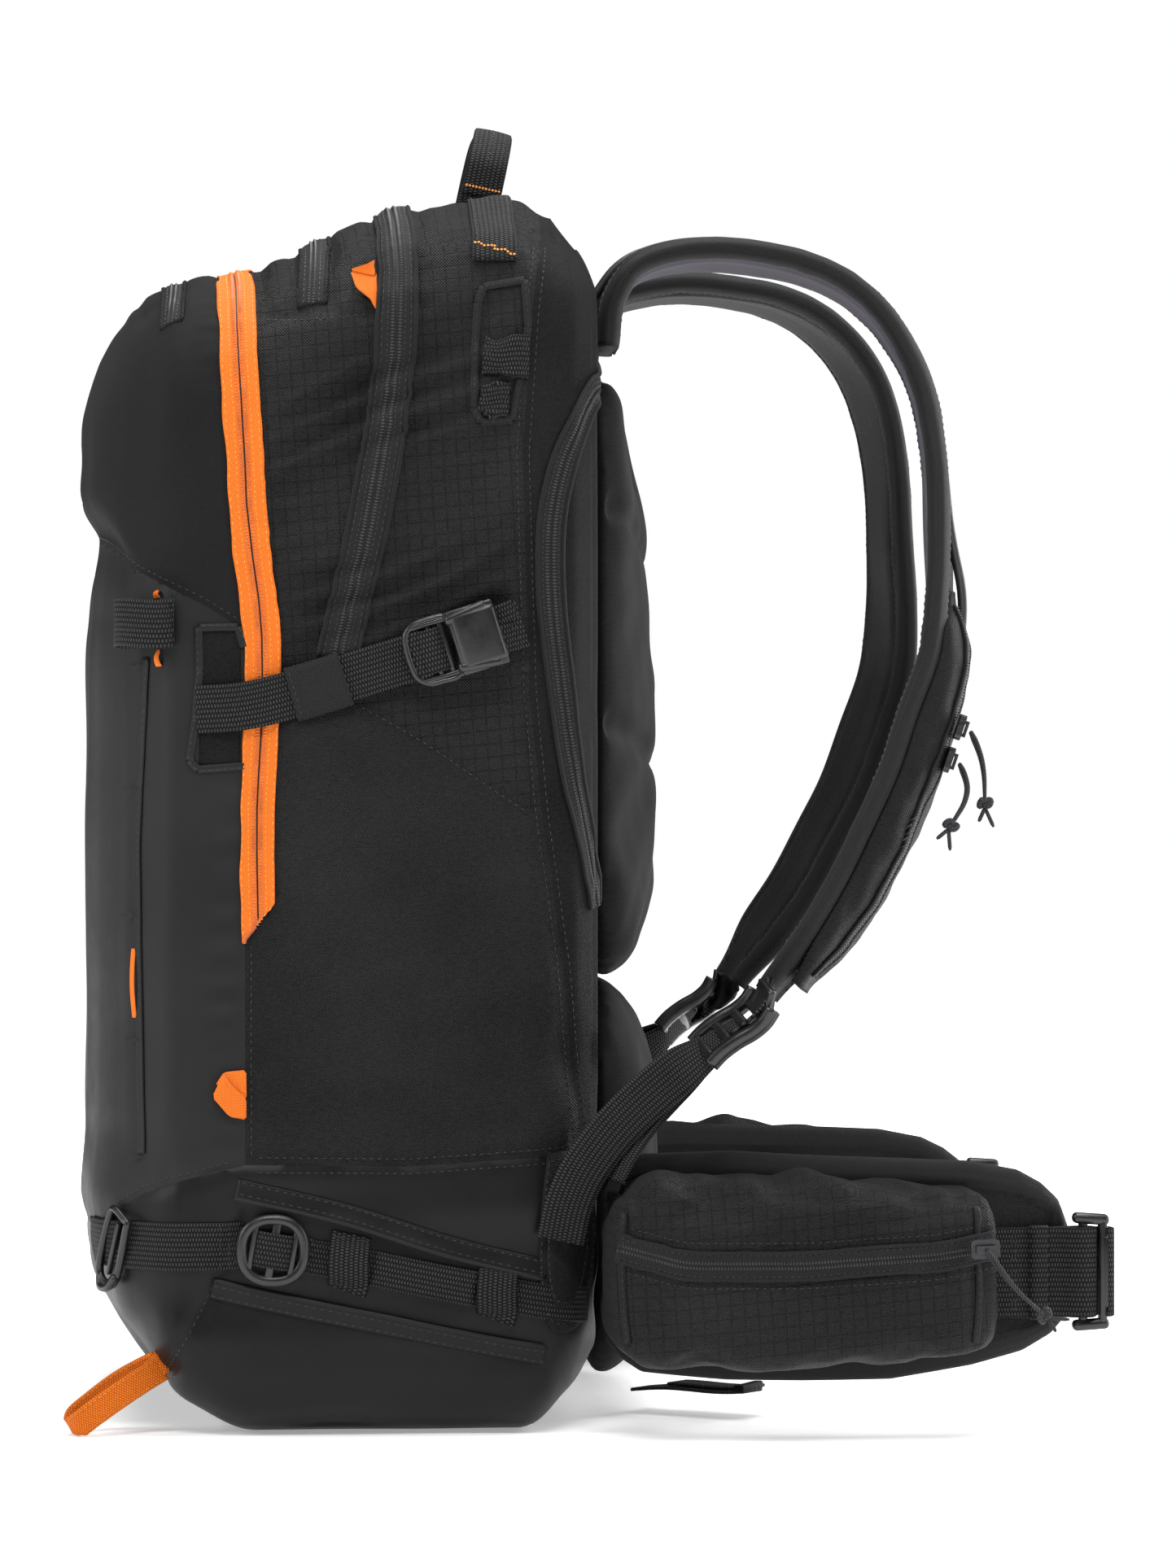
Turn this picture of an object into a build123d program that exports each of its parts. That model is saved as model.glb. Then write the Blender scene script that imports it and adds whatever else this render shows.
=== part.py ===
from build123d import *
import math
import os

os.makedirs("parts", exist_ok=True)

# Avalanche airbag backpack, millimetres.
# +X points to the wearer (back panel, straps and hip belt), -X is the pack's outer front,
# -Y is the wearer's right side, +Z is up. The pack stands on its base at Z = 0.

# ---------------------------------------------------------------- driving dimensions
WALL = 4.0            # padded fabric wall of the bag
SIDE = 145.0          # half width of the bag
WEB = 20.0            # narrow webbing
WEB_T = 1.6           # webbing thickness
BELT_WEB = 38.0       # hip-belt webbing
SEAM_Z = 110.0        # seam between the coated base boot and the bag
ZIP_X0, ZIP_X1 = -149.0, -131.0   # front zip tape band
ZIP_END_Z = 213.0     # where the front zip ends on both sides
CASE = (-95.0, -20.0, 55.0, 150.0, 340.0)  # inflator case: x0, x1, half width, z0, z1
FAN_Z = 285.0         # impeller axis height
SHAFT_R = 2.0
CABLE_R = 2.0         # trigger cable
STRAP_HALF = 8.0      # half thickness of the shoulder strap

# bag sections: x, lowest z, highest z, half width, top corner radius, bottom corner radius
BODY = [
    (-215.0, 95.0, 440.0, 78.0, 40.0, 30.0),
    (-208.0, 62.0, 459.0, 104.0, 50.0, 34.0),
    (-194.0, 38.0, 477.0, 127.0, 58.0, 36.0),
    (-168.0, 12.0, 490.0, SIDE, 62.0, 34.0),
    (-140.0, 0.0, 495.0, SIDE, 64.0, 30.0),
    (-92.0, 0.0, 516.0, SIDE, 64.0, 30.0),
    (-60.0, 0.0, 526.0, SIDE, 64.0, 30.0),
    (-28.0, 0.0, 530.0, SIDE, 64.0, 30.0),
    (-8.0, 14.0, 526.0, 138.0, 60.0, 34.0),
    (5.0, 30.0, 506.0, 124.0, 52.0, 36.0),
]


def section_plane(x):
    """A plane across X whose sketch runs along Y and up Z."""
    return Plane(origin=(x, 0, 0), x_dir=(0, 1, 0), z_dir=(1, 0, 0))


def side_plane(y):
    """A plane across Y at -y, facing the wearer's right; its sketch runs along X and up Z."""
    return Plane(origin=(0, -y, 0), x_dir=(1, 0, 0), z_dir=(0, -1, 0))


def bag(d):
    """The bag's outer form, moved outwards by d."""
    with BuildPart() as form:
        last = len(BODY) - 1
        for i, (x, zb, zt, w, rt, rb) in enumerate(BODY):
            if d < 0 and i == 0:
                x -= d
            if d < 0 and i == last:
                x += d
            with BuildSketch(section_plane(x)) as outline:
                with BuildLine():
                    Polyline((-w - d, zb - d), (w + d, zb - d), (w + d, zt + d), (-w - d, zt + d), close=True)
                make_face()
                fillet(outline.vertices().sort_by(Axis.Y)[2:], rt + d)
                fillet(outline.vertices().group_by(Axis.Y)[0], rb + d)
        loft(ruled=True)
    return form.part


def prism(points, y0, y1):
    """A prism on the side view polygon, between -y0 and -y1."""
    with BuildPart() as form:
        with BuildSketch(side_plane(y0)):
            with BuildLine():
                Polyline(*points, close=True)
            make_face()
        extrude(amount=y1 - y0)
    return form.part


def block(plane, x0, x1, y0, y1, z0, z1, mode=Mode.ADD, r=0.0):
    """A box on a plane, added to the part that is being built."""
    with BuildSketch(plane.offset(z0)) as base:
        with Locations(((x0 + x1) / 2, (y0 + y1) / 2)):
            if r > 0:
                RectangleRounded(x1 - x0, y1 - y0, r)
            else:
                Rectangle(x1 - x0, y1 - y0)
    extrude(base.sketch, amount=z1 - z0, mode=mode)


def world_box(x0, x1, y0, y1, z0, z1, mode=Mode.ADD):
    with Locations(((x0 + x1) / 2, (y0 + y1) / 2, (z0 + z1) / 2)):
        Box(x1 - x0, y1 - y0, z1 - z0, mode=mode)


def unit(a, b):
    n = math.hypot(a, b)
    return a / n, b / n


def offsets(points, d):
    """The points of a flat line, each moved d to its left."""
    moved = []
    for i, (x, z) in enumerate(points):
        a = points[max(i - 1, 0)]
        b = points[min(i + 1, len(points) - 1)]
        tx, tz = unit(b[0] - a[0], b[1] - a[1])
        moved.append((x - tz * d, z + tx * d))
    return moved


def band(points, d0, d1):
    """Closed polygon between two offsets of a line."""
    return offsets(points, d0) + offsets(points, d1)[::-1]


def mirrored(part):
    """The same piece on the wearer's left side."""
    with BuildPart() as other:
        add(mirror(part, about=Plane.XZ))
    return other.part


def both(part):
    """The piece and its mirror image, as separate solids of one group."""
    with BuildPart() as pair:
        add(part)
        add(mirror(part, about=Plane.XZ))
    return pair.part


done = {}


def keep(name, part):
    part.label = name
    done[name] = part
    export_step(part, f"parts/{name}.step")


outer, inner = bag(0.0), bag(-WALL)

# ---------------------------------------------------------------- bag shells
with BuildPart() as base_boot:
    add(outer)
    add(inner, mode=Mode.SUBTRACT)
    world_box(-230, 20, -160, 160, -5, SEAM_Z, mode=Mode.INTERSECT)
keep("base_boot", base_boot.part)

with BuildPart() as front_wall:
    add(inner)
    world_box(ZIP_X0 - 4, ZIP_X0, -160, 160, SEAM_Z, 540, mode=Mode.INTERSECT)

with BuildPart() as front_compartment:
    add(outer)
    add(inner, mode=Mode.SUBTRACT)
    world_box(-230, -144, -160, 160, SEAM_Z, 540, mode=Mode.INTERSECT)
    world_box(ZIP_X0, ZIP_X1, -160, 160, ZIP_END_Z, 540, mode=Mode.SUBTRACT)
    add(front_wall.part)
keep("front_compartment", front_compartment.part)

with BuildPart() as divider:
    add(inner)
    world_box(ZIP_X1, ZIP_X1 + 4, -160, 160, SEAM_Z, 540, mode=Mode.INTERSECT)

# free length of the trigger cable from the strap pocket to the inflator
strap_line = [
    (9, 462), (12, 483), (22, 497), (41.5, 503.5), (60, 505), (80.5, 503), (99.5, 498.5), (116.5, 490), (130, 477.5),
    (140, 462), (148, 442), (152.5, 414), (153.5, 385), (152.5, 355), (149, 328), (139, 302), (130, 277), (119, 254),
    (108, 232), (96, 212), (86, 197), (77, 184),
]
# the left strap hangs a little further out below the arch
strap_line_left = [
    (9, 462), (12, 483), (22, 497), (41.5, 503), (60, 504.5), (80.5, 502.5), (99.5, 498.5), (117, 490.5), (131.5, 478.5),
    (142.5, 463.5), (151, 443.5), (157, 415), (159.5, 385), (161, 354), (159, 325), (150.5, 297), (141.5, 271), (130, 248),
    (118, 225), (105.5, 206), (96.5, 192), (87.5, 179),
]
# the strap's sideways centre against height
drift = [(500, 60), (460, 68), (414, 82), (355, 98), (302, 108), (254, 117), (198, 124)]


def sideways(z):
    if z >= drift[0][0]:
        return drift[0][1]
    for (za, ya), (zb, yb) in zip(drift, drift[1:]):
        if z >= zb:
            return ya + (za - z) / (za - zb) * (yb - ya)
    return drift[-1][1]


on_strap = offsets(strap_line, 5.6)
cable_points = [Vector(160.2, -110.0, 323.4), Vector(164.4, -104.0, 352.0), Vector(159.4, -93.0, 382.0)]
cable_points += [Vector(on_strap[k][0], -sideways(on_strap[k][1]), on_strap[k][1]) for k in (11, 10, 9, 8, 7, 6, 5, 4, 3, 2)]
cable_points += [Vector(*p) for p in ((2.0, -60.0, 477.0), (-16.0, -54.0, 454.0), (-24.0, -44.0, 424.0), (-31.0, -31.0, 390.0), (-44.0, -21.0, 364.0), (-57.0, -19.0, 343.0))]
radii = []
for a, b, c in zip(cable_points, cable_points[1:], cable_points[2:]):
    turn = (b - a).get_angle(c - b)
    radii.append(0.45 * min((b - a).length, (c - b).length) / math.tan(math.radians(turn / 2)))
print("trigger cable radii", [round(r) for r in radii])
with BuildPart() as trigger_cable:
    with BuildLine() as cable_route:
        FilletPolyline(*cable_points, radius=radii)
    with BuildSketch(Plane(origin=cable_points[0], z_dir=cable_points[1] - cable_points[0])):
        Circle(CABLE_R)
    sweep()
print("trigger cable length", round(sum(e.length for e in cable_route.edges()), 1), "tube", round(trigger_cable.part.volume / (math.pi * 4), 1))
keep("trigger_cable", trigger_cable.part)

with BuildPart() as main_compartment:
    add(outer)
    add(inner, mode=Mode.SUBTRACT)
    world_box(-144, 20, -160, 160, SEAM_Z, 540, mode=Mode.INTERSECT)
    world_box(ZIP_X0, ZIP_X1, -160, 160, ZIP_END_Z, 540, mode=Mode.SUBTRACT)
    add(divider.part)
    # grommet hole for the trigger cable in the back wall
    with Locations(Location((3.0, -60.0, 477.0), (0, 90, 0))):
        Cylinder(7.0, 30.0, mode=Mode.SUBTRACT)
keep("main_compartment", main_compartment.part)

# ---------------------------------------------------------------- zips, as thin tape bands that follow the bag
proud, flush = bag(1.5), bag(-1.5)
with BuildPart() as front_zip:
    add(proud)
    add(flush, mode=Mode.SUBTRACT)
    world_box(ZIP_X0, ZIP_X1, -160, 160, ZIP_END_Z, 540, mode=Mode.INTERSECT)
keep("front_zip", front_zip.part)

airbag_zip_side = [(-91, 535), (-90, 451), (-95, 417), (-102, 380), (-114, 345), (-96, 345), (-84, 380), (-77, 417), (-72, 451), (-73, 535)]
with BuildPart() as airbag_zip:
    add(proud)
    add(outer, mode=Mode.SUBTRACT)
    add(prism(airbag_zip_side, -160, 160), mode=Mode.INTERSECT)
keep("airbag_zip", airbag_zip.part)

back_zip_line = [(4.5, 440), (-4, 424), (-11, 407), (-16, 383), (-16, 349), (-11, 308), (-6, 274), (-1, 250), (4.5, 222)]
with BuildPart() as back_panel_zip:
    add(proud)
    add(outer, mode=Mode.SUBTRACT)
    add(prism(band(back_zip_line, -5, 5), -160, 160), mode=Mode.INTERSECT)
    world_box(-60, 4.9, -160, 160, 215, 450, mode=Mode.INTERSECT)
keep("back_panel_zip", back_panel_zip.part)

top_zip_a = [(-190, 525), (-176, 525), (-160, 458), (-174, 458)]
top_zip_b = [(-128, 525), (-112, 525), (-104, 476), (-120, 476)]
with BuildPart() as top_pocket_zips:
    with BuildPart(mode=Mode.PRIVATE) as first:
        add(proud)
        add(outer, mode=Mode.SUBTRACT)
        add(prism(top_zip_a, -160, 160), mode=Mode.INTERSECT)
    with BuildPart(mode=Mode.PRIVATE) as second:
        add(proud)
        add(outer, mode=Mode.SUBTRACT)
        add(prism(top_zip_b, -160, 160), mode=Mode.INTERSECT)
    add(first.part)
    add(second.part)
keep("top_pocket_zips", top_pocket_zips.part)

# ---------------------------------------------------------------- back panel and lumbar pad
def pad(stations):
    with BuildPart() as form:
        for x, zb, zt, w, r in stations:
            with BuildSketch(section_plane(x)):
                with Locations((0, (zb + zt) / 2)):
                    RectangleRounded(2 * w, zt - zb, r)
        loft(ruled=True)
    return form.part


keep("back_panel", pad([(5.4, 194, 452, 112, 40), (14, 196, 442, 108, 38), (24, 204, 405, 96, 36), (33, 225, 365, 74, 32)]))
keep("lumbar_pad", pad([(5.4, 14, 190, 98, 30), (25, 18, 188, 88, 30), (38, 40, 176, 68, 28)]))

# ---------------------------------------------------------------- frame
with BuildPart() as frame_sheet:
    with BuildSketch(section_plane(-8)):
        with Locations((0, 237)):
            RectangleRounded(210, 406, 30)
    extrude(amount=2.0)
keep("frame_sheet", frame_sheet.part)

with BuildPart() as frame_stay:
    with BuildSketch(section_plane(-11.5)):
        with Locations((0, 237)):
            RectangleRounded(140, 390, 34)
        with Locations((0, 225)):
            RectangleRounded(116, 390, 24, mode=Mode.SUBTRACT)
        with Locations((0, 35)):
            Rectangle(200, 30, mode=Mode.SUBTRACT)
    extrude(amount=3.0)
keep("frame_stay", frame_stay.part)

# ---------------------------------------------------------------- inflator
x0, x1, cw, z0, z1 = CASE
split_x = -57.0
duct_x = -76.0
with BuildPart() as inflator_case_front:
    world_box(x0, split_x, -cw, cw, z0, z1)
    fillet(inflator_case_front.edges().group_by(Axis.X)[0], 5)
    world_box(x0 + 2.5, split_x, -cw + 2.5, cw - 2.5, z0 + 2.5, z1 - 2.5, mode=Mode.SUBTRACT)
    with Locations((duct_x, 0, z1 - 1.25)):
        Cylinder(15.0, 5.0, mode=Mode.SUBTRACT)
    # air intake in front of the impeller's eye
    with Locations(Location((x0 + 1.25, 0, FAN_Z), (0, 90, 0))):
        with PolarLocations(11.0, 6):
            Cylinder(3.6, 5.0, mode=Mode.SUBTRACT)
keep("inflator_case_front", inflator_case_front.part)

with BuildPart() as inflator_case_rear:
    world_box(split_x, x1, -cw, cw, z0, z1)
    fillet(inflator_case_rear.edges().group_by(Axis.X)[-1], 5)
    world_box(split_x, x1 - 2.5, -cw + 2.5, cw - 2.5, z0 + 2.5, z1 - 2.5, mode=Mode.SUBTRACT)
    with Locations(Location((-38.0, -cw + 1.25, 215.0), (90, 0, 0))):
        Cylinder(5.3, 5.0, mode=Mode.SUBTRACT)
keep("inflator_case_rear", inflator_case_rear.part)

with BuildPart() as motor:
    with BuildSketch(section_plane(-62)):
        with Locations((0, FAN_Z)):
            Circle(18)
    extrude(amount=36)
    fillet(motor.edges().filter_by(GeomType.CIRCLE), 1.5)
    with BuildSketch(section_plane(-86)):
        with Locations((0, FAN_Z)):
            Circle(SHAFT_R)
    extrude(amount=24.5)
keep("motor", motor.part)

with BuildPart() as impeller:
    with BuildSketch(section_plane(-67)):
        with Locations((0, FAN_Z)):
            Circle(42)
    extrude(amount=2)
    with BuildSketch(section_plane(-85)):
        with Locations((0, FAN_Z)):
            Circle(7)
    extrude(amount=20)
    with BuildSketch(section_plane(-84)):
        with Locations((0, FAN_Z)):
            with PolarLocations(26.0, 11):
                Rectangle(30, 1.6, rotation=25)
    extrude(amount=18)
    with BuildSketch(section_plane(-90)):
        with Locations((0, FAN_Z)):
            Circle(SHAFT_R + 0.05)
    extrude(amount=40, mode=Mode.SUBTRACT)
keep("impeller", impeller.part)

with BuildPart() as supercapacitors:
    with Locations(Location((-75, -28, 170), (90, 0, 0)), Location((-75, 28, 170), (90, 0, 0))):
        Cylinder(15, 44)
keep("supercapacitors", supercapacitors.part)

with BuildPart() as battery_cells:
    with Locations(Location((-36, 0, 163), (90, 0, 0)), Location((-36, 0, 179), (90, 0, 0))):
        Cylinder(7.25, 50)
keep("battery_cells", battery_cells.part)

with BuildPart() as control_board:
    world_box(-49, -47.4, -42, 42, 196, 240)
    with Locations((-45.4, -20, 218), (-45.4, 18, 214)):
        Box(4, 14, 12)
keep("control_board", control_board.part)

with BuildPart() as power_button:
    with Locations(Location((-38.0, -cw + 0.25, 215.0), (90, 0, 0))):
        Cylinder(5.0, 6.5)
    with Locations(Location((-38.0, -cw + 4.5, 215.0), (90, 0, 0))):
        Cylinder(6.5, 3.0)
    fillet(power_button.edges().sort_by(Axis.Y)[0], 1)
keep("power_button", power_button.part)

with BuildPart() as outlet_duct:
    with BuildSketch(Plane.XY.offset(z1)):
        with Locations((duct_x, 0)):
            Circle(17)
            Circle(15, mode=Mode.SUBTRACT)
    extrude(amount=428 - z1)
keep("outlet_duct", outlet_duct.part)

with BuildPart() as airbag_folded:
    world_box(-115, -35, -115, 115, 428, 484)
    fillet(airbag_folded.edges().filter_by(Axis.X), 18)
    fillet(airbag_folded.edges().filter_by(Axis.Z), 8)
keep("airbag_folded", airbag_folded.part)

# ---------------------------------------------------------------- upper compression straps
comp_line = [(-162, 304.5), (-144, 305.5), (-119, 311.8), (-93, 320.0), (-60, 330.2)]
with BuildPart() as comp_web:
    add(prism(band(comp_line, -WEB / 2, WEB / 2), SIDE + 2.7, SIDE + 2.7 + WEB_T))
    add(prism(band([(-37.4, 337.2), (-29, 339.8)], -WEB / 2, WEB / 2), SIDE + 2.7, SIDE + 2.7 + WEB_T))
keep("compression_webbing_right", comp_web.part)
keep("compression_webbing_left", mirrored(comp_web.part))

tilt = math.radians(17.2)
buckle_plane = Plane(origin=(-57, -SIDE - 2.5, 331.1), x_dir=(math.cos(tilt), 0, math.sin(tilt)), z_dir=(0, -1, 0))
with BuildPart() as socket:
    block(buckle_plane, 0, 20, -14, 14, 0, 9.5, r=3)
    fillet(socket.faces().sort_by(Axis.Y)[0].edges(), 1.5)
    block(buckle_plane, -1, 12.5, -12.9, 12.9, 1.4, 7.4, mode=Mode.SUBTRACT)
keep("compression_sockets", both(socket.part))

with BuildPart() as clip:
    for s in (-1, 1):
        # rail, barb and prong on each side
        block(buckle_plane, -17, 10, min(s * 10.6, s * 12.4), max(s * 10.6, s * 12.4), 2.2, 6.6)
        block(buckle_plane, -17, -0.6, min(s * 10.6, s * 14), max(s * 10.6, s * 14), 0.4, 6.6)
    for a, b in ((-17, -14), (-10, -7), (-3.4, -0.6)):
        block(buckle_plane, a, b, -12, 12, 2.8, 6.0)
keep("compression_clip_right", clip.part)
keep("compression_clip_left", mirrored(clip.part))

# ---------------------------------------------------------------- ski carry: flaps, webbing, keepers, glides, hooks
flap_top = [(-146, 108), (-104, 98), (-56, 83), (-18, 74), (-20, 66), (-56, 75), (-104, 90), (-147, 99)]
flap_low = [(-156, 67), (-134, 60), (-93, 51), (-56, 43), (-22, 37), (-20, 31), (-42, 34), (-76, 42), (-127, 51.5), (-157, 60)]
with BuildPart() as flaps:
    add(prism(flap_top, SIDE + 0.1, SIDE + 3.6))
    add(prism(flap_low, SIDE + 0.1, SIDE + 3.6))
keep("ski_flaps", both(flaps.part))

ski_line = [(-149.5, 80.5), (-110.5, 74.7), (-56, 63.5), (-29, 58.5)]
wrap = bag(3.3), bag(1.7)
with BuildPart() as ski_webbing:
    add(wrap[0])
    add(wrap[1], mode=Mode.SUBTRACT)
    world_box(-192, -150.2, -160, 0, 71, 91, mode=Mode.INTERSECT)
    add(prism(band(ski_line, -7.4, 7.4), SIDE + 0.1, SIDE + 0.1 + WEB_T))
    for kx, kz in ((-101, 73.0), (-39, 60.4)):
        add(prism([(kx - 8.5, kz + 11), (kx + 8.5, kz + 7.6), (kx + 6.5, kz - 11), (kx - 10.5, kz - 7.4)], SIDE + 4.0, SIDE + 4.0 + WEB_T))
keep("ski_webbing_right", ski_webbing.part)
keep("ski_webbing_left", mirrored(ski_webbing.part))

with BuildPart() as tri_glide:
    with BuildSketch(side_plane(SIDE + 4.0)):
        with Locations((-134.5, 80)):
            Ellipse(15, 15.5)
            with Locations((-4, 0), (4, 0)):
                Rectangle(4.4, 20.8, mode=Mode.SUBTRACT)
    extrude(amount=3.0)
keep("tri_glides", both(tri_glide.part))

corner_n = unit(-23.0, -14.0)
hook_plane = Plane(origin=(-201 + corner_n[0] * 4.2, -115.5 + corner_n[1] * 4.2, 78), x_dir=(-corner_n[1], corner_n[0], 0), z_dir=(corner_n[0], corner_n[1], 0))
with BuildPart() as hook:
    block(hook_plane, -8, 8, -17, 17, 0, 4, r=4)
    block(hook_plane, -1, 4, -11, 11, -1, 5, mode=Mode.SUBTRACT)
keep("front_hooks", both(hook.part))

# ---------------------------------------------------------------- loops
loop_n = unit(-18.0, -26.0)
loop_c = (-181 + loop_n[0] * 8.6, -136 + loop_n[1] * 8.6)
loop_a = math.degrees(math.atan2(loop_n[0], -loop_n[1]))
with BuildPart() as tool_loop:
    with BuildSketch(Plane.XY.offset(330.0)):
        with Locations(Location((loop_c[0], loop_c[1]), loop_a)):
            Ellipse(14.5, 7.4)
            Ellipse(12.9, 5.8, mode=Mode.SUBTRACT)
    extrude(amount=WEB)
keep("tool_loops", both(tool_loop.part))

top_n = (0.0, -0.875, 0.484)
with BuildPart() as pull_loop:
    add(prism([(-144.5, 153.5), (-144.5, 134.5), (-152, 136), (-157, 143), (-152, 151)], SIDE + 0.2, SIDE + 3.4))
    block(Plane(origin=(-97, -81 - 66.6 * 0.875, 452 + 66.6 * 0.484), x_dir=(1, 0, 0), z_dir=top_n), -4.5, 4.5, -9, 9, 0, 3)
keep("pull_loops", both(pull_loop.part))

axe_x = unit(-40.0, -21.0)
axe_plane = Plane(origin=(-178.6, -127, 28.0), x_dir=(axe_x[0], 0, axe_x[1]), z_dir=(axe_x[1], 0, -axe_x[0]))
with BuildPart() as ice_axe_loop:
    with BuildSketch(axe_plane.offset(-6)):
        with Locations((22.5, 0)):
            SlotOverall(45, 17)
            SlotOverall(41.6, 13.6, mode=Mode.SUBTRACT)
    extrude(amount=12)
keep("ice_axe_loop", ice_axe_loop.part)

with BuildPart() as sewn_webbing:
    add(prism([(-47, 443), (-28.5, 443), (-28.5, 463), (-47, 463)], SIDE + 0.2, SIDE + 1.8))
    add(prism([(-47, 424), (-34, 424), (-34, 441), (-47, 441)], SIDE + 0.2, SIDE + 1.8))
keep("window_webbing", both(sewn_webbing.part))

# ---------------------------------------------------------------- carry handle: a webbing arch on a fold line
lean = math.radians(12.0)
handle_pivot = (-38.5, 541.4)
handle_plane = Plane(origin=(handle_pivot[0], 0, handle_pivot[1]), x_dir=(0, 1, 0), z_dir=(math.cos(lean), 0, -math.sin(lean)))
with BuildPart() as carry_handle:
    with BuildSketch(handle_plane.offset(-9.5)):
        with BuildLine():
            Polyline((-47, -9.4), (-47, 4), (-36, 20), (-14, 24.6), (14, 24.6), (36, 20), (47, 4), (47, -9.4), (44.2, -9.4), (44.2, 3), (34.5, 17.4), (13.5, 21.8), (-13.5, 21.8), (-34.5, 17.4), (-44.2, 3), (-44.2, -9.4), close=True)
        make_face()
    extrude(amount=19)
    with BuildPart(mode=Mode.PRIVATE) as rounded:
        with Locations(Location((handle_pivot[0], 0, handle_pivot[1]), (90, 0, 0))):
            Cylinder(9.5, 120)
        world_box(-80, 10, -60, 60, handle_pivot[1], 600)
    add(rounded.part, mode=Mode.INTERSECT)
keep("carry_handle", carry_handle.part)

# ---------------------------------------------------------------- shoulder straps
def strap_front(half_top, half_low, sign=1):
    """Outline of a strap seen from the front, as a prism along X."""
    with BuildPart() as form:
        with BuildSketch(section_plane(-20)):
            with BuildLine():
                zs = [530] + [z for z, _ in drift] + [170]
                left = [(-sideways(z) - (half_top + (half_low - half_top) * min(1, max(0, (500 - z) / 300))), z) for z in zs]
                right = [(-sideways(z) + (half_top + (half_low - half_top) * min(1, max(0, (500 - z) / 300))), z) for z in zs]
                Polyline(*(left + right[::-1]), close=True)
            make_face()
        extrude(amount=230)
    return form.part


def smooth_band(points, d0, d1, y0, y1):
    """A band between two smooth offsets of a line in the side view, extruded across Y."""
    with BuildPart() as form:
        with BuildSketch(side_plane(y0)):
            with BuildLine():
                a, b = offsets(points, d0), offsets(points, d1)
                first = Spline(*a)
                second = Spline(*b)
                Line(a[0], b[0])
                Line(a[-1], b[-1])
            make_face()
        extrude(amount=y1 - y0)
    return form.part


with BuildPart() as strap:
    add(smooth_band(strap_line, -STRAP_HALF, 2.0, 10, 175))
    add(strap_front(34, 26), mode=Mode.INTERSECT)
keep("shoulder_strap_right", strap.part)
with BuildPart() as strap_left:
    add(smooth_band(strap_line_left, -STRAP_HALF, 2.0, 10, 175))
    add(strap_front(34, 26), mode=Mode.INTERSECT)
keep("shoulder_strap_left", mirrored(strap_left.part))

pocket_line = [(152, 355), (147.5, 330), (138.8, 305), (130.1, 280), (121.4, 255), (108, 232), (96, 212)]
with BuildPart() as strap_pocket:
    add(smooth_band(pocket_line, 8.4, 20.4, 60, 160))
    add(strap_front(27, 24), mode=Mode.INTERSECT)
    with BuildPart(mode=Mode.PRIVATE) as cavity:
        add(smooth_band(pocket_line[1:-1], 10.0, 18.8, 60, 160))
        add(strap_front(25, 22), mode=Mode.INTERSECT)
    add(cavity.part, mode=Mode.SUBTRACT)
    with BuildPart(mode=Mode.PRIVATE) as cable_room:
        with BuildLine():
            FilletPolyline(*cable_points[:4], radius=radii[:2])
        with BuildSketch(Plane(origin=cable_points[0], z_dir=cable_points[1] - cable_points[0])):
            Circle(CABLE_R + 0.5)
        sweep()
    add(cable_room.part, mode=Mode.SUBTRACT)
keep("strap_pocket", strap_pocket.part)

# trigger handle, stowed in the strap pocket
tt = unit(-8.7, -25.0)
tn = (-tt[1], tt[0])
trig_o = (134.3 + tn[0] * 14.4, -110.0, 292 + tn[1] * 14.4)
trig_plane = Plane(origin=trig_o, x_dir=(tt[0], 0, tt[1]), z_dir=(tn[0], 0, tn[1]))
with BuildPart() as trigger_handle:
    block(trig_plane, 0, 13, -16, 16, -2.6, 2.6, r=5)
    block(trig_plane, -33, 1, -5, 5, -2.0, 2.0)
keep("trigger_handle", trigger_handle.part)


# sliders of the strap pocket's zip, lying on the pocket's outer face
def strap_slider(p, q, y, length):
    t = unit(q[0] - p[0], q[1] - p[1])
    n = (-t[1], t[0])
    plane = Plane(origin=(p[0] + n[0] * 20.9, y, p[1] + n[1] * 20.9), x_dir=(t[0], 0, t[1]), z_dir=(n[0], 0, n[1]))
    with BuildPart() as form:
        block(plane, 0, length, -4, 4, 0, 2.6, r=2)
        block(plane, 2, length - 2, -1.6, 1.6, 2.6, 4.6)
        block(plane, 3.4, length - 3.4, -2, 2, 2.6, 3.6, mode=Mode.SUBTRACT)
    return form.part, plane


upper_slider, upper_plane = strap_slider((140.4, 309.6), (131.7, 284.6), -122.0, 11)
lower_slider, lower_plane = strap_slider((135.6, 295.8), (126.9, 270.8), -122.0, 11)
keep("strap_zip_slider_upper", upper_slider)
keep("strap_zip_slider_lower", lower_slider)


def cord(name, points, r=1.25):
    """A limp pull cord with its knot."""
    points = [Vector(*p) for p in points]
    rr = []
    for a, b, c in zip(points, points[1:], points[2:]):
        turn = (b - a).get_angle(c - b)
        rr.append(0.45 * min((b - a).length, (c - b).length) / math.tan(math.radians(turn / 2)))
    print(name, "radii", [round(v, 1) for v in rr])
    with BuildPart() as form:
        with BuildLine() as route:
            FilletPolyline(*points, radius=rr)
        with BuildSketch(Plane(origin=points[0], z_dir=points[1] - points[0])):
            Circle(r)
        sweep()
        with Locations(points[-1] + (points[-1] - points[-2]).normalized() * 2.6):
            Sphere(3.6, rotation=(90, 0, 0))
    print(name, "length", round(sum(e.length for e in route.edges()), 1), "volume", round(form.part.volume))
    keep(name, form.part)


def on(plane, x, y, z):
    v = plane.from_local_coords(Vector(x, y, z))
    return (v.X, v.Y, v.Z)


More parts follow.
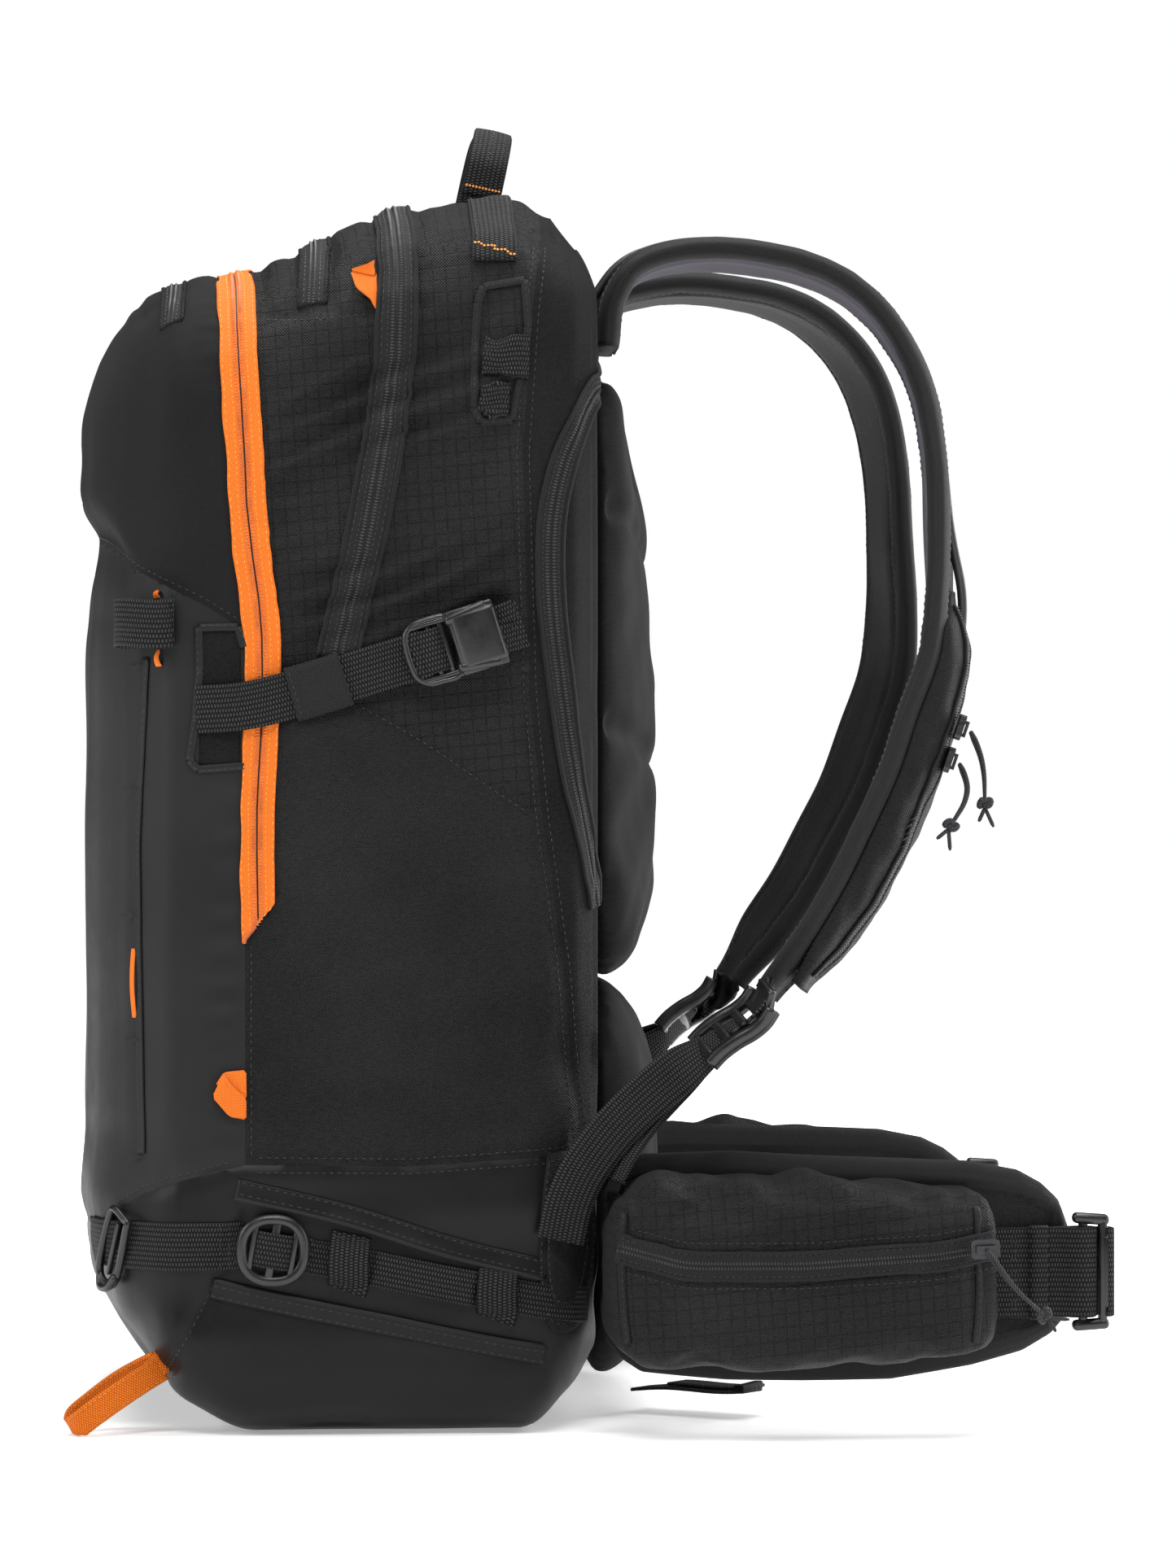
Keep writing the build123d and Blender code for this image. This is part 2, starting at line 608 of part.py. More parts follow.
cu = on(upper_plane, 5.5, 0, 6.2)
cord("strap_zip_cord_upper", [cu, (cu[0] + 3.6, cu[1] - 2.0, cu[2] - 8.0), (cu[0] + 5.6, cu[1] - 2.6, cu[2] - 18.0), (cu[0] + 5.8, cu[1] - 2.4, cu[2] - 28.0)])
cl = on(lower_plane, 5.5, 0, 6.2)
cord("strap_zip_cord_lower", [cl, (cl[0] + 3.0, cl[1] - 5.5, cl[2] - 7.5), (cl[0] + 1.6, cl[1] - 9.0, cl[2] - 16.0), (cl[0] - 3.6, cl[1] - 10.0, cl[2] - 24.0)])

# lower webbing of the straps and its ladder locks
low_line = [(59, 168), (37, 153.16), (21, 139), (8, 124), (-8, 104), (-13, 78)]
low_line_left = [(68, 161), (46, 146.16), (27, 134), (9, 123), (-8, 104), (-13, 78)]


def lower_webbing(points):
    with BuildPart() as form:
        add(prism(band(points, -WEB / 2, WEB / 2), SIDE + 5.8, SIDE + 5.8 + WEB_T))
        # sewn fabric tab that holds the webbing on the bag's corner
        add(prism([(-16, 117), (-16, 62), (-4, 62), (4, 84), (2, 104)], SIDE + 0.2, SIDE + 5.6))
    return form.part


keep("strap_webbing_right", lower_webbing(low_line))
keep("strap_webbing_left", mirrored(lower_webbing(low_line_left)))


def ladder_lock(x, z):
    lt = unit(43.0, 29.0)
    lock_plane = Plane(origin=(x, -SIDE - 4.0, z), x_dir=(lt[0], 0, lt[1]), z_dir=(0, -1, 0))
    with BuildPart() as form:
        block(lock_plane, -13, 15, -14.5, 14.5, 0, 4.5, r=5)
        block(lock_plane, -8, -3.5, -10.4, 10.4, -1, 6, mode=Mode.SUBTRACT)
        block(lock_plane, 0.5, 5, -10.4, 10.4, -1, 6, mode=Mode.SUBTRACT)
        block(lock_plane, 8.5, 11.5, -10.4, 10.4, -1, 6, mode=Mode.SUBTRACT)
        block(lock_plane, -30, 0.2, -10.4, 10.4, 1.5, 3.7, mode=Mode.SUBTRACT)
        # webbing tab from the strap's end to the lock
        block(lock_plane, 12.2, 26, -10, 10, 5.0, 6.6)
    return form.part


with BuildPart() as ladder_locks:
    add(ladder_lock(59, 168))
    add(mirrored(ladder_lock(68, 161)))
keep("ladder_locks", ladder_locks.part)

with BuildPart() as leg_strap:
    block(Plane(origin=(30, -62, 9), x_dir=(0.85, -0.52, 0.04), z_dir=(0, 0.05, 1)), 0, 52, -10, 10, 0, 2.2)
keep("leg_strap", leg_strap.part)

# ---------------------------------------------------------------- hip belt
wing_line = [(10, -118), (40, -133), (80, -144), (120, -149), (165, -148), (203, -140)]
wing_side = [(9, 104), (24, 116), (60, 118), (92, 116), (160, 114), (180, 110), (197, 98), (203, 84), (202, 47), (182, 35), (126, 24), (58, 23), (24, 25), (9, 38)]


def plan(points, z0, z1):
    """A prism on a plan view polygon."""
    with BuildPart() as form:
        with BuildSketch(Plane.XY.offset(z0)):
            with BuildLine():
                Polyline(*points, close=True)
            make_face()
        extrude(amount=z1 - z0)
    return form.part


with BuildPart() as wing:
    add(plan(band(wing_line, -6.5, 6.5), 0, 150))
    add(prism(wing_side, 90, 170), mode=Mode.INTERSECT)
keep("belt_wing_right", wing.part)
keep("belt_wing_left", mirrored(wing.part))

pocket_side = [(6, 98), (14, 113), (46, 115), (90, 113), (157, 108), (165, 96), (170, 60), (169, 46), (157, 34), (90, 28), (39, 28), (9, 36), (6, 60)]
pocket_in = [(7, 92), (16, 109), (46, 112), (90, 110), (154, 105), (162, 94), (166, 60), (165, 48), (154, 38), (90, 31), (41, 31), (12, 39), (9, 60)]
out_line = offsets(wing_line, -7.0)
in_line = offsets(wing_line, -10.0)
with BuildPart() as belt_pocket:
    add(plan([(6, -124), *out_line[1:5], (171, -156.5), (171, -181), (164, -190), (26, -190), (12, -180), (6, -166)], 20, 125))
    add(prism(pocket_side, 100, 195), mode=Mode.INTERSECT)
    with BuildPart(mode=Mode.PRIVATE) as cavity:
        add(plan([(9.5, -129), *in_line[1:5], (167.5, -159), (167.5, -180), (162, -187), (28, -187), (14.5, -177.5), (9.5, -164)], 20, 125))
        add(prism(pocket_in, 100, 195), mode=Mode.INTERSECT)
    add(cavity.part, mode=Mode.SUBTRACT)
keep("belt_pocket_right", belt_pocket.part)
keep("belt_pocket_left", mirrored(belt_pocket.part))

zip_dir = unit(-130.0, -6.0)
belt_slider_plane = Plane(origin=(160, -190.4, 81.5), x_dir=(zip_dir[0], 0, zip_dir[1]), z_dir=(0, -1, 0))
with BuildPart() as belt_slider:
    block(belt_slider_plane, -6, 6, -4, 4, 0, 2.6, r=2)
    block(belt_slider_plane, -4, 4, -1.6, 1.6, 2.6, 4.8)
    block(belt_slider_plane, -2.4, 2.4, -2, 2, 2.6, 3.6, mode=Mode.SUBTRACT)
keep("belt_zip_slider_right", belt_slider.part)
keep("belt_zip_slider_left", mirrored(belt_slider.part))
bz = on(belt_slider_plane, 0, 0, 6.3)
cord("belt_zip_cord_right", [bz, (bz[0] + 5.5, bz[1] - 2.2, bz[2] - 8.5), (bz[0] + 13.0, bz[1] - 2.4, bz[2] - 17.5), (bz[0] + 21.5, bz[1] - 1.6, bz[2] - 25.0)])

# 38 mm webbing on the wing's outer face, with a loop round the buckle's bar
bar = (207.5, -151.5)
with BuildPart() as belt_webbing:
    add(plan(band([(172, -154.0), (192, -151.2), (203.8, -155.2)], -WEB_T, 0), 68 - BELT_WEB / 2, 68 + BELT_WEB / 2))
    with BuildSketch(Plane.XY.offset(68 - BELT_WEB / 2)):
        with Locations(bar):
            Circle(5.6)
            Circle(2.6, mode=Mode.SUBTRACT)
    extrude(amount=BELT_WEB)
keep("belt_webbing_right", belt_webbing.part)
keep("belt_webbing_left", mirrored(belt_webbing.part))

with BuildPart() as belt_buckle:
    with BuildSketch(Plane.XY.offset(43.5)):
        with Locations(bar):
            Circle(2.0)
    extrude(amount=49)
    for za, zb in ((43.5, 48.2), (87.8, 92.5)):
        with BuildSketch(Plane.XY.offset(za)):
            with Locations((bar[0] + 4.5, bar[1])):
                RectangleRounded(18, 7.5, 3)
        extrude(amount=zb - za)
    world_box(214.2, 217.0, bar[1] - 3.7, bar[1] + 3.7, 44, 92)
    # free end of the webbing, folded over the buckle's front bar
    world_box(217.2, 219.2, bar[1] - 2.5, bar[1] + 2.5, 49, 87)
keep("belt_buckle_right", belt_buckle.part)
keep("belt_buckle_left", mirrored(belt_buckle.part))

low = [min(tuple(p.bounding_box().min)[i] for n, p in done.items() if "zip_cord" not in n) for i in range(3)]
high = [max(tuple(p.bounding_box().max)[i] for n, p in done.items() if "zip_cord" not in n) for i in range(3)]
print("nodes", len(done), "low", [round(v, 2) for v in low], "high", [round(v, 2) for v in high])
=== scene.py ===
import math

import bmesh
import bpy
import numpy as np
from mathutils import Matrix, Vector, noise
from mathutils.bvhtree import BVHTree
from mathutils.kdtree import KDTree


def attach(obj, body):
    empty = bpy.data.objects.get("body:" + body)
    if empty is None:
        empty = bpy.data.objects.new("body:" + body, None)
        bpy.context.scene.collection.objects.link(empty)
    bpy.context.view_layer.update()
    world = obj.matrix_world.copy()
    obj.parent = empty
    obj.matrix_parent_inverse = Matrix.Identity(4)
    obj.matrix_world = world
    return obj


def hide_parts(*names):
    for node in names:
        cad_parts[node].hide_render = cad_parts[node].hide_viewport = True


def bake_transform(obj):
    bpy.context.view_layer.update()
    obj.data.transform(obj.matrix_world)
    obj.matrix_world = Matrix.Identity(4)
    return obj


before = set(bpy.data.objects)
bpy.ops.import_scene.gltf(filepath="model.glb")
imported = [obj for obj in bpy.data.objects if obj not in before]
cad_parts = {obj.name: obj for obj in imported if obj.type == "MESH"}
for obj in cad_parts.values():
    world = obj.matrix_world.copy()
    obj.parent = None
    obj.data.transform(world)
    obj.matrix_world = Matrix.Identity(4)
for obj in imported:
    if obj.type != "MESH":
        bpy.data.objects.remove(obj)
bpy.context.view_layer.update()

scene = bpy.context.scene
RNG = np.random.default_rng(11)
interp = np.interp

# Everything below is laid out in millimetres in the shared frame and scaled to metres when a mesh is made.


# ------------------------------------------------------------------ camera and studio
cam_data = bpy.data.cameras.new("camera")
cam_data.sensor_fit = "VERTICAL"
cam_data.sensor_height = 36.0
cam_data.lens = 6027.0 / 1927.0 * 36.0
cam_data.clip_end = 50.0
camera = bpy.data.objects.new("camera", cam_data)
scene.collection.objects.link(camera)
camera.location = (-0.1440, -2.1946, 0.2730)
camera.rotation_euler = (math.radians(90), 0, math.radians(-4))
scene.camera = camera


# ------------------------------------------------------------------ node helpers
class Nodes:
    """A short way to write a material's node tree."""

    def __init__(self, name):
        self.mat = bpy.data.materials.new(name)
        self.mat.use_nodes = True
        self.tree = self.mat.node_tree
        self.tree.nodes.clear()
        self.out = self.tree.nodes.new("ShaderNodeOutputMaterial")
        self.bsdf = self.tree.nodes.new("ShaderNodeBsdfPrincipled")
        self.tree.links.new(self.bsdf.outputs[0], self.out.inputs[0])

    def link(self, value, socket):
        if hasattr(value, "is_output") or isinstance(value, bpy.types.NodeSocket):
            self.tree.links.new(value, socket)
        elif value is not None:
            if hasattr(socket.default_value, "__len__") and not hasattr(value, "__len__"):
                socket.default_value = [value] * len(socket.default_value)
            elif hasattr(value, "__len__") and len(socket.default_value) == 4 and len(value) == 3:
                socket.default_value = (*value, 1)
            else:
                socket.default_value = value

    def math(self, op, a, b=None, c=None, clamp=False):
        n = self.tree.nodes.new("ShaderNodeMath")
        n.operation = op
        n.use_clamp = clamp
        for v, s in zip((a, b, c), n.inputs):
            self.link(v, s)
        return n.outputs[0]

    def vmath(self, op, a, b=None):
        n = self.tree.nodes.new("ShaderNodeVectorMath")
        n.operation = op
        self.link(a, n.inputs[0])
        if b is not None:
            self.link(b, n.inputs[3 if op == "SCALE" else 1])
        return n.outputs[0]

    def mix(self, f, a, b, kind="RGBA"):
        n = self.tree.nodes.new("ShaderNodeMix")
        n.data_type = kind
        sel = [s for s in n.inputs if s.enabled or s.name == "Factor"]
        self.link(f, n.inputs[0])
        ia = {"RGBA": (6, 7, 2), "FLOAT": (2, 3, 0)}[kind]
        self.link(a, n.inputs[ia[0]])
        self.link(b, n.inputs[ia[1]])
        return n.outputs[ia[2]]

    def attr(self, name):
        n = self.tree.nodes.new("ShaderNodeAttribute")
        n.attribute_name = name
        return n.outputs["Fac"]

    def coords(self):
        if not hasattr(self, "_co"):
            self._co = self.tree.nodes.new("ShaderNodeTexCoord")
        return self._co

    def sep(self, v):
        n = self.tree.nodes.new("ShaderNodeSeparateXYZ")
        self.link(v, n.inputs[0])
        return n.outputs[0], n.outputs[1], n.outputs[2]

    def comb(self, x, y, z=0.0):
        n = self.tree.nodes.new("ShaderNodeCombineXYZ")
        for v, s in zip((x, y, z), n.inputs):
            self.link(v, s)
        return n.outputs[0]

    def noise(self, v, scale, detail=2.0, rough=0.5, dist=0.0):
        n = self.tree.nodes.new("ShaderNodeTexNoise")
        self.link(v, n.inputs["Vector"])
        n.inputs["Scale"].default_value = scale
        n.inputs["Detail"].default_value = detail
        n.inputs["Roughness"].default_value = rough
        n.inputs["Distortion"].default_value = dist
        return n.outputs["Fac"]

    def ramp(self, f, a, b, lo=0.0, hi=1.0):
        n = self.tree.nodes.new("ShaderNodeMapRange")
        n.clamp = True
        self.link(f, n.inputs[0])
        for i, v in enumerate((a, b, lo, hi)):
            n.inputs[i + 1].default_value = v
        return n.outputs[0]

    def bump(self, height, distance, strength=1.0, normal=None):
        n = self.tree.nodes.new("ShaderNodeBump")
        n.inputs["Strength"].default_value = strength
        n.inputs["Distance"].default_value = distance
        self.link(height, n.inputs["Height"])
        if normal is not None:
            self.link(normal, n.inputs["Normal"])
        return n.outputs[0]

    def done(self, color=None, rough=None, normal=None, **fixed):
        self.link(color, self.bsdf.inputs["Base Color"])
        self.link(rough, self.bsdf.inputs["Roughness"])
        if normal is not None:
            self.link(normal, self.bsdf.inputs["Normal"])
        for k, v in fixed.items():
            self.link(v, self.bsdf.inputs[k.replace("_", " ")])
        return self.mat

    def flat(self):
        """(p, q) in mm across a surface: the two object axes that its normal points least along."""
        co = self.coords()
        x, y, z = self.sep(self.vmath("SCALE", co.outputs["Object"], 1000.0))
        nx, ny, nz = self.sep(self.vmath("ABSOLUTE", co.outputs["Normal"]))
        side = self.math("GREATER_THAN", ny, nx)          # faces Y more than X
        up = self.math("GREATER_THAN", nz, self.math("MAXIMUM", nx, ny))
        p = self.mix(side, y, x, "FLOAT")
        q = self.mix(up, z, y, "FLOAT")
        p = self.mix(up, p, x, "FLOAT")
        return p, q


def woven(name, dark, light, pitch=0.55, ripstop=0.0, rough=0.75, sheen=0.25, bump=0.12, cloud=0.25, twill=True, spec=0.3):
    """Woven fabric: a fine weave, broad uneven shade, and a ripstop grid of ripstop mm."""
    n = Nodes(name)
    p, q = n.flat()
    pos = n.coords().outputs["Object"]
    wob = n.noise(pos, 60.0, 2.0)
    p = n.math("ADD", p, n.math("MULTIPLY", wob, 0.5))
    w = 2 * math.pi / pitch
    if twill:
        diag = n.math("SINE", n.math("MULTIPLY", n.math("ADD", p, q), w * 0.7))
        cross = n.math("SINE", n.math("MULTIPLY", n.math("SUBTRACT", p, n.math("MULTIPLY", q, 0.45)), w * 1.15))
        weave = n.math("MULTIPLY_ADD", n.math("ADD", diag, n.math("MULTIPLY", cross, 0.6)), 0.31, 0.5)
    else:
        pattern = n.math("MULTIPLY", n.math("SINE", n.math("MULTIPLY", p, w)), n.math("SINE", n.math("MULTIPLY", q, w)))
        slub = n.noise(n.comb(n.math("MULTIPLY", p, 0.28), n.math("MULTIPLY", q, 1.3)), 1.0, 2.0, 0.6)
        weave = n.math("MULTIPLY_ADD", pattern, 0.5, n.math("MULTIPLY_ADD", slub, 0.6, 0.2))
    broad = n.noise(pos, 14.0, 3.0, 0.55)
    fine = n.noise(pos, 900.0, 2.0, 0.6)
    shade = n.math("MULTIPLY_ADD", weave, 0.55, n.math("MULTIPLY", fine, 0.35))
    shade = n.math("ADD", shade, n.math("MULTIPLY", n.math("SUBTRACT", broad, 0.5), cloud * 2))
    height = n.math("MULTIPLY_ADD", fine, 0.4, weave)
    if ripstop:
        lines = []
        for c, other in ((n.math("ADD", p, n.math("MULTIPLY", q, 0.06)), q), (n.math("ADD", q, n.math("MULTIPLY", p, -0.10)), p)):
            f = n.math("ABSOLUTE", n.math("SUBTRACT", n.math("FRACT", n.math("DIVIDE", c, ripstop)), 0.5))
            lines.append(n.ramp(f, 0.075, 0.03))
        grid = n.math("MAXIMUM", lines[0], lines[1])
        shade = n.math("SUBTRACT", shade, n.math("MULTIPLY", grid, 0.10))
        height = n.math("SUBTRACT", height, n.math("MULTIPLY", grid, 0.6))
    color = n.mix(n.ramp(shade, 0.16, 1.0), dark, light)
    normal = n.bump(height, 0.0002, bump)
    return n.done(color, n.ramp(fine, 0.2, 0.8, rough - 0.06, rough + 0.06), normal, Sheen_Weight=sheen * 0.06, Sheen_Roughness=0.5, Specular_IOR_Level=spec * 0.4)


def coated(name, dark, light, rough=0.5, sheen=0.06):
    """Smooth coated fabric: soft broad shade, faint grain, a dull sheen."""
    n = Nodes(name)
    pos = n.coords().outputs["Object"]
    broad = n.noise(pos, 9.0, 3.0, 0.5)
    grain = n.noise(pos, 1500.0, 3.0, 0.65)
    soft = n.noise(pos, 70.0, 3.0, 0.6)
    color = n.mix(n.ramp(n.math("MULTIPLY_ADD", grain, 0.25, broad), 0.3, 0.95), dark, light)
    normal = n.bump(n.math("MULTIPLY_ADD", soft, 2.5, grain), 0.00012, 0.35)
    return n.done(color, n.ramp(n.math("MULTIPLY_ADD", grain, 0.4, soft), 0.4, 1.0, rough - 0.07, rough + 0.08), normal, Sheen_Weight=sheen * 0.2, Sheen_Roughness=0.4, Specular_IOR_Level=0.15)


def strap_web(name, dark, light, rib=1.25, col=2.05, rough=0.62, sheen=0.25, bump=0.8):
    """Ribbed webbing: rows of short raised stitches along u, with columns across v (attributes u and v, in mm)."""
    n = Nodes(name)
    u, v = n.attr("u"), n.attr("v")
    row = n.math("FLOOR", n.math("DIVIDE", v, col))
    shift = n.math("MULTIPLY", n.math("MODULO", n.math("ABSOLUTE", row), 2.0), rib / 2)
    a = n.math("SINE", n.math("MULTIPLY", n.math("ADD", u, shift), 2 * math.pi / rib))
    b = n.math("SINE", n.math("MULTIPLY", n.math("FRACT", n.math("DIVIDE", v, col)), math.pi))
    cell = n.math("MULTIPLY", n.math("MULTIPLY_ADD", a, 0.5, 0.5), b)
    pos = n.coords().outputs["Object"]
    fine = n.noise(pos, 1300.0, 2.0)
    shade = n.math("MULTIPLY_ADD", fine, 0.35, cell)
    color = n.mix(n.ramp(shade, 0.2, 1.05), dark, light)
    normal = n.bump(n.math("MULTIPLY_ADD", fine, 0.2, cell), 0.0004, bump)
    return n.done(color, rough, normal, Sheen_Weight=sheen * 0.1, Sheen_Roughness=0.4, Specular_IOR_Level=0.10)


def tape(name, dark, light, pitch=1.1, rough=0.65, sheen=0.2, bump=0.5):
    """Herringbone tape: slanted threads whose slope turns over across v."""
    n = Nodes(name)
    u, v = n.attr("u"), n.attr("v")
    z = n.math("MULTIPLY", n.math("PINGPONG", v, 2.2), 1.1)
    t = n.math("MULTIPLY_ADD", n.math("SINE", n.math("MULTIPLY", n.math("ADD", u, z), 2 * math.pi / pitch)), 0.5, 0.5)
    fine = n.noise(n.coords().outputs["Object"], 1100.0, 2.0)
    shade = n.math("MULTIPLY_ADD", fine, 0.45, t)
    color = n.mix(n.ramp(shade, 0.1, 1.3), dark, light)
    return n.done(color, rough, n.bump(shade, 0.00025, bump), Sheen_Weight=sheen * 0.2, Sheen_Roughness=0.4, Specular_IOR_Level=0.15)


def plastic(name, dark, light, rough=0.38, bump=0.06, spec=0.5):
    """Moulded plastic: a fine spark-eroded grain, with soft scuffs."""
    n = Nodes(name)
    pos = n.coords().outputs["Object"]
    grain = n.noise(pos, 1800.0, 2.0)
    scuff = n.noise(pos, 120.0, 4.0, 0.6)
    color = n.mix(n.ramp(scuff, 0.35, 0.75), dark, light)
    return n.done(color, n.ramp(n.math("MULTIPLY_ADD", grain, 0.3, scuff), 0.4, 1.0, rough - 0.06, rough + 0.1), n.bump(grain, 0.0001, bump * 5), Specular_IOR_Level=spec)


def metal(name, dark, light, rough=0.35, metallic=1.0):
    n = Nodes(name)
    pos = n.coords().outputs["Object"]
    grain = n.noise(n.vmath("MULTIPLY", pos, (40.0, 900.0, 900.0)), 1.0, 3.0)
    color = n.mix(grain, dark, light)
    return n.done(color, n.ramp(grain, 0.3, 0.7, rough - 0.08, rough + 0.1), n.bump(grain, 0.00005, 0.3), Metallic=metallic)


def thread(name, dark, light):
    n = Nodes(name)
    pos = n.coords().outputs["Object"]
    f = n.noise(pos, 1500.0, 2.0)
    return n.done(n.mix(n.ramp(f, 0.3, 0.7), dark, light), 0.6, n.bump(f, 0.0001, 0.5), Sheen_Weight=0.2, Specular_IOR_Level=0.3)


M = {
    "ripstop": woven("ripstop_fabric", (0.0004, 0.0004, 0.0004), (0.0300, 0.0302, 0.0308), 1.25, 5.6, 0.46, 0.2, 1.8, 0.2, twill=False, spec=0.24),
    "twill": woven("side_twill", (0.0004, 0.0004, 0.0004), (0.0300, 0.0302, 0.0308), 1.25, 0.0, 0.50, 0.2, 1.8, 0.2, twill=False, spec=0.2),
    "dome": woven("front_dome_fabric", (0.0050, 0.0050, 0.0052), (0.0150, 0.0152, 0.0156), 0.8, 0.0, 0.8, 0.14, 0.3, 0.2, twill=False),
    "coated": coated("coated_front", (0.0095, 0.0095, 0.0096), (0.0155, 0.0156, 0.0158), 0.50),
    "base": coated("coated_base", (0.0050, 0.0050, 0.0051), (0.0095, 0.0096, 0.0098), 0.42),
    "lining": woven("gusset_fabric", (0.0004, 0.0004, 0.0004), (0.0240, 0.0242, 0.0247), 1.1, 0.0, 0.6, 0.1, 1.4, 0.2, twill=False, spec=0.16),
    "pad": woven("back_pad_fabric", (0.0006, 0.0006, 0.0006), (0.0260, 0.0262, 0.0267), 1.2, 0.0, 0.78, 0.22, 0.5, 0.3, twill=False),
    "strap": woven("strap_face_fabric", (0.0004, 0.0004, 0.0004), (0.0300, 0.0302, 0.0308), 1.2, 0.0, 0.50, 0.2, 1.6, 0.2, twill=False, spec=0.2),
    # strap lining: its own lilac tint, made lighter with painted sheen from grazing light
    "lining_tint_and_painted_sheen": woven("strap_lining_tint_and_painted_sheen", (0.0310, 0.0265, 0.0390), (0.0900, 0.0780, 0.1120), 1.1, 0.0, 0.8, 1.6, 0.5, 0.4, twill=False),
    "web": strap_web("ribbed_webbing", (0.0006, 0.0006, 0.0006), (0.0400, 0.0403, 0.0410)),
    "web_orange": strap_web("orange_webbing", (0.42, 0.075, 0.004), (0.82, 0.215, 0.018), 1.2, 0.9, 0.6, 0.3, 0.6),
    "tape": tape("black_tape", (0.0018, 0.0018, 0.0019), (0.0175, 0.0177, 0.0183)),
    "tape_orange": tape("orange_tape", (0.50, 0.090, 0.006), (0.80, 0.185, 0.018), 1.0),
    "coil": plastic("zip_coil", (0.0040, 0.0040, 0.0042), (0.0200, 0.0203, 0.0210), 0.4),
    "coil_orange": plastic("orange_zip_coil", (0.42, 0.075, 0.006), (0.76, 0.17, 0.018), 0.42),
    "plastic": plastic("moulded_black", (0.0050, 0.0050, 0.0052), (0.0120, 0.0121, 0.0125), 0.34),
    "metal": metal("black_metal", (0.02, 0.02, 0.022), (0.07, 0.07, 0.075), 0.35, 0.8),
    "thread": thread("black_thread", (0.004, 0.004, 0.0045), (0.016, 0.016, 0.017)),
    "thread_grey": thread("grey_thread", (0.010, 0.010, 0.011), (0.034, 0.034, 0.036)),
    "thread_orange": thread("orange_thread", (0.62, 0.19, 0.016), (0.88, 0.36, 0.06)),
    "rubber": plastic("cable_sheath", (0.008, 0.008, 0.0085), (0.020, 0.020, 0.0215), 0.5),
    "cord": tape("braided_cord", (0.0060, 0.0062, 0.0068), (0.0480, 0.0487, 0.0520), 1.3, 0.6, 0.3, 0.7),
    "alloy": metal("plain_alloy", (0.45, 0.46, 0.47), (0.7, 0.71, 0.72), 0.35),
    "steel": metal("brushed_steel", (0.3, 0.31, 0.32), (0.55, 0.56, 0.58), 0.3),
    "case": plastic("case_plastic", (0.09, 0.095, 0.1), (0.15, 0.155, 0.16), 0.45),
    "sheet": plastic("frame_sheet_plastic", (0.05, 0.05, 0.05), (0.09, 0.09, 0.09), 0.5),
    "cell": plastic("cell_jacket", (0.4, 0.25, 0.03), (0.6, 0.4, 0.06), 0.35),
    "board": plastic("circuit_board", (0.01, 0.09, 0.035), (0.02, 0.14, 0.06), 0.4),
    "airbag": woven("airbag_nylon", (0.45, 0.07, 0.01), (0.85, 0.2, 0.03), 0.5, 5.0, 0.6, 0.3, 0.3),
    "trigger": plastic("trigger_orange", (0.7, 0.22, 0.02), (0.9, 0.36, 0.05), 0.4),
}


# ------------------------------------------------------------------ mesh helpers
def make(name, verts, faces, body="pack", mats=("web",), face_mat=None, smooth=True, u=None, v=None, replaces=()):
    """A mesh object from millimetre points."""
    me = bpy.data.meshes.new(name)
    verts = np.asarray(verts, float) * 0.001
    me.from_pydata(verts.tolist(), [], [tuple(int(i) for i in f) for f in faces])
    me.validate()
    for m in mats:
        me.materials.append(M[m])
    if face_mat is not None and len(face_mat) == len(me.polygons):
        me.polygons.foreach_set("material_index", np.asarray(face_mat, np.int32))
    if smooth:
        me.polygons.foreach_set("use_smooth", np.ones(len(me.polygons), bool))
    for key, val in (("u", u), ("v", v)):
        if val is not None:
            a = me.attributes.new(key, "FLOAT", "POINT")
            a.data.foreach_set("value", np.asarray(val, np.float32))
    me.update()
    ob = bpy.data.objects.new(name, me)
    scene.collection.objects.link(ob)
    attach(ob, body)
    if replaces:
        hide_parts(*replaces)
    return ob


def tree_of(verts, faces):
    return BVHTree.FromPolygons([Vector(p) for p in np.asarray(verts, float)], [tuple(int(i) for i in f) for f in faces])


def resample(pts, step):
    """Points every step mm along a line."""
    pts = np.asarray(pts, float)
    seg = np.linalg.norm(np.diff(pts, axis=0), axis=1)
    s = np.concatenate([[0], np.cumsum(seg)])
    n = max(2, int(round(s[-1] / step)) + 1)
    t = np.linspace(0, s[-1], n)
    return np.stack([np.interp(t, s, pts[:, k]) for k in range(pts.shape[1])], 1)


def smooth_line(pts, rounds=4):
    pts = np.array(pts, float)
    for _ in range(rounds):
        pts[1:-1] = 0.25 * pts[:-2] + 0.5 * pts[1:-1] + 0.25 * pts[2:]
    return pts


def spline(pts, step=2.0):
    """A smooth curve through points (centripetal Catmull-Rom), resampled."""
    p = np.asarray(pts, float)
    p = np.vstack([2 * p[0] - p[1], p, 2 * p[-1] - p[-2]])
    out = []
    for i in range(1, len(p) - 2):
        a, b, c, d = p[i - 1], p[i], p[i + 1], p[i + 2]
        t0 = 0.0
        t1 = t0 + max(np.linalg.norm(b - a), 1e-6) ** 0.5
        t2 = t1 + max(np.linalg.norm(c - b), 1e-6) ** 0.5
        t3 = t2 + max(np.linalg.norm(d - c), 1e-6) ** 0.5
        for t in np.linspace(t1, t2, 16, endpoint=False):
            a1 = (t1 - t) / (t1 - t0) * a + (t - t0) / (t1 - t0) * b
            a2 = (t2 - t) / (t2 - t1) * b + (t - t1) / (t2 - t1) * c
            a3 = (t3 - t) / (t3 - t2) * c + (t - t2) / (t3 - t2) * d
            b1 = (t2 - t) / (t2 - t0) * a1 + (t - t0) / (t2 - t0) * a2
            b2 = (t3 - t) / (t3 - t1) * a2 + (t - t1) / (t3 - t1) * a3
            out.append((t2 - t) / (t2 - t1) * b1 + (t - t1) / (t2 - t1) * b2)
    out.append(p[-2])
    return resample(out, step)


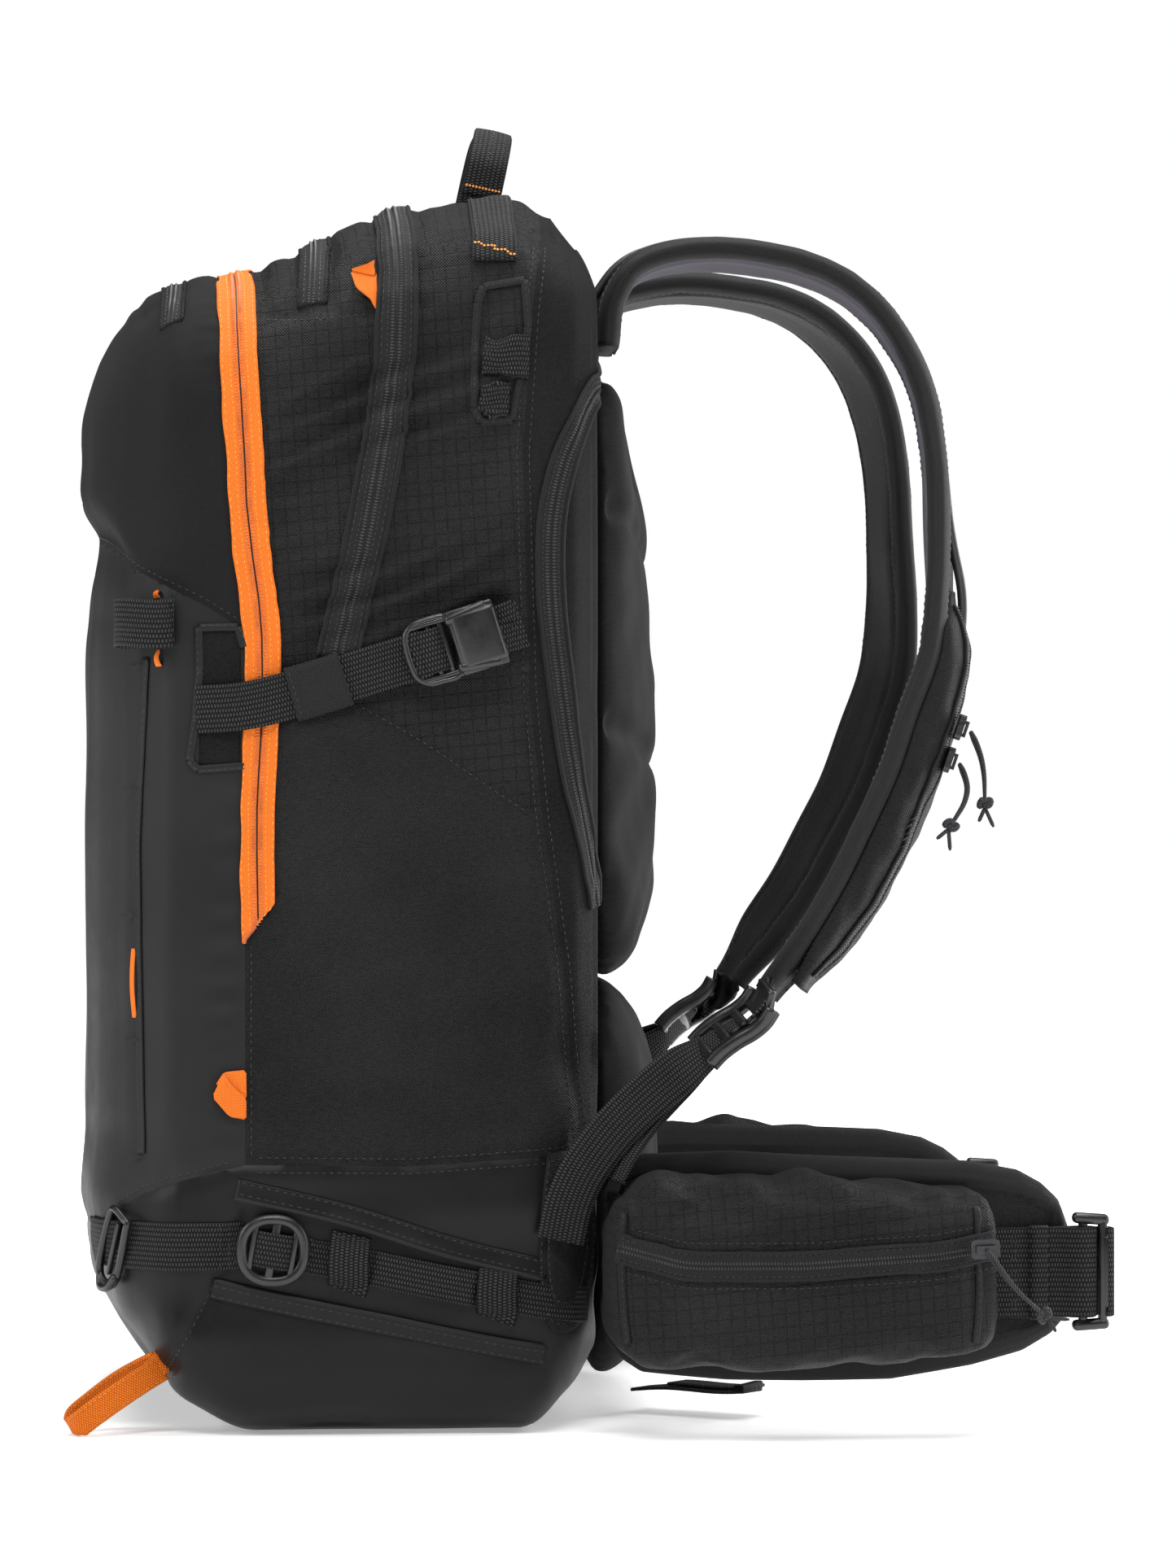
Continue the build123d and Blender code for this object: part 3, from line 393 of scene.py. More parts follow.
def unit(v):
    v = np.asarray(v, float)
    n = np.linalg.norm(v, axis=-1, keepdims=True)
    return v / np.maximum(n, 1e-9)


def tangents(pts):
    t = np.gradient(np.asarray(pts, float), axis=0)
    return unit(t)


def arc_len(pts):
    return np.concatenate([[0], np.cumsum(np.linalg.norm(np.diff(pts, axis=0), axis=1))])


def mirror_y(a):
    return np.asarray(a, float) * np.array([1, -1, 1])


def sweep(pts, normals, profile, closed=True, cap=True, scale=None):
    """Verts, faces, u, v of a profile [(across, up), ...] carried along a line. Across is normal x tangent."""
    pts, normals, profile = np.asarray(pts, float), unit(normals), np.asarray(profile, float)
    t = tangents(pts)
    normals = unit(normals - t * np.sum(normals * t, 1, keepdims=True))
    b = np.cross(normals, t)
    s = arc_len(pts)
    m = len(profile)
    verts, us, vs = [], [], []
    around = np.concatenate([[0], np.cumsum(np.linalg.norm(np.diff(profile, axis=0), axis=1))])
    for i in range(len(pts)):
        prof = profile if scale is None else profile * np.asarray(scale[i])
        verts.append(pts[i] + prof[:, :1] * b[i] + prof[:, 1:] * normals[i])
        us.append(np.full(m, s[i]))
        vs.append(prof[:, 0])
    verts = np.concatenate(verts)
    faces = []
    last = m if closed else m - 1
    for i in range(len(pts) - 1):
        for j in range(last):
            k = (j + 1) % m
            faces.append((i * m + j, i * m + k, (i + 1) * m + k, (i + 1) * m + j))
    if closed and cap:
        faces.append(tuple(range(m))[::-1])
        faces.append(tuple((len(pts) - 1) * m + j for j in range(m)))
    return verts, faces, np.concatenate(us), np.concatenate(vs)


def flat_profile(w, t, r=0.5, n=9):
    """A thin band's closed section, centred, with rounded edges."""
    top = [(x, t) for x in np.linspace(-w / 2 + r, w / 2 - r, n)]
    bot = [(x, 0.0) for x in np.linspace(w / 2 - r, -w / 2 + r, n)]
    return [(-w / 2, t * 0.5)] + top + [(w / 2, t * 0.5)] + bot


def join(parts):
    """Joins (verts, faces, u, v[, material index]) pieces into one."""
    vs, fs, us, ws, ms, base = [], [], [], [], [], 0
    for p in parts:
        v, f, u, w = p[:4]
        mi = p[4] if len(p) > 4 else 0
        vs.append(np.asarray(v, float))
        us.append(np.asarray(u, float))
        ws.append(np.asarray(w, float))
        fs += [tuple(i + base for i in face) for face in f]
        ms += list(mi) if hasattr(mi, "__len__") else [mi] * len(f)
        base += len(v)
    return np.concatenate(vs), fs, np.concatenate(us), np.concatenate(ws), ms


def piece(name, parts, body="pack", mats=("web",), replaces=(), smooth=True):
    v, f, u, w, m = join(parts)
    return make(name, v, f, body, mats, m, smooth, u, w, replaces)


def flip(part):
    """The mirror image of a piece across Y = 0."""
    v, f, u, w = part[:4]
    return (mirror_y(v), [tuple(x[::-1]) for x in f], u, w, *part[4:])


# ------------------------------------------------------------------ the bag's surface
BODY = np.array([
    (-215.0, 95.0, 440.0, 78.0, 40.0, 30.0),
    (-208.0, 62.0, 459.0, 104.0, 50.0, 34.0),
    (-194.0, 38.0, 477.0, 127.0, 58.0, 36.0),
    (-168.0, 12.0, 490.0, 145.0, 62.0, 34.0),
    (-140.0, 0.0, 495.0, 145.0, 64.0, 30.0),
    (-92.0, 0.0, 516.0, 145.0, 64.0, 30.0),
    (-60.0, 0.0, 526.0, 145.0, 64.0, 30.0),
    (-28.0, 0.0, 530.0, 145.0, 64.0, 30.0),
    (-8.0, 14.0, 526.0, 138.0, 60.0, 34.0),
    (5.0, 30.0, 506.0, 124.0, 52.0, 36.0),
])


def monotone(x, y, xs):
    """Monotone cubic interpolation, so that a flat stretch stays flat."""
    h = np.diff(x)
    d = np.diff(y) / h
    m = np.zeros(len(x))
    for i in range(1, len(x) - 1):
        if d[i - 1] * d[i] > 0:
            w1, w2 = 2 * h[i] + h[i - 1], h[i] + 2 * h[i - 1]
            m[i] = (w1 + w2) / (w1 / d[i - 1] + w2 / d[i])
    m[0], m[-1] = d[0], d[-1]
    i = np.clip(np.searchsorted(x, xs) - 1, 0, len(h) - 1)
    t = (xs - x[i]) / h[i]
    return (2 * t**3 - 3 * t**2 + 1) * y[i] + (t**3 - 2 * t**2 + t) * h[i] * m[i] + (-2 * t**3 + 3 * t**2) * y[i + 1] + (t**3 - t**2) * h[i] * m[i + 1]


def ring(zb, zt, w, rt, rb, n=48):
    """Rounded-rectangle ring in (y, z), n points a side, the same count at every station."""
    pts = []
    for cy, cz, r, a0 in ((w - rt, zt - rt, rt, 0), (-w + rt, zt - rt, rt, 90), (-w + rb, zb + rb, rb, 180), (w - rb, zb + rb, rb, 270)):
        for a in np.linspace(a0, a0 + 90, 14):
            pts.append((cy + r * math.cos(math.radians(a)), cz + r * math.sin(math.radians(a))))
    out = []
    for i in range(4):
        corner = pts[i * 14:(i + 1) * 14]
        out += corner
        nxt = pts[((i + 1) * 14) % 56]
        end = corner[-1]
        for k in range(1, n):
            f = k / n
            out.append((end[0] + (nxt[0] - end[0]) * f, end[1] + (nxt[1] - end[1]) * f))
    return np.array(out)


def build_bag():
    xs = np.concatenate([np.linspace(-215, -208, 7), np.linspace(-208, -168, 18)[1:], np.linspace(-168, -28, 44)[1:], np.linspace(-28, 5, 16)[1:]])
    cols = [monotone(BODY[:, 0], BODY[:, k], xs) for k in range(1, 6)]
    rings = [np.column_stack([np.full(len(r), x), r]) for x, r in ((x, ring(*(c[i] for c in cols))) for i, x in enumerate(xs))]
    m = len(rings[0])
    # crowned caps
    front, back = [], []
    c0 = np.array([0, 267.5])
    for s in np.linspace(0.94, 0.0, 12):
        r = rings[0].copy()
        r[:, 1:] = c0 + (r[:, 1:] - c0) * max(s, 0.004)
        r[:, 0] = -215 - 1.6 * (1 - s**2)
        front.append(r)
    c1 = np.array([0, 268.0])
    for s in np.linspace(0.95, 0.0, 10):
        r = rings[-1].copy()
        r[:, 1:] = c1 + (r[:, 1:] - c1) * max(s, 0.004)
        r[:, 0] = 5.0
        back.append(r)
    rings = front[::-1] + rings + back
    verts = np.concatenate(rings)
    faces = []
    for i in range(len(rings) - 1):
        for j in range(m):
            k = (j + 1) % m
            faces.append((i * m + j, (i + 1) * m + j, (i + 1) * m + k, i * m + k))
    faces.append(tuple(range(m)))
    faces.append(tuple((len(rings) - 1) * m + j for j in range(m))[::-1])
    return verts, faces


loft_v, loft_f = build_bag()


def remeshed(verts, faces, voxel, smooth=0):
    """A voxel remesh of a closed form, with even quads."""
    me = bpy.data.meshes.new("work")
    me.from_pydata(np.asarray(verts, float).tolist(), [], [tuple(int(i) for i in f) for f in faces])
    me.update()
    ob = bpy.data.objects.new("work", me)
    scene.collection.objects.link(ob)
    mod = ob.modifiers.new("r", "REMESH")
    mod.mode = "VOXEL"
    mod.voxel_size = voxel
    mod.adaptivity = 0.0
    dg = bpy.context.evaluated_depsgraph_get()
    res = bpy.data.meshes.new_from_object(ob.evaluated_get(dg))
    v = np.zeros(len(res.vertices) * 3)
    res.vertices.foreach_get("co", v)
    v = v.reshape(-1, 3)
    f = [tuple(p.vertices) for p in res.polygons]
    bpy.data.objects.remove(ob)
    bpy.data.meshes.remove(me)
    bpy.data.meshes.remove(res)
    return v, f


def project(verts, tree):
    out = np.array(verts)
    for i, p in enumerate(verts):
        q = tree.find_nearest(Vector(p))[0]
        if q is not None:
            out[i] = q
    return out


# seam lines, each a ruled surface through the bag across Y
def x_zip(z):
    return interp(z, [110, 207, 216, 240, 274, 305, 335, 350, 369, 390, 410, 451, 483, 500], [-144, -144, -142.6, -140.0, -138.5, -136.6, -137.0, -138.3, -141.0, -143.4, -144.2, -146.7, -148.0, -148.5])


def x_burst(z):
    return interp(z, [325, 342, 380, 417, 451, 489, 510, 525], [-105.5, -102, -93, -86, -81.5, -80, -81, -82])


def z_dome(x):
    return interp(x, [-216, -206, -198.5, -190, -176.5, -160, -144, -130], [380, 376, 371, 362.5, 355, 347, 337, 330])


def z_boot(x):
    return interp(x, [-216, -208, -202, -188, -176.5, -144, -76, -15, 5], [84, 87, 91, 101, 106, 114, 113, 117, 118])


def x_gusset(z):
    return interp(z, [100, 117, 148, 199, 260, 312, 411, 470, 530], [-1, -2, -6, -11, -20, -25, -28, -24, -16])


def x_front_corner(z):
    return interp(z, [100, 115, 250, 328, 345], [-187, -188, -190, -186, -186])


def cut(bm, values, eps=0.12):
    """Cuts a mesh along the line where values (one a vertex) is zero. The values stay on the vertices in a float layer
    named f, zero at the new ones.
    """
    layer = bm.verts.layers.float.get("f") or bm.verts.layers.float.new("f")
    for v, s in zip(bm.verts, values):
        v[layer] = s
    edges = []
    for e in bm.edges:
        a, b = e.verts[0][layer], e.verts[1][layer]
        if a * b < 0 and min(abs(a), abs(b)) > eps:
            edges.append(e)
        elif a * b < 0:
            near = e.verts[0] if abs(a) < abs(b) else e.verts[1]
            near[layer] = 0.0
    for e in edges:
        a, b = e.verts[0][layer], e.verts[1][layer]
        if a * b < 0:
            start = e.verts[0]
            _, v = bmesh.utils.edge_split(e, start, a / (a - b))
            v[layer] = 0.0
    bm.verts.index_update()
    for f in list(bm.faces):
        zero = [v for v in f.verts if v[layer] == 0.0]
        if len(zero) == 2 and not any(e.verts[0] in zero and e.verts[1] in zero for e in f.edges):
            signs = {v[layer] > 0 for v in f.verts if v[layer] != 0.0}
            if len(signs) == 2:
                bmesh.utils.face_split(f, zero[0], zero[1])


def waves(p, scale, seed, n=10, stretch=(1, 1, 1)):
    """Smooth noise about -1 to 1: a sum of sine waves of about scale mm."""
    g = np.random.default_rng(seed)
    q = np.asarray(p, float) * np.asarray(stretch, float)
    out = np.zeros(len(q))
    for _ in range(n):
        k = unit(g.normal(size=3)) * (2 * math.pi / (scale * g.uniform(0.7, 1.6)))
        out += np.sin(q @ k + g.uniform(0, 2 * math.pi))
    return out / math.sqrt(n) * 0.9


def bell(d, width):
    return np.exp(-((d / width) ** 2))


def step01(t, a, b):
    s = np.clip((t - a) / (b - a), 0, 1)
    return s * s * (3 - 2 * s)


def line_dist(x, z, pts):
    """Distance in the side view to a polyline."""
    best = np.full(len(x), 1e9)
    for (ax, az), (bx, bz) in zip(pts, pts[1:]):
        dx, dz = bx - ax, bz - az
        t = np.clip(((x - ax) * dx + (z - az) * dz) / (dx * dx + dz * dz), 0, 1)
        best = np.minimum(best, np.hypot(x - ax - t * dx, z - az - t * dz))
    return best


VOX = 2.4
bag_v, bag_f = remeshed(loft_v, loft_f, VOX)
loft_tree = tree_of(loft_v, loft_f)
bag_v = project(bag_v, loft_tree)

bm = bmesh.new()
bv = [bm.verts.new(p) for p in bag_v]
for f in bag_f:
    bm.faces.new([bv[i] for i in f])
for fn in (
    lambda c: np.where(c[:, 2] > 100, c[:, 0] - x_zip(c[:, 2]), c[:, 0] + 144.0),
    lambda c: c[:, 2] - z_boot(c[:, 0]),
    lambda c: c[:, 2] - z_dome(c[:, 0]),
    lambda c: c[:, 0] - x_gusset(c[:, 2]),
):
    bm.verts.index_update()
    cut(bm, fn(np.array([v.co[:] for v in bm.verts])))
bm.normal_update()
bm.verts.index_update()
base_co = np.array([v.co[:] for v in bm.verts])
base_no = np.array([v.normal[:] for v in bm.verts])


def bag_shape(c, nrm):
    """How far each point of the bag stands off the loft: seams, folds, crowns and soft creases."""
    x, y, z = c[:, 0], c[:, 1], c[:, 2]
    side = step01(np.abs(nrm[:, 1]), 0.45, 0.85)
    front = step01(-nrm[:, 0], 0.45, 0.85)
    top = step01(nrm[:, 2], 0.35, 0.75)
    ahead = x < x_zip(z)
    clear = step01(x_zip(z) - x, 4, 26)
    d = np.zeros(len(c))
    # front zip and the panel seam below it
    dz_ = np.abs(x - x_zip(z))
    up = step01(z, 112, 120)
    d -= up * 1.5 * bell(dz_, 9.0)
    # dome seam: the dome stands over the lower front
    f = z - z_dome(x)
    along_front = step01(-x, 186, 212)
    depth = 1.8 + 7.0 * along_front
    wide = np.where(f > 0, 5.0 + 5.0 * along_front, 7.0 + 17.0 * along_front)
    d -= step01(x_zip(z) - x, 0, 14) * depth * bell(f * 0.9, wide)
    d += clear * 1.6 * bell(f - 42, 30)
    # boot seam, gusset seam, side overlay slit
    d -= 1.3 * bell(z - z_boot(x), 4.0) * (1 - 0.3 * front)
    d -= 1.6 * side * bell(x - x_gusset(z), 5.0)
    zs = step01(z, 112, 122) * step01(-z, -334, -322)
    slit = np.abs(x - x_front_corner(z))
    d -= 1.5 * zs * bell(slit, 2.2) * (1 - front)
    # top: scalloped between the zips that cross it
    high = step01(z, 462, 478)
    for xc, dep, w in ((-155.0, 1.6, 3.2), (-138.0, 2.4, 3.6), (-124.0, 2.2, 3.2), (-109.0, 2.2, 3.2), (-90.0, 2.6, 3.4), (-71.0, 2.0, 3.6), (-172.0, 1.6, 3.0), (-190.0, 1.6, 3.0)):
        d -= high * dep * bell(x - xc, w)
    d -= 1.0 * side * bell(z - 470.0, 2.6) * step01(x, -138, -134) * step01(-x, 88, 92)
    d -= np.where(ahead, 1.0 * bell(line_dist(x, z, [(-204, 463), (-195, 470), (-178, 479), (-161, 488), (-150, 491)]), 2.6), 0) * (1 - front)
    # side seams
    d -= 1.0 * side * bell(line_dist(x, z, [(-105, 313), (-97, 308), (-70, 293), (-42, 274), (-24, 262)]), 2.8)
    d -= 1.6 * side * bell(line_dist(x, z, [(-144, 94), (-160, 57), (-176.5, 26), (-182, 16)]), 3.2)
    d -= 0.9 * (1 - side) * bell(line_dist(x, z, [(-144, 94), (-160, 57), (-176.5, 26), (-182, 16)]), 3.2) * (np.abs(y) > 95)
    # crowns between the seams
    d += 1.1 * side * step01(dz_, 8, 34) * step01(z - z_boot(x), 6, 40)
    d += 0.9 * side * step01(z_boot(x) - z, 5, 40) * step01(z, 8, 30)
    # soft creases
    a = math.radians(24)
    q = np.column_stack([(x * math.cos(a) + z * math.sin(a)) / 5.2, y * 0.15, -x * math.sin(a) + z * math.cos(a)])
    n1 = waves(q, 26, 1, 12)
    upper = side * step01(z, 318, 350) * step01(-z, -500, -470) * step01(dz_, 3, 22) * (~ahead)
    d += upper * (2.3 * n1 + 0.8 * waves(q, 13, 15, 12)) * step01(x_gusset(z) - x, 2, 20)
    across = -x * math.sin(a) + z * math.cos(a)
    patch_ = np.clip(0.5 + 0.75 * waves(np.column_stack([q[:, 0] * 2.2, y * 0.1, across]), 62, 16), 0, 1.2)
    fold_ = np.sin(2 * math.pi * (across + 3.4 * waves(np.column_stack([x, y * 0.1, z]), 74, 17)) / 13.5)
    d += upper * patch_ * (1.25 * fold_ + 0.45 * fold_ * np.abs(fold_)) * step01(x_gusset(z) - x, 2, 16)
    q2 = np.column_stack([x / 3.4, y * 0.3, z])
    d += side * (~ahead) * step01(dz_, 2, 16) * step01(-z, -335, -300) * step01(z - z_boot(x), 0, 20) * (1.9 * waves(q2, 46, 2) + 0.8 * waves(q2, 17, 3))
    d += 0.55 * waves(c, 75, 4) * (1 - top * 0.5)
    d += np.where(z < z_boot(x), 0.95 * waves(c, 38, 5, stretch=(0.6, 1, 1)), 0)
    # puckers along the zips and seams
    pk = waves(np.column_stack([x * 0.2, y, z]), 9.0, 6)
    d += 0.34 * pk * bell(dz_ - 9.5, 6.0) * up
    db = np.abs(x - x_burst(z))
    d += 0.4 * pk * bell(db - 10, 6.0) * step01(z, 330, 345)
    d += 0.3 * waves(np.column_stack([x, y, z * 0.2]), 8.0, 7) * bell(z - z_boot(x) - 5, 6)
    # front face: broad tension folds down from the dome
    q3 = np.column_stack([x, y, z / 3.0])
    d += front * (f < 0) * 0.9 * waves(q3, 60, 8) * step01(-f, 4, 30)
    # dome: fullness and a soft dent
    d += np.where(f > 0, clear * 0.7 * waves(c, 52, 9), 0)
    # top behind the zips
    d += top * step01(x, -72, -60) * 0.9 * waves(c, 44, 10)
    d += top * 0.5 * waves(np.column_stack([x * 2.4, y, z]), 30, 12)
    # the front sits back a little between its seams, and the top slopes down to the back
    d -= front * 3.1 * step01(z, 96, 130) * step01(-z, -366, -340)
    d -= front * 2.8 * step01(z, 392, 415)
    d -= 5.2 * step01(x, -34, -8) * step01(z, 478, 505)
    d -= 5.0 * step01(x, -88, -48) * step01(z, 494, 522)
    # the back face lies flat behind the pads, and the base rests flat
    d = np.where(x > 2.0, np.minimum(d, 0.0), d)
    d *= np.where((z < 3.0) & (nrm[:, 2] < -0.7), 0.15, 1.0)
    return d


disp = bag_shape(base_co, base_no)
bag_co = base_co + base_no * disp[:, None]
bag_co[:, 2] = np.maximum(bag_co[:, 2], 0.0)
bag_co[:, 0] = np.minimum(bag_co[:, 0], 5.2)
for v, p in zip(bm.verts, bag_co):
    v.co = p
bm.normal_update()
bag_faces = [tuple(v.index for v in f.verts) for f in bm.faces]
cent = np.array([f.calc_center_median()[:] for f in bm.faces])
bm.free()
skin = tree_of(bag_co, bag_faces)

cx, cz = cent[:, 0], cent[:, 2]
is_boot = cz < z_boot(cx)
is_front = ~is_boot & (cx < np.where(cz > 100, x_zip(cz), -144))
is_dome = is_front & (cz > z_dome(cx))
is_gusset = ~is_boot & ~is_front & (cx > x_gusset(cz))


def panel(name, chosen, mats, face_mat, node):
    ids = np.flatnonzero(chosen)
    used = np.unique(np.concatenate([np.array(bag_faces[i]) for i in ids]))
    remap = -np.ones(len(bag_co), int)
    remap[used] = np.arange(len(used))
    faces = [tuple(remap[list(bag_faces[i])]) for i in ids]
    return make(name, bag_co[used], faces, "pack", mats, face_mat[ids], replaces=(node,) if node else ())


fm = np.zeros(len(cent), int)
panel("boot_panels", is_boot, ("base",), fm, "base_boot")
panel("front_panels", is_front, ("coated", "dome"), np.where(is_dome, 1, 0), "front_compartment")
upper_side = cz > 262 + (-cx - 24) * 0.6
panel("main_panels", ~is_boot & ~is_front, ("twill", "ripstop", "lining"), np.where(is_gusset, 2, np.where(upper_side, 1, 0)), "main_compartment")


# ------------------------------------------------------------------ pull cords: doubled cord, knotted
def tube(line, r, sides=8):
    line = np.asarray(line, float)
    t = tangents(line)
    n = np.zeros_like(line)
    ref = np.array([0.3, 0.9, 0.2])
    for i in range(len(line)):
        ref = unit(ref - t[i] * (ref @ t[i]))
        n[i] = ref
    prof = [(r * math.cos(a), r * math.sin(a)) for a in np.linspace(0, 2 * math.pi, sides, endpoint=False)]
    rr = np.ones(len(line))
    rr[0] = rr[-1] = 0.6
    v, f, u, w = sweep(line, n, prof, scale=rr)
    ang = np.tile(np.arange(sides) * (2 * math.pi * r / sides), len(line))
    return v, f, u, ang


def pull_cord(name, body, node, route, tail=(0, 0, -1), knot_size=1.0):
    cu = bpy.data.curves.new(name + "_route", "CURVE")
    cu.dimensions = "3D"
    cu.resolution_u = 12
    s = cu.splines.new("NURBS")
    s.points.add(len(route) - 1)
    for p, q in zip(s.points, route):
        p.co = (*q, 1.0)
    s.order_u = 3
    s.use_endpoint_u = True
    s.resolution_u = 12
    tmp = bpy.data.objects.new(name + "_route", cu)
    me = bpy.data.meshes.new_from_object(tmp)
    line = np.array([v.co[:] for v in me.vertices]) * 1000
    bpy.data.meshes.remove(me)
    bpy.data.curves.remove(cu)
    fine = resample(line, 0.7)
    t = tangents(fine)
    a = unit(np.cross(t, [0.2, 1.0, 0.1]))
    b = np.cross(t, a)
    s_ = arc_len(fine)
    gap = 0.25 + 0.6 * step01(s_, 0, 5) - 0.1 * step01(s_, s_[-1] - 4, s_[-1])
    th = 0.5 + s_ * 0.035
    strands = []
    for k in (1, -1):
        off = a * (np.cos(th) * gap * k)[:, None] + b * (np.sin(th) * gap * k)[:, None]
        strands.append(tube(fine + off, 0.82))
    cord_ = piece(name, strands, body, ("cord",), (node,))
    end, d = fine[-1], t[-1]
    side1 = unit(np.cross(d, [0, 1, 0]))
    side2 = np.cross(d, side1)
    k = np.linspace(0, 2 * math.pi, 49)
    tre = np.column_stack([np.sin(k) + 2 * np.sin(2 * k), np.cos(k) - 2 * np.cos(2 * k), -np.sin(3 * k)]) * 0.92 * knot_size
    knot = end + tre[:, :1] * side1 + tre[:, 1:2] * side2 * 0.7 + tre[:, 2:] * d * 1.5
    parts = [tube(knot, 1.25 * knot_size, 8)]
    core = end + np.array([[0, 0, 0]]) + np.linspace(-2.2, 2.2, 6)[:, None] * d
    parts.append(tube(core, 1.9 * knot_size, 8))
    for sgn, long in ((1, 9.0), (-1, 6.5)):
        q = np.linspace(0, 1, 7)[:, None]
        tl = end + d * 2.0 + q * unit(np.array(tail, float) + side1 * sgn * 0.45) * long * knot_size
        parts.append(tube(tl, 0.85, 8))
    kn = piece(name + "_knot", parts, body, ("cord",))


pull_cord("upper_pull", "strap_zip_upper", "strap_zip_cord_upper",
          [(0.164187, -0.122, 0.295498), (0.167787, -0.124, 0.287498), (0.169787, -0.1246, 0.277498), (0.169987, -0.1244, 0.267498), (0.17004, -0.12435, 0.2649)])
pull_cord("lower_pull", "strap_zip_lower", "strap_zip_cord_lower",
          [(0.159387, -0.122, 0.281698), (0.162387, -0.1275, 0.274198), (0.160987, -0.131, 0.265698), (0.155787, -0.132, 0.257698), (0.15438, -0.13227, 0.25553)], (-0.3, 0, -0.8))
pull_cord("belt_pull", "belt_zip_right", "belt_zip_cord_right",
          [(0.160, -0.1967, 0.0815), (0.1655, -0.1989, 0.073), (0.173, -0.1991, 0.064), (0.1815, -0.1983, 0.0565), (0.18344, -0.19812, 0.05478)], (0.75, 0, -0.4))


# ------------------------------------------------------------------ bands and stitches on a surface
def near(p, tree):
    q, n, _, _ = tree.find_nearest(Vector(p))
    return q[:], n[:]


class Band:
    """A strip of width w and thickness t that follows a surface along a line. Offsets run across it."""

    def __init__(self, pts, w, t, lift=0.25, n=7, tree=None, taut=0, edge=0.6, lo=None, hi=None, smooth=4, end=True, lifts=None):
        tree = tree or skin
        pts = np.asarray(pts, float)
        hit = [near(p, tree) for p in pts]
        q = np.array([h[0] for h in hit])
        nn = unit(smooth_line(np.array([h[1] for h in hit]), smooth))
        tt = tangents(q)
        b = unit(np.cross(nn, tt))
        self.offs = np.concatenate([[-w / 2], np.linspace(-w / 2 + edge, w / 2 - edge, n), [w / 2]])
        m = len(self.offs)
        grid = np.zeros((len(q), m, 3))
        for i in range(len(q)):
            o = self.offs.copy()
            if lo is not None:
                o = np.maximum(o, lo[i])
            if hi is not None:
                o = np.minimum(o, hi[i])
            for j in range(m):
                grid[i, j] = near(q[i] + b[i] * o[j], tree)[0]
        extra = lift if lifts is None else lift + np.asarray(lifts)[:, None, None]
        grid = grid + nn[:, None, :] * extra
        for _ in range(taut):
            grid[1:-1] = 0.25 * grid[:-2] + 0.5 * grid[1:-1] + 0.25 * grid[2:]
        if taut:
            for i in range(len(q)):
                for j in range(m):
                    s, sn = near(grid[i, j], tree)
                    d = np.dot(grid[i, j] - np.array(s), nn[i])
                    if d < lift:
                        grid[i, j] += nn[i] * (lift - d)
        self.grid, self.nn, self.b, self.t, self.w = grid, nn, b, t, w
        self.tt = tangents(grid[:, m // 2])
        self.u = arc_len(grid[:, m // 2])

    def part(self, mat=0):
        g, nn, t = self.grid, self.nn, self.t
        k, m = g.shape[:2]
        h = np.full(m, t)
        h[0] = h[-1] = t * 0.5
        top = g + nn[:, None, :] * h[None, :, None]
        low = g[:, 1:-1][:, ::-1] - nn[:, None, :] * 0.2
        ring_ = np.concatenate([top, low], axis=1)
        r = ring_.shape[1]
        verts = ring_.reshape(-1, 3)
        faces = []
        for i in range(k - 1):
            for j in range(r):
                jj = (j + 1) % r
                faces.append((i * r + j, (i + 1) * r + j, (i + 1) * r + jj, i * r + jj))
        faces.append(tuple(range(r)))
        faces.append(tuple((k - 1) * r + j for j in range(r))[::-1])
        u = np.repeat(self.u, r)
        v = np.tile(np.concatenate([self.offs, self.offs[1:-1][::-1]]), k)
        return verts, faces, u, v, mat

    def row(self, off, height=None):
        """The line at one offset, on the band's top."""
        g = self.grid
        out = np.stack([[np.interp(off, self.offs, g[i, :, c]) for c in range(3)] for i in range(len(g))])
        return out + self.nn * (self.t if height is None else height)

    def cross(self, i, height=None, inset=1.0):
        """The line across the band at index i."""
        g = self.grid[i, 1:-1]
        return g + self.nn[i] * (self.t if height is None else height), np.repeat(self.nn[i][None], len(g), 0)


def beads(centres, along, across, up, la, lb, lc, sink=0.25):
    """Small smooth lozenges: half sizes la along, lb across, lc up."""
    c, a, b, n = (np.asarray(x, float) for x in (centres, along, across, up))
    k = len(c)
    v = np.concatenate([c + a * la, c + b * lb, c - a * la, c - b * lb, c + n * lc, c - n * sink])
    f = []
    for i in range(k):
        p = [i, i + k, i + 2 * k, i + 3 * k]
        for j in range(4):
            f.append((p[j], p[(j + 1) % 4], i + 4 * k))
    return v, f, np.zeros(len(v)), np.zeros(len(v))


def stitches(line, normals, length=2.3, gap=1.1, width=0.55, height=0.4, mat=0):
    line, normals = np.asarray(line, float), np.asarray(normals, float)
    s = arc_len(line)
    if s[-1] < length:
        return beads(line[:0], line[:0], line[:0], line[:0], 1, 1, 1)
    k = max(1, int((s[-1] - length) / (length + gap)) + 1)
    at = length / 2 + np.arange(k) * (length + gap) + (s[-1] - (k * (length + gap) - gap)) / 2
    c = np.stack([np.interp(at, s, line[:, j]) for j in range(3)], 1)
    n = unit(np.stack([np.interp(at, s, normals[:, j]) for j in range(3)], 1))
    t = unit(np.stack([np.interp(at + 0.5, s, line[:, j]) - np.interp(at - 0.5, s, line[:, j]) for j in range(3)], 1))
    b = np.cross(n, t)
    v, f, u, w = beads(c, t, b, n, length / 2, width / 2, height)
    return v, f, u, w, mat


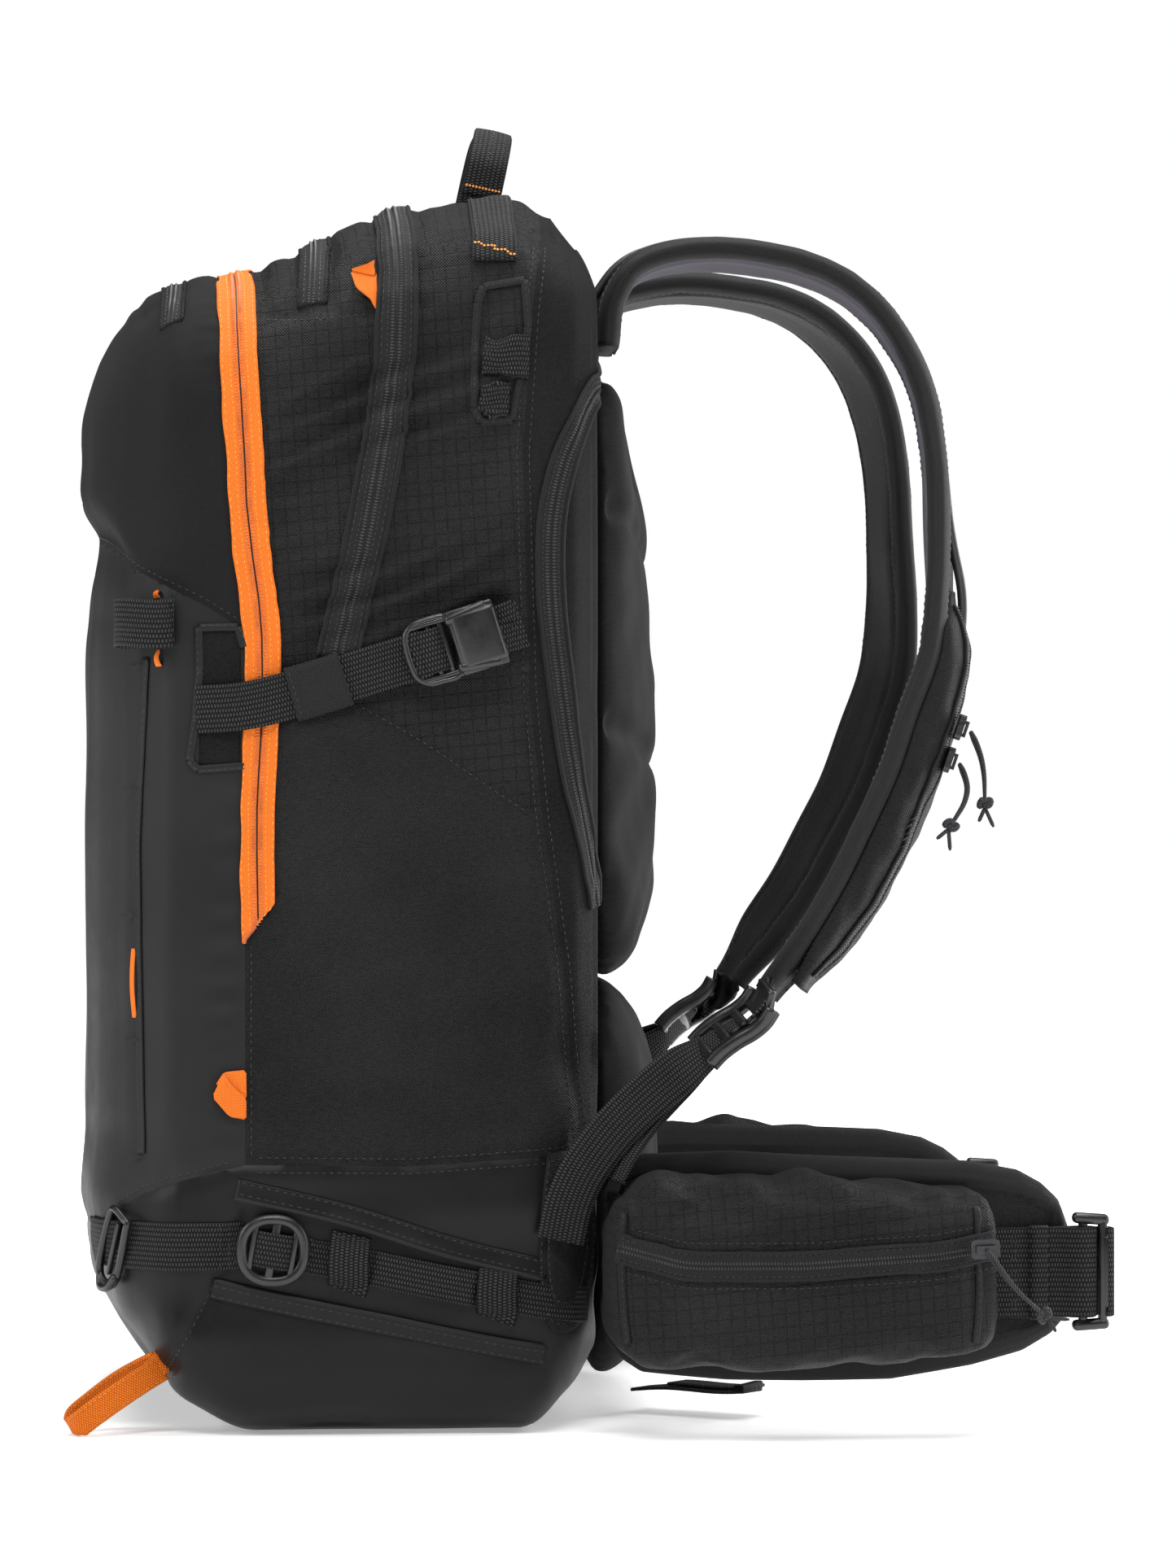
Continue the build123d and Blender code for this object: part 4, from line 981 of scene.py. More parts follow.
def tack(p, across, normal, long=9.0, deep=1.5, mat=0, pitch=0.55):
    """A bartack: a close zigzag of thread across a seam."""
    p, a, n = np.asarray(p, float), unit(across), unit(normal)
    b = np.cross(n, a)
    k = int(long / pitch)
    at = (np.arange(k) - (k - 1) / 2) * pitch
    c = p + at[:, None] * a
    sl = unit(b[None] + a[None] * 0.25 * np.where(np.arange(k) % 2, 1, -1)[:, None])
    v, f, u, w = beads(c, sl, np.repeat(a[None], k, 0), np.repeat(n[None], k, 0), deep, 0.33, 0.45)
    return v, f, u, w, mat


def inside_hit(o, d):
    q = skin.ray_cast(Vector(o), Vector(d).normalized())[0]
    return None if q is None else np.array(q[:])


def side_line(poly, step=2.0, sgn=-1, curved=True):
    """A line on the bag's side from (x, z) points."""
    p = np.array([(x, 0, z) for x, z in poly], float)
    p = spline(p, step) if curved else resample(p, step)
    out = [inside_hit((min(x, 3.8), 0, z), (0, sgn, 0)) for x, _, z in p]
    return np.array([o for o in out if o is not None])


def over(xf, z0, step=2.0, zc=430.0, full=True):
    """A line from the right side at z0 up over the top and down the left side. xf gives x for a z."""
    pts = []
    if z0 < zc:
        for z in np.arange(z0, zc, step):
            pts.append(inside_hit((xf(z), 0, z), (0, -1, 0)))
    for a in np.radians(np.linspace(0, 180, 260)):
        x, q = xf(zc), None
        for _ in range(4):
            q = inside_hit((x, 0, min(zc, 428)), (0, -math.cos(a), math.sin(a)))
            if q is None:
                break
            x = xf(q[2])
        if q is not None and q[2] >= max(z0, zc - 1e-6):
            pts.append(q)
    if z0 < zc:
        for z in np.arange(zc, z0 - 1e-6, -step):
            pts.append(inside_hit((xf(z), 0, z), (0, 1, 0)))
    pts = np.array([p for p in pts if p is not None])
    return resample(smooth_line(pts, 2), step)


def coil(band, mats=(0, 0), pitch=1.35, spread_=1.55, half=1.15, lift=0.0):
    """Two interlocking rows of teeth down a band's middle."""
    out = []
    for sgn in (-1, 1):
        line = band.row(sgn * spread_)
        s = arc_len(line)
        at = np.arange(0.5 + (sgn > 0) * pitch / 2, s[-1] - 0.5, pitch)
        c = np.stack([np.interp(at, s, line[:, j]) for j in range(3)], 1)
        n = unit(np.stack([np.interp(at, s, band.nn[:, j]) for j in range(3)], 1))
        t = unit(np.stack([np.interp(at, s, band.tt[:, j]) for j in range(3)], 1))
        b = np.cross(n, t)
        v, f, u, w = beads(c + n * lift, t, b, n, pitch * 0.42, half, 0.75)
        out.append((v, f, u, w, mats[0]))
    return out


def zipper(name, path, w, node, tape_mat, coil_mat, thread_mat, t=0.7, lo=None, hi=None, piping=False, edge_rows=True, extra=()):
    """A zip: one tape each side of a gap, coil teeth, and rows of stitching."""
    g = 0.35
    full = Band(path, w, t, 0.3, 9, lo=lo, hi=hi, smooth=6)
    parts = []
    k = len(full.grid)
    for sgn in (-1, 1):
        low = np.full(k, g) if sgn > 0 else np.full(k, -w / 2)
        high = np.full(k, w / 2) if sgn > 0 else np.full(k, -g)
        if lo is not None:
            low = np.maximum(low, lo)
            high = np.maximum(high, lo)
        if hi is not None:
            high = np.minimum(high, hi)
            low = np.minimum(low, hi)
        half = Band(path, w, t, 0.3, 13, lo=low, hi=high, smooth=6)
        parts.append(half.part(0))
    # a strip of near-black thread material down the gap between the tapes: painted shade in the gap
    gap = Band(path, 2.0, 0.25, 0.3, 3, lo=lo, hi=hi, smooth=6)
    parts.append((*gap.part()[:4], 2))
    teeth = coil(full, (1,))
    rows = []
    for o in (-3.6, 3.6):
        rows.append(stitches(full.row(o), full.nn, 1.5, 0.8, 0.5, 0.35, 3))
    if edge_rows:
        for o in (-w / 2 + 1.6, w / 2 - 1.6):
            rows.append(stitches(full.row(o), full.nn, 2.2, 1.1, 0.5, 0.35, 3))
    parts += teeth + rows
    if piping:
        for o in (-w / 2 - 0.4, w / 2 + 0.4):
            line = full.row(o * 0.999, 0.5)
            parts.append((*tube(line + full.b * (0.4 if o > 0 else -0.4), 1.05, 6), 0))
    parts += list(extra)
    piece(name, parts, "pack", (tape_mat, coil_mat, "thread", thread_mat), (node,) if node else ())
    return full


# the orange zip between the front pocket and the body
zp = over(lambda z: float(x_zip(z) + interp(z, [207, 216, 240, 262], [6.2, 4.2, 1.0, 0.0])), 207.0)
zz = np.minimum(zp[:, 2], 999)
zip_half = np.where(np.abs(zp[:, 1]) > 100, interp(zz, [207, 305, 335], [7.3, 7.4, 8.2]), 8.2)
cutoff = np.where(np.abs(zp[:, 1]) > 100, 7.0 - (zz - 208.0) / 15.0 * 14.5, -20.0)
cutoff = np.clip(cutoff, -zip_half, 6.8)
wob = 0.35 * np.sin(arc_len(zp) / 11.0) + 0.25 * np.sin(arc_len(zp) / 4.3 + 1.0)
zipper("orange_zip", zp, 17.0, "front_zip", "tape_orange", "coil_orange", "thread_orange", 0.8, lo=cutoff, hi=zip_half + wob - 0.3)

# the burst zip over the airbag
bz_path = over(lambda z: float(x_burst(z)), 325.0)
burst = zipper("burst_zip", bz_path, 15.5, "airbag_zip", "tape", "coil", "thread_grey", 0.8, piping=True)

# small zips across the top of the dome and behind the front zip
def top_zip(name, xc, z0, w):
    p = over(lambda z: xc + 0.05 * (z - 470), z0)
    full = Band(p, w, 0.6, 0.1, 9, smooth=6)
    parts = [full.part(0)] + coil(full, (1,), 1.5, 1.0, 0.8)
    for o in (-w / 2, w / 2):
        parts.append((*tube(full.row(o, 0.2), 1.0, 8), 2))
        parts.append(stitches(full.row(o * 0.55), full.nn, 2.0, 1.0, 0.5, 0.35, 1))
    return parts


tz = top_zip("z1", -175.0, 465.0, 10.5) + top_zip("z3", -116.5, 473.0, 13.0)
piece("top_zips", tz, "pack", ("tape", "coil", "ripstop"), ("top_pocket_zips",))

# the zip round the back panel
bp_side = [(4.0, 221.0), (-1, 250), (-6, 274), (-11, 308), (-16, 349), (-16, 383), (-11, 407), (-4, 424)]
right = side_line(bp_side, 2.0, -1)
arc = []
for a in np.radians(np.linspace(-72, 72, 80)):
    z = 436.0 + 22.0 * math.cos(a) ** 0.7
    q = inside_hit((-40.0, 0, z), (math.cos(a), math.sin(a), 0))
    if q is not None:
        arc.append(q)
left = mirror_y(right)[::-1]
bp_path = resample(smooth_line(np.concatenate([right, arc, left]), 6), 2.0)
zipper("back_zip", bp_path, 11.0, "back_panel_zip", "tape", "coil", "thread_grey", 0.7, piping=True, edge_rows=False)


# ------------------------------------------------------------------ webbing, loops and hardware
def rbox(centre, ax, ay, az, size, r=0.8, mat=0, seg=3):
    """A rounded box: centre, three axes, full sizes."""
    b = bmesh.new()
    bmesh.ops.create_cube(b, size=1.0)
    for v in b.verts:
        v.co = Vector((v.co.x * size[0], v.co.y * size[1], v.co.z * size[2]))
    bmesh.ops.bevel(b, geom=list(b.edges), offset=min(r, min(size) * 0.45), segments=seg, profile=0.5, affect="EDGES")
    b.verts.index_update()
    c = np.array([v.co[:] for v in b.verts])
    f = [tuple(v.index for v in x.verts) for x in b.faces]
    b.free()
    A = np.stack([unit(ax), unit(ay), unit(az)])
    p = np.asarray(centre, float) + c @ A
    if np.linalg.det(A) < 0:
        f = [x[::-1] for x in f]
    return p, f, np.zeros(len(p)), np.zeros(len(p)), mat


def ring_bar(pts, normals, w, t, mat=0, closed_=True, r=0.45):
    """A flat bar or band of width w (along normals) and thickness t round a closed line."""
    pts = np.asarray(pts, float)
    k = len(pts)
    nxt, prv = np.roll(pts, -1, 0), np.roll(pts, 1, 0)
    t_ = unit(nxt - prv)
    n = unit(np.asarray(normals, float))
    n = unit(n - t_ * np.sum(n * t_, 1, keepdims=True))
    b = np.cross(n, t_)
    prof = [(-t / 2, -w / 2 + r), (-t / 2 + r, -w / 2), (t / 2 - r, -w / 2), (t / 2, -w / 2 + r)] if t > 2 * r else [(-t / 2, -w / 2), (t / 2, -w / 2)]
    prof = prof + [(-x, -y) for x, y in prof]
    prof = np.array(prof)
    m = len(prof)
    v = np.concatenate([pts[i] + prof[:, :1] * b[i] + prof[:, 1:] * n[i] for i in range(k)])
    f = []
    for i in range(k):
        ii = (i + 1) % k
        for j in range(m):
            jj = (j + 1) % m
            f.append((i * m + j, i * m + jj, ii * m + jj, ii * m + j))
    s = np.repeat(np.concatenate([[0], np.cumsum(np.linalg.norm(np.diff(pts, axis=0), axis=1))]), m)
    return v, f, s, np.tile(prof[:, 1], k), mat


def strip(pts, normals, w, t, mat=0, n=9, bow=0.0, widths=None):
    """A free band: a rounded flat section along a line, its top side towards the normals."""
    pts = np.asarray(pts, float)
    prof = np.array(flat_profile(w, t, min(0.5, t * 0.45), n))
    prof[:, 1] -= t / 2
    if bow:
        prof[:, 1] += bow * (1 - (2 * prof[:, 0] / w) ** 2)
    sc = None
    if widths is not None:
        sc = [(s, 1.0) for s in widths]
    v, f, u, w_ = sweep(pts, normals, prof, scale=sc)
    return v, f, u, w_, mat


def both_sides(name, parts, body, mats, replaces_r=(), replaces_l=(), name_l=None, body_l=None):
    """A piece on the right and its mirror image on the left, one object each."""
    piece(name + "_right", parts, body, mats, replaces_r)
    piece(name + "_left", [flip(p) for p in parts], body_l or body, mats, replaces_l)


def symmetric(name, parts, body, mats, nodes=()):
    piece(name, list(parts) + [flip(p) for p in parts], body, mats, nodes)


def vertex_normals(v, faces):
    me = bpy.data.meshes.new("n")
    me.from_pydata(np.asarray(v).tolist(), [], [tuple(int(i) for i in f) for f in faces])
    me.update()
    n = np.zeros(len(v) * 3)
    me.vertices.foreach_get("normal", n)
    bpy.data.meshes.remove(me)
    return n.reshape(-1, 3)


def outward(v, faces):
    """Faces turned so that the closed form's normals point out."""
    me = bpy.data.meshes.new("n")
    me.from_pydata(np.asarray(v).tolist(), [], [tuple(int(i) for i in f) for f in faces])
    b = bmesh.new()
    b.from_mesh(me)
    vol = b.calc_volume(signed=True)
    b.free()
    bpy.data.meshes.remove(me)
    return [tuple(f)[::-1] for f in faces] if vol < 0 else [tuple(f) for f in faces]


YN = np.array([0.0, -1.0, 0.0])

# upper compression strap
TILT = math.radians(17.2)
CX = np.array([math.cos(TILT), 0, math.sin(TILT)])
CZ = np.array([-math.sin(TILT), 0, math.cos(TILT)])
CO = np.array([-57.0, -147.5, 331.1])


def cpt(a, b, h):
    """A point in the buckle's frame: a along the strap, b up across it, h out from the bag."""
    return CO + CX * a + CZ * b + YN * h


cline = spline([(-164, 0, 304.0), (-144, 0, 305.5), (-119, 0, 311.8), (-93, 0, 320.0), (-70, 0, 327.1)], 2.0)
cy = []
for x, _, z in cline:
    q = inside_hit((x, 0, z), (0, -1, 0))
    cy.append(q[1])
cy = np.array(cy)
cpts = np.column_stack([cline[:, 0], np.minimum(cy - 1.9, -147.9 - 0.4 * step01(cline[:, 0], -120, -80)), cline[:, 2]])
cpts[0, 1] = cy[0] - 0.8
cpts = smooth_line(cpts, 3)
comp = [strip(cpts, np.repeat(YN[None], len(cpts), 0), 20.0, 1.6)]
# the strap turns round the ladder frame's end and comes back inside
back = np.array([cpt(-14.0, 0, 0.6), cpt(-17.5, 0, 1.2), cpt(-19.2, 0, 3.0), cpt(-18.2, 0, 5.0), cpt(-15.6, 0, 5.8), cpt(-12.8, 0, 5.2), cpt(-11.4, 0, 3.4), cpt(-9.5, 0, 1.4)])
bline = spline(back, 1.0)
bn = np.array([np.cross(t, CZ) for t in tangents(bline)])
comp.append(strip(bline, -bn, 20.0, 1.4))
# and its ribs show between the frame's bars
comp.append(strip(spline([cpt(-14.6, 0, 4.4), cpt(-12.8, 0, 6.6), cpt(-10.0, 0, 7.2), cpt(-7.0, 0, 7.0), cpt(-4.8, 0, 5.4), cpt(-4.2, 0, 3.4)], 1.0), np.repeat(YN[None] - CX[None] * 0.02, 40, 0)[:len(spline([cpt(-14.6, 0, 4.4), cpt(-12.8, 0, 6.6), cpt(-10.0, 0, 7.2), cpt(-7.0, 0, 7.0), cpt(-4.8, 0, 5.4), cpt(-4.2, 0, 3.4)], 1.0))], 18.5, 1.3))
# keeper of black elastic, x -124 to -101
kmask = (cpts[:, 0] > -125) & (cpts[:, 0] < -101)
kp = cpts[kmask] + YN * 0.3
comp.append(strip(kp, np.repeat(YN[None], len(kp), 0), 23.0, 3.4, 1))
comp.append(stitches(kp[[1, 1]] + YN * 2.0 + np.array([CZ * -9.5, CZ * 9.5]), [YN, YN], 1.9, 0.9, 0.5, 0.35, 2))
# sewn tail behind the socket, with its free end
tl = np.array([cpt(17.0, 0, 3.6), cpt(20.5, 0, 3.2), cpt(25.0, 0, 1.4), cpt(30.0, 0, 0.5)])
tl_n = np.repeat(YN[None], len(tl), 0)
tl = spline(tl, 1.5)
comp.append(strip(tl, np.repeat(YN[None], len(tl), 0), 20.0, 1.6))
for a in (25.5, 27.0):
    comp.append(stitches([cpt(a, -9, 2.0), cpt(a, 9, 2.0)], [YN, YN], 1.8, 0.8, 0.5, 0.4, 2))
# a stub of loose webbing that sticks up behind the socket
comp.append(strip([cpt(17, 6.5, 4.5), cpt(23, 7.0, 4.2), cpt(28.5, 7.5, 4.6)], [YN, YN, YN], 7.0, 1.4))
both_sides("compression_strap", comp, "pack", ("web", "tape", "thread_grey"), ("compression_webbing_right",), ("compression_webbing_left",))

# side release buckle: socket
sock = [
    rbox(cpt(10.0, 0, 8.3), CX, CZ, YN, (20.0, 28.0, 2.4), 1.1),
    rbox(cpt(10.0, 0, 0.8), CX, CZ, YN, (20.0, 26.0, 1.4), 0.6),
    rbox(cpt(10.0, 13.2, 4.4), CX, CZ, YN, (13.0, 1.6, 8.4), 0.7),
    rbox(cpt(10.0, -13.2, 4.4), CX, CZ, YN, (13.0, 1.6, 8.4), 0.7),
    rbox(cpt(18.6, 0, 3.4), CX, CZ, YN, (3.0, 27.0, 3.4), 1.3),
    rbox(cpt(14.5, 0, 5.0), CX, CZ, YN, (2.0, 25.0, 6.0), 0.8),
]
# raised panel with a chamfered step
sock.append(rbox(cpt(10.6, 0, 7.4), CX, CZ, YN, (20.0, 25.0, 6.2), 3.0, seg=5))
for b_ in (-11.2, 11.2):
    sock.append(rbox(cpt(8.0, b_, 7.6), unit(CX + CZ * 0.12 * np.sign(b_)), CZ, YN, (19.0, 4.6, 5.4), 2.1, seg=4))
both_sides("buckle_socket", sock, "pack", ("plastic",), ("compression_sockets",))
clip_parts = []
cf = []
for a_, b_ in ((-2.0, 13.0), (-9.0, 13.2), (-14.5, 12.6), (-18.6, 9.0), (-19.6, 3.0), (-19.6, -3.0), (-18.6, -9.0), (-14.5, -12.6), (-9.0, -13.2), (-2.0, -13.0), (0.6, -9.0), (0.6, 9.0)):
    cf.append(cpt(a_, b_, 4.4))
cf = spline(cf + [cf[0]], 1.0)[:-1]
clip_parts.append(ring_bar(cf, np.repeat(YN[None], len(cf), 0), 4.4, 3.0, r=1.1))
for s_ in (-1, 1):
    clip_parts.append(rbox(cpt(-3.6, s_ * 11.4, 4.4), CX, CZ, YN, (27.0, 2.2, 4.2), 0.9))
    clip_parts.append(rbox(cpt(3.0, s_ * 12.6, 4.4), CX, unit(CZ - CX * 0.25 * s_), YN, (9.0, 2.6, 4.2), 0.9))
for a_ in (-8.5, -3.4):
    clip_parts.append(rbox(cpt(a_, 0, 4.2), CX, CZ, YN, (2.8, 24.5, 2.6), 1.1))
both_sides("buckle_clip", clip_parts, "compression_clip_right", ("plastic",), ("compression_clip_right",), ("compression_clip_left",), body_l="compression_clip_left")

# lower ski webbing with its keepers and the front corner run
skl = spline([(-149.5, 0, 80.5), (-110.5, 0, 74.7), (-56, 0, 63.5), (-30, 0, 58.6), (-12, 0, 55.0), (-1, 0, 53.4)], 2.0)
sk_pts = np.array([inside_hit((min(x, 3.0), 0, z), (0, -1, 0)) for x, _, z in skl])
sk_band = Band(sk_pts, 14.8, 1.5, 0.35, 9, taut=8)
ski = [sk_band.part(0)]
# round the front corner, between the hook and the side
corner = []
for a in np.linspace(0, 1, 34):
    x = -207 + a * 62.0
    q = inside_hit((-120.0, 0, 79.5 + 1.0 * a), (x + 120.0, -(96.0 + 49.5 * step01(a, 0.0, 0.55)), 0))
    corner.append(q)
corner = resample(smooth_line(np.array([c for c in corner if c is not None]), 2), 2.0)
c_band = Band(corner, 20.0, 1.5, 0.4, 9, taut=8)
ski.append(c_band.part(0))
for i in (len(c_band.grid) - 4, len(c_band.grid) - 6):
    l_, n_ = c_band.cross(i)
    ski.append(stitches(l_, n_, 1.8, 0.8, 0.5, 0.35, 1))
# a second layer where the webbing folds back over itself
fold = sk_band.row(0.0, 1.4)
mid = (fold[:, 0] > -92) & (fold[:, 0] < -47)
fb = Band(fold[mid], 14.8, 1.4, 1.9, 7)
ski.append(fb.part(0))
for kx, kz in ((-101.0, 73.0), (-39.0, 60.4)):
    base_ = np.array([(kx - 0.8, 0, kz - 11.5), (kx, 0, kz - 9), (kx, 0, kz), (kx + 0.8, 0, kz + 9), (kx + 1.4, 0, kz + 12)])
    base_ = spline(base_, 1.0)
    kp = np.array([inside_hit((x, 0, z), (0, -1, 0)) for x, _, z in base_])
    hump = 3.4 * np.exp(-((np.linspace(-1, 1, len(kp)) / 0.72) ** 6))
    kb = Band(kp, 17.0, 1.4, 0.4, 7, lifts=hump)
    ski.append(kb.part(0))
    for i in (2, len(kp) - 3):
        l_, n_ = kb.cross(i)
        ski.append(stitches(l_, n_, 1.8, 0.8, 0.5, 0.35, 1))
both_sides("ski_webbing", ski, "pack", ("web", "thread_grey"), ("ski_webbing_right",), ("ski_webbing_left",))

# ski flaps: strips of coated fabric with a rolled edge
flaps = []
for mid_line, w_, rolled in (
    ([(-147.5, 104.5), (-104, 94.0), (-56, 79.0), (-18, 69.5)], 8.5, -1),
    ([(-158, 62.5), (-130, 56.0), (-84, 46.5), (-45, 38.5), (-19, 33.5)], 8.0, 1),
):
    p_ = side_line(mid_line, 2.0, -1)
    k_ = len(p_)
    bulge = 0.6 + 1.1 * np.sin(np.linspace(0, math.pi, k_)) + 0.25 * np.sin(np.linspace(0, 23, k_))
    fbnd = Band(p_, w_, 1.0, 0.3, 9, taut=2)
    s_ = np.sign(rolled)
    h_ = np.interp(fbnd.offs * s_, [-w_ / 2, w_ / 2], [0.0, 1.0])
    fbnd.grid = fbnd.grid + fbnd.nn[:, None, :] * (h_[None, :, None] ** 1.5 * bulge[:, None, None] * 1.25)
    flaps.append(fbnd.part(0))
    edge_line = fbnd.row(s_ * (w_ / 2 - 0.1), 0.5)
    flaps.append((*tube(edge_line, 0.95, 8), 1))
    flaps.append(stitches(fbnd.row(s_ * (w_ / 2 - 2.4)), fbnd.nn, 2.3, 1.2, 0.55, 0.35, 2))
    flaps.append(stitches(fbnd.row(-s_ * (w_ / 2 - 1.4)), fbnd.nn, 2.3, 1.2, 0.55, 0.35, 2))
both_sides("ski_flap", flaps, "pack", ("base", "coated", "thread_grey"), ("ski_flaps",))

# oval tri-glide
gl = []
th_ = np.linspace(0, 2 * math.pi, 72, endpoint=False)
gc = np.array([-132.4, -150.2, 78.8])
oval = gc + np.column_stack([13.0 * np.sign(np.cos(th_)) * np.abs(np.cos(th_)) ** 0.85, np.zeros(72), 12.8 * np.sign(np.sin(th_)) * np.abs(np.sin(th_)) ** 0.85])
gl.append(ring_bar(oval, np.repeat(YN[None], 72, 0), 3.4, 4.6, r=1.2))
gx = unit([0.985, 0, -0.17])
gz = np.array([0.17, 0, 0.985])
gl.append(rbox(gc, gx, gz, YN, (3.6, 25.0, 2.6), 1.1))
gl.append(rbox(gc - gx * 8.6, gx, gz, YN, (2.6, 20.0, 2.4), 1.0))
gl.append(rbox(gc + gx * 8.6, gx, gz, YN, (2.6, 20.0, 2.4), 1.0))
both_sides("tri_glide", gl, "pack", ("plastic",), ("tri_glides",))
# webbing threaded through the glide
wrap_ = [gc + gx * a + YN * h for a, h in ((-15, -2.6), (-10, -2.4), (-7.5, -0.5), (-5.4, 1.8), (-3.0, 2.3), (0, 2.3), (3.0, 2.3), (5.4, 1.8), (7.5, -0.5), (10, -2.2), (16, -2.8))]
wl = spline(wrap_, 1.0)
wn = np.array([np.cross(gz, t) for t in tangents(wl)])
wn = wn * np.sign(wn @ YN)[:, None]
both_sides("glide_webbing", [strip(wl, wn, 14.8, 1.3)], "pack", ("web",))

# moulded hooks on the front corners
hn = np.array([-23.0, -14.0, 0]) / math.hypot(23, 14)
hx = np.array([-hn[1], hn[0], 0])
hx = np.array([0.52, -0.854, 0])
hz = np.array([0, 0, 1.0])
hc = np.array([-201.0, -115.5, 78.0]) + hn * 3.4 + hx * 9.0
hz = unit(hz * math.cos(0.38) + hx * math.sin(0.38))
hx = unit(hx * math.cos(0.38) - np.array([0, 0, 1.0]) * math.sin(0.38))
hook = []
frame_pts = []
for a, b_ in ((7.0, 15.0), (-6.0, 15.5), (-7.4, 12.0), (-7.4, -12.0), (-5.0, -15.5), (4.0, -15.5), (7.0, -11.0), (7.0, 12.0)):
    frame_pts.append(hc + hx * a + hz * b_)
fp = spline(frame_pts + [frame_pts[0]], 1.2)[:-1]
hook.append(ring_bar(fp, np.repeat(hn[None], len(fp), 0), 3.4, 3.0, r=1.0))
hook.append(rbox(hc + hx * 0.6 + hz * 0, hx, hz, hn, (2.2, 24.0, 2.6), 0.9))
lip = spline([hc + hx * -6 + hz * -15, hc + hx * -2 + hz * -18.6 + hn * 1.0, hc + hx * 4.5 + hz * -16.0 + hn * 1.8, hc + hx * 7.8 + hz * -9.5 + hn * 1.4], 1.0)
hook.append(strip(lip, np.repeat(hn[None], len(lip), 0), 3.4, 3.0, n=3))
both_sides("front_hook", hook, "pack", ("plastic",), ("front_hooks",))

# tool loops: rings of webbing
ca, sa = math.cos(math.radians(34.7)), math.sin(math.radians(34.7))
tp = []
for a in np.linspace(0, 2 * math.pi, 64, endpoint=False):
    ex, ey = 13.7 * math.cos(a), 6.6 * math.sin(a) * (1.12 if math.sin(a) < 0 else 0.9)
    tp.append((-185.9 + ex * ca + ey * sa, -143.1 - ex * sa + ey * ca, 340.0 + 0.6 * math.sin(a * 2)))
tp = np.array(tp)
loop_parts = [ring_bar(tp, np.repeat([[0, 0, 1.0]], 64, 0), 20.0, 1.5, r=0.45)]
inner_c = np.array([-185.9, -143.1, 340.0])
anchor_c = np.array([-178.4, -135.0, 340.0])
an = unit([18.0, 26.0, 0])
both_sides("tool_loop", loop_parts, "pack", ("web",), ("tool_loops",))
bits = []
for z_, tall in ((352.0, 3.0), (325.5, 6.5)):
    q = inside_hit((-180.0 if z_ > 340 else -179.5, 0, z_), (0, -1, 0))
    s_, n_ = near(q, skin)
    n_ = unit(n_)
    tz_ = np.array([0, 0, 1.0])
    pts_ = [np.array(s_) + n_ * (0.5 + 1.6 * math.sin(f * math.pi)) + tz_ * (f - 0.5) * tall for f in np.linspace(0, 1, 9)]
    bits.append(strip(pts_, np.repeat(n_[None], 9, 0), 2.8, 1.0, n=3, widths=[1.3 - 0.7 * f for f in np.linspace(0, 1, 9)]))
both_sides("loop_lining", bits, "pack", ("tape_orange",))

# pull tabs: orange tape folded over itself
def tape_patch(corners, lifts, thick=1.1, turn=0.0):
    """A flat piece of tape over the bag's side: its corners as (x, z), and how far each stands off."""
    pts = []
    for (x, z), h in zip(corners, lifts):
        q = inside_hit((x, 0, z), (0, -1, 0))
        s_, n_ = near(q, skin)
        pts.append((np.array(q), unit(np.array(n_)), h))
    k = len(pts)
    # a finer outline with softened corners
    top, bot = [], []
    for i in range(k):
        (p0, n0, h0), (p1, n1, h1) = pts[i], pts[(i + 1) % k]
        for f in (0.12, 0.5, 0.88):
            p, n, h = p0 + (p1 - p0) * f, unit(n0 + (n1 - n0) * f), h0 + (h1 - h0) * f
            top.append(p + n * (h + thick))
            bot.append(p + n * h)
    top, bot = np.array(top), np.array(bot)
    m = len(top)
    ct_, cb_ = top.mean(0), bot.mean(0)
    inner = ct_ + (top - ct_) * 0.86
    v = np.vstack([top, inner + (inner - bot) * 0.10, [ct_ + (ct_ - cb_) * 0.12], bot, [cb_]])
    f = []
    for j in range(m):
        jj = (j + 1) % m
        f.append((j, jj, m + jj, m + j))
        f.append((m + j, m + jj, 2 * m))
        f.append((2 * m + 1 + j, 2 * m + 1 + jj, jj, j))
        f.append((2 * m + 1 + jj, 2 * m + 1 + j, 3 * m + 1))
    f = outward(v, f)
    c, s__ = math.cos(turn), math.sin(turn)
    return v, f, v[:, 0] * c + v[:, 2] * s__, -v[:, 0] * s__ + v[:, 2] * c, 0


pl = [
    tape_patch([(-143.4, 153.8), (-152.9, 152.9), (-156.4, 147.6), (-146.0, 141.5), (-143.4, 141.5)], (0.4, 0.5, 0.6, 0.5, 0.4), 1.0, 0.9),
    tape_patch([(-152.9, 152.7), (-157.8, 142.8), (-150.8, 134.3), (-143.4, 133.0), (-143.4, 142.0), (-151.2, 149.0)], (1.2, 1.7, 1.6, 0.7, 1.5, 1.9), 1.0, -0.75),
    tape_patch([(-88.4, 487.5), (-88.2, 479.6), (-88.9, 470.6), (-92.0, 475.0), (-97.0, 478.0), (-98.6, 485.0)], (0.6, 0.6, 0.5, 1.4, 3.6, 4.2), 1.0, 1.3),
    tape_patch([(-98.6, 485.0), (-94.0, 488.0), (-90.6, 490.5), (-88.4, 487.5), (-88.4, 484.8)], (5.2, 4.4, 3.4, 1.8, 1.7), 0.9, 0.4),
]
symmetric("pull_tabs", pl, "pack", ("tape_orange",), ("pull_loops",))

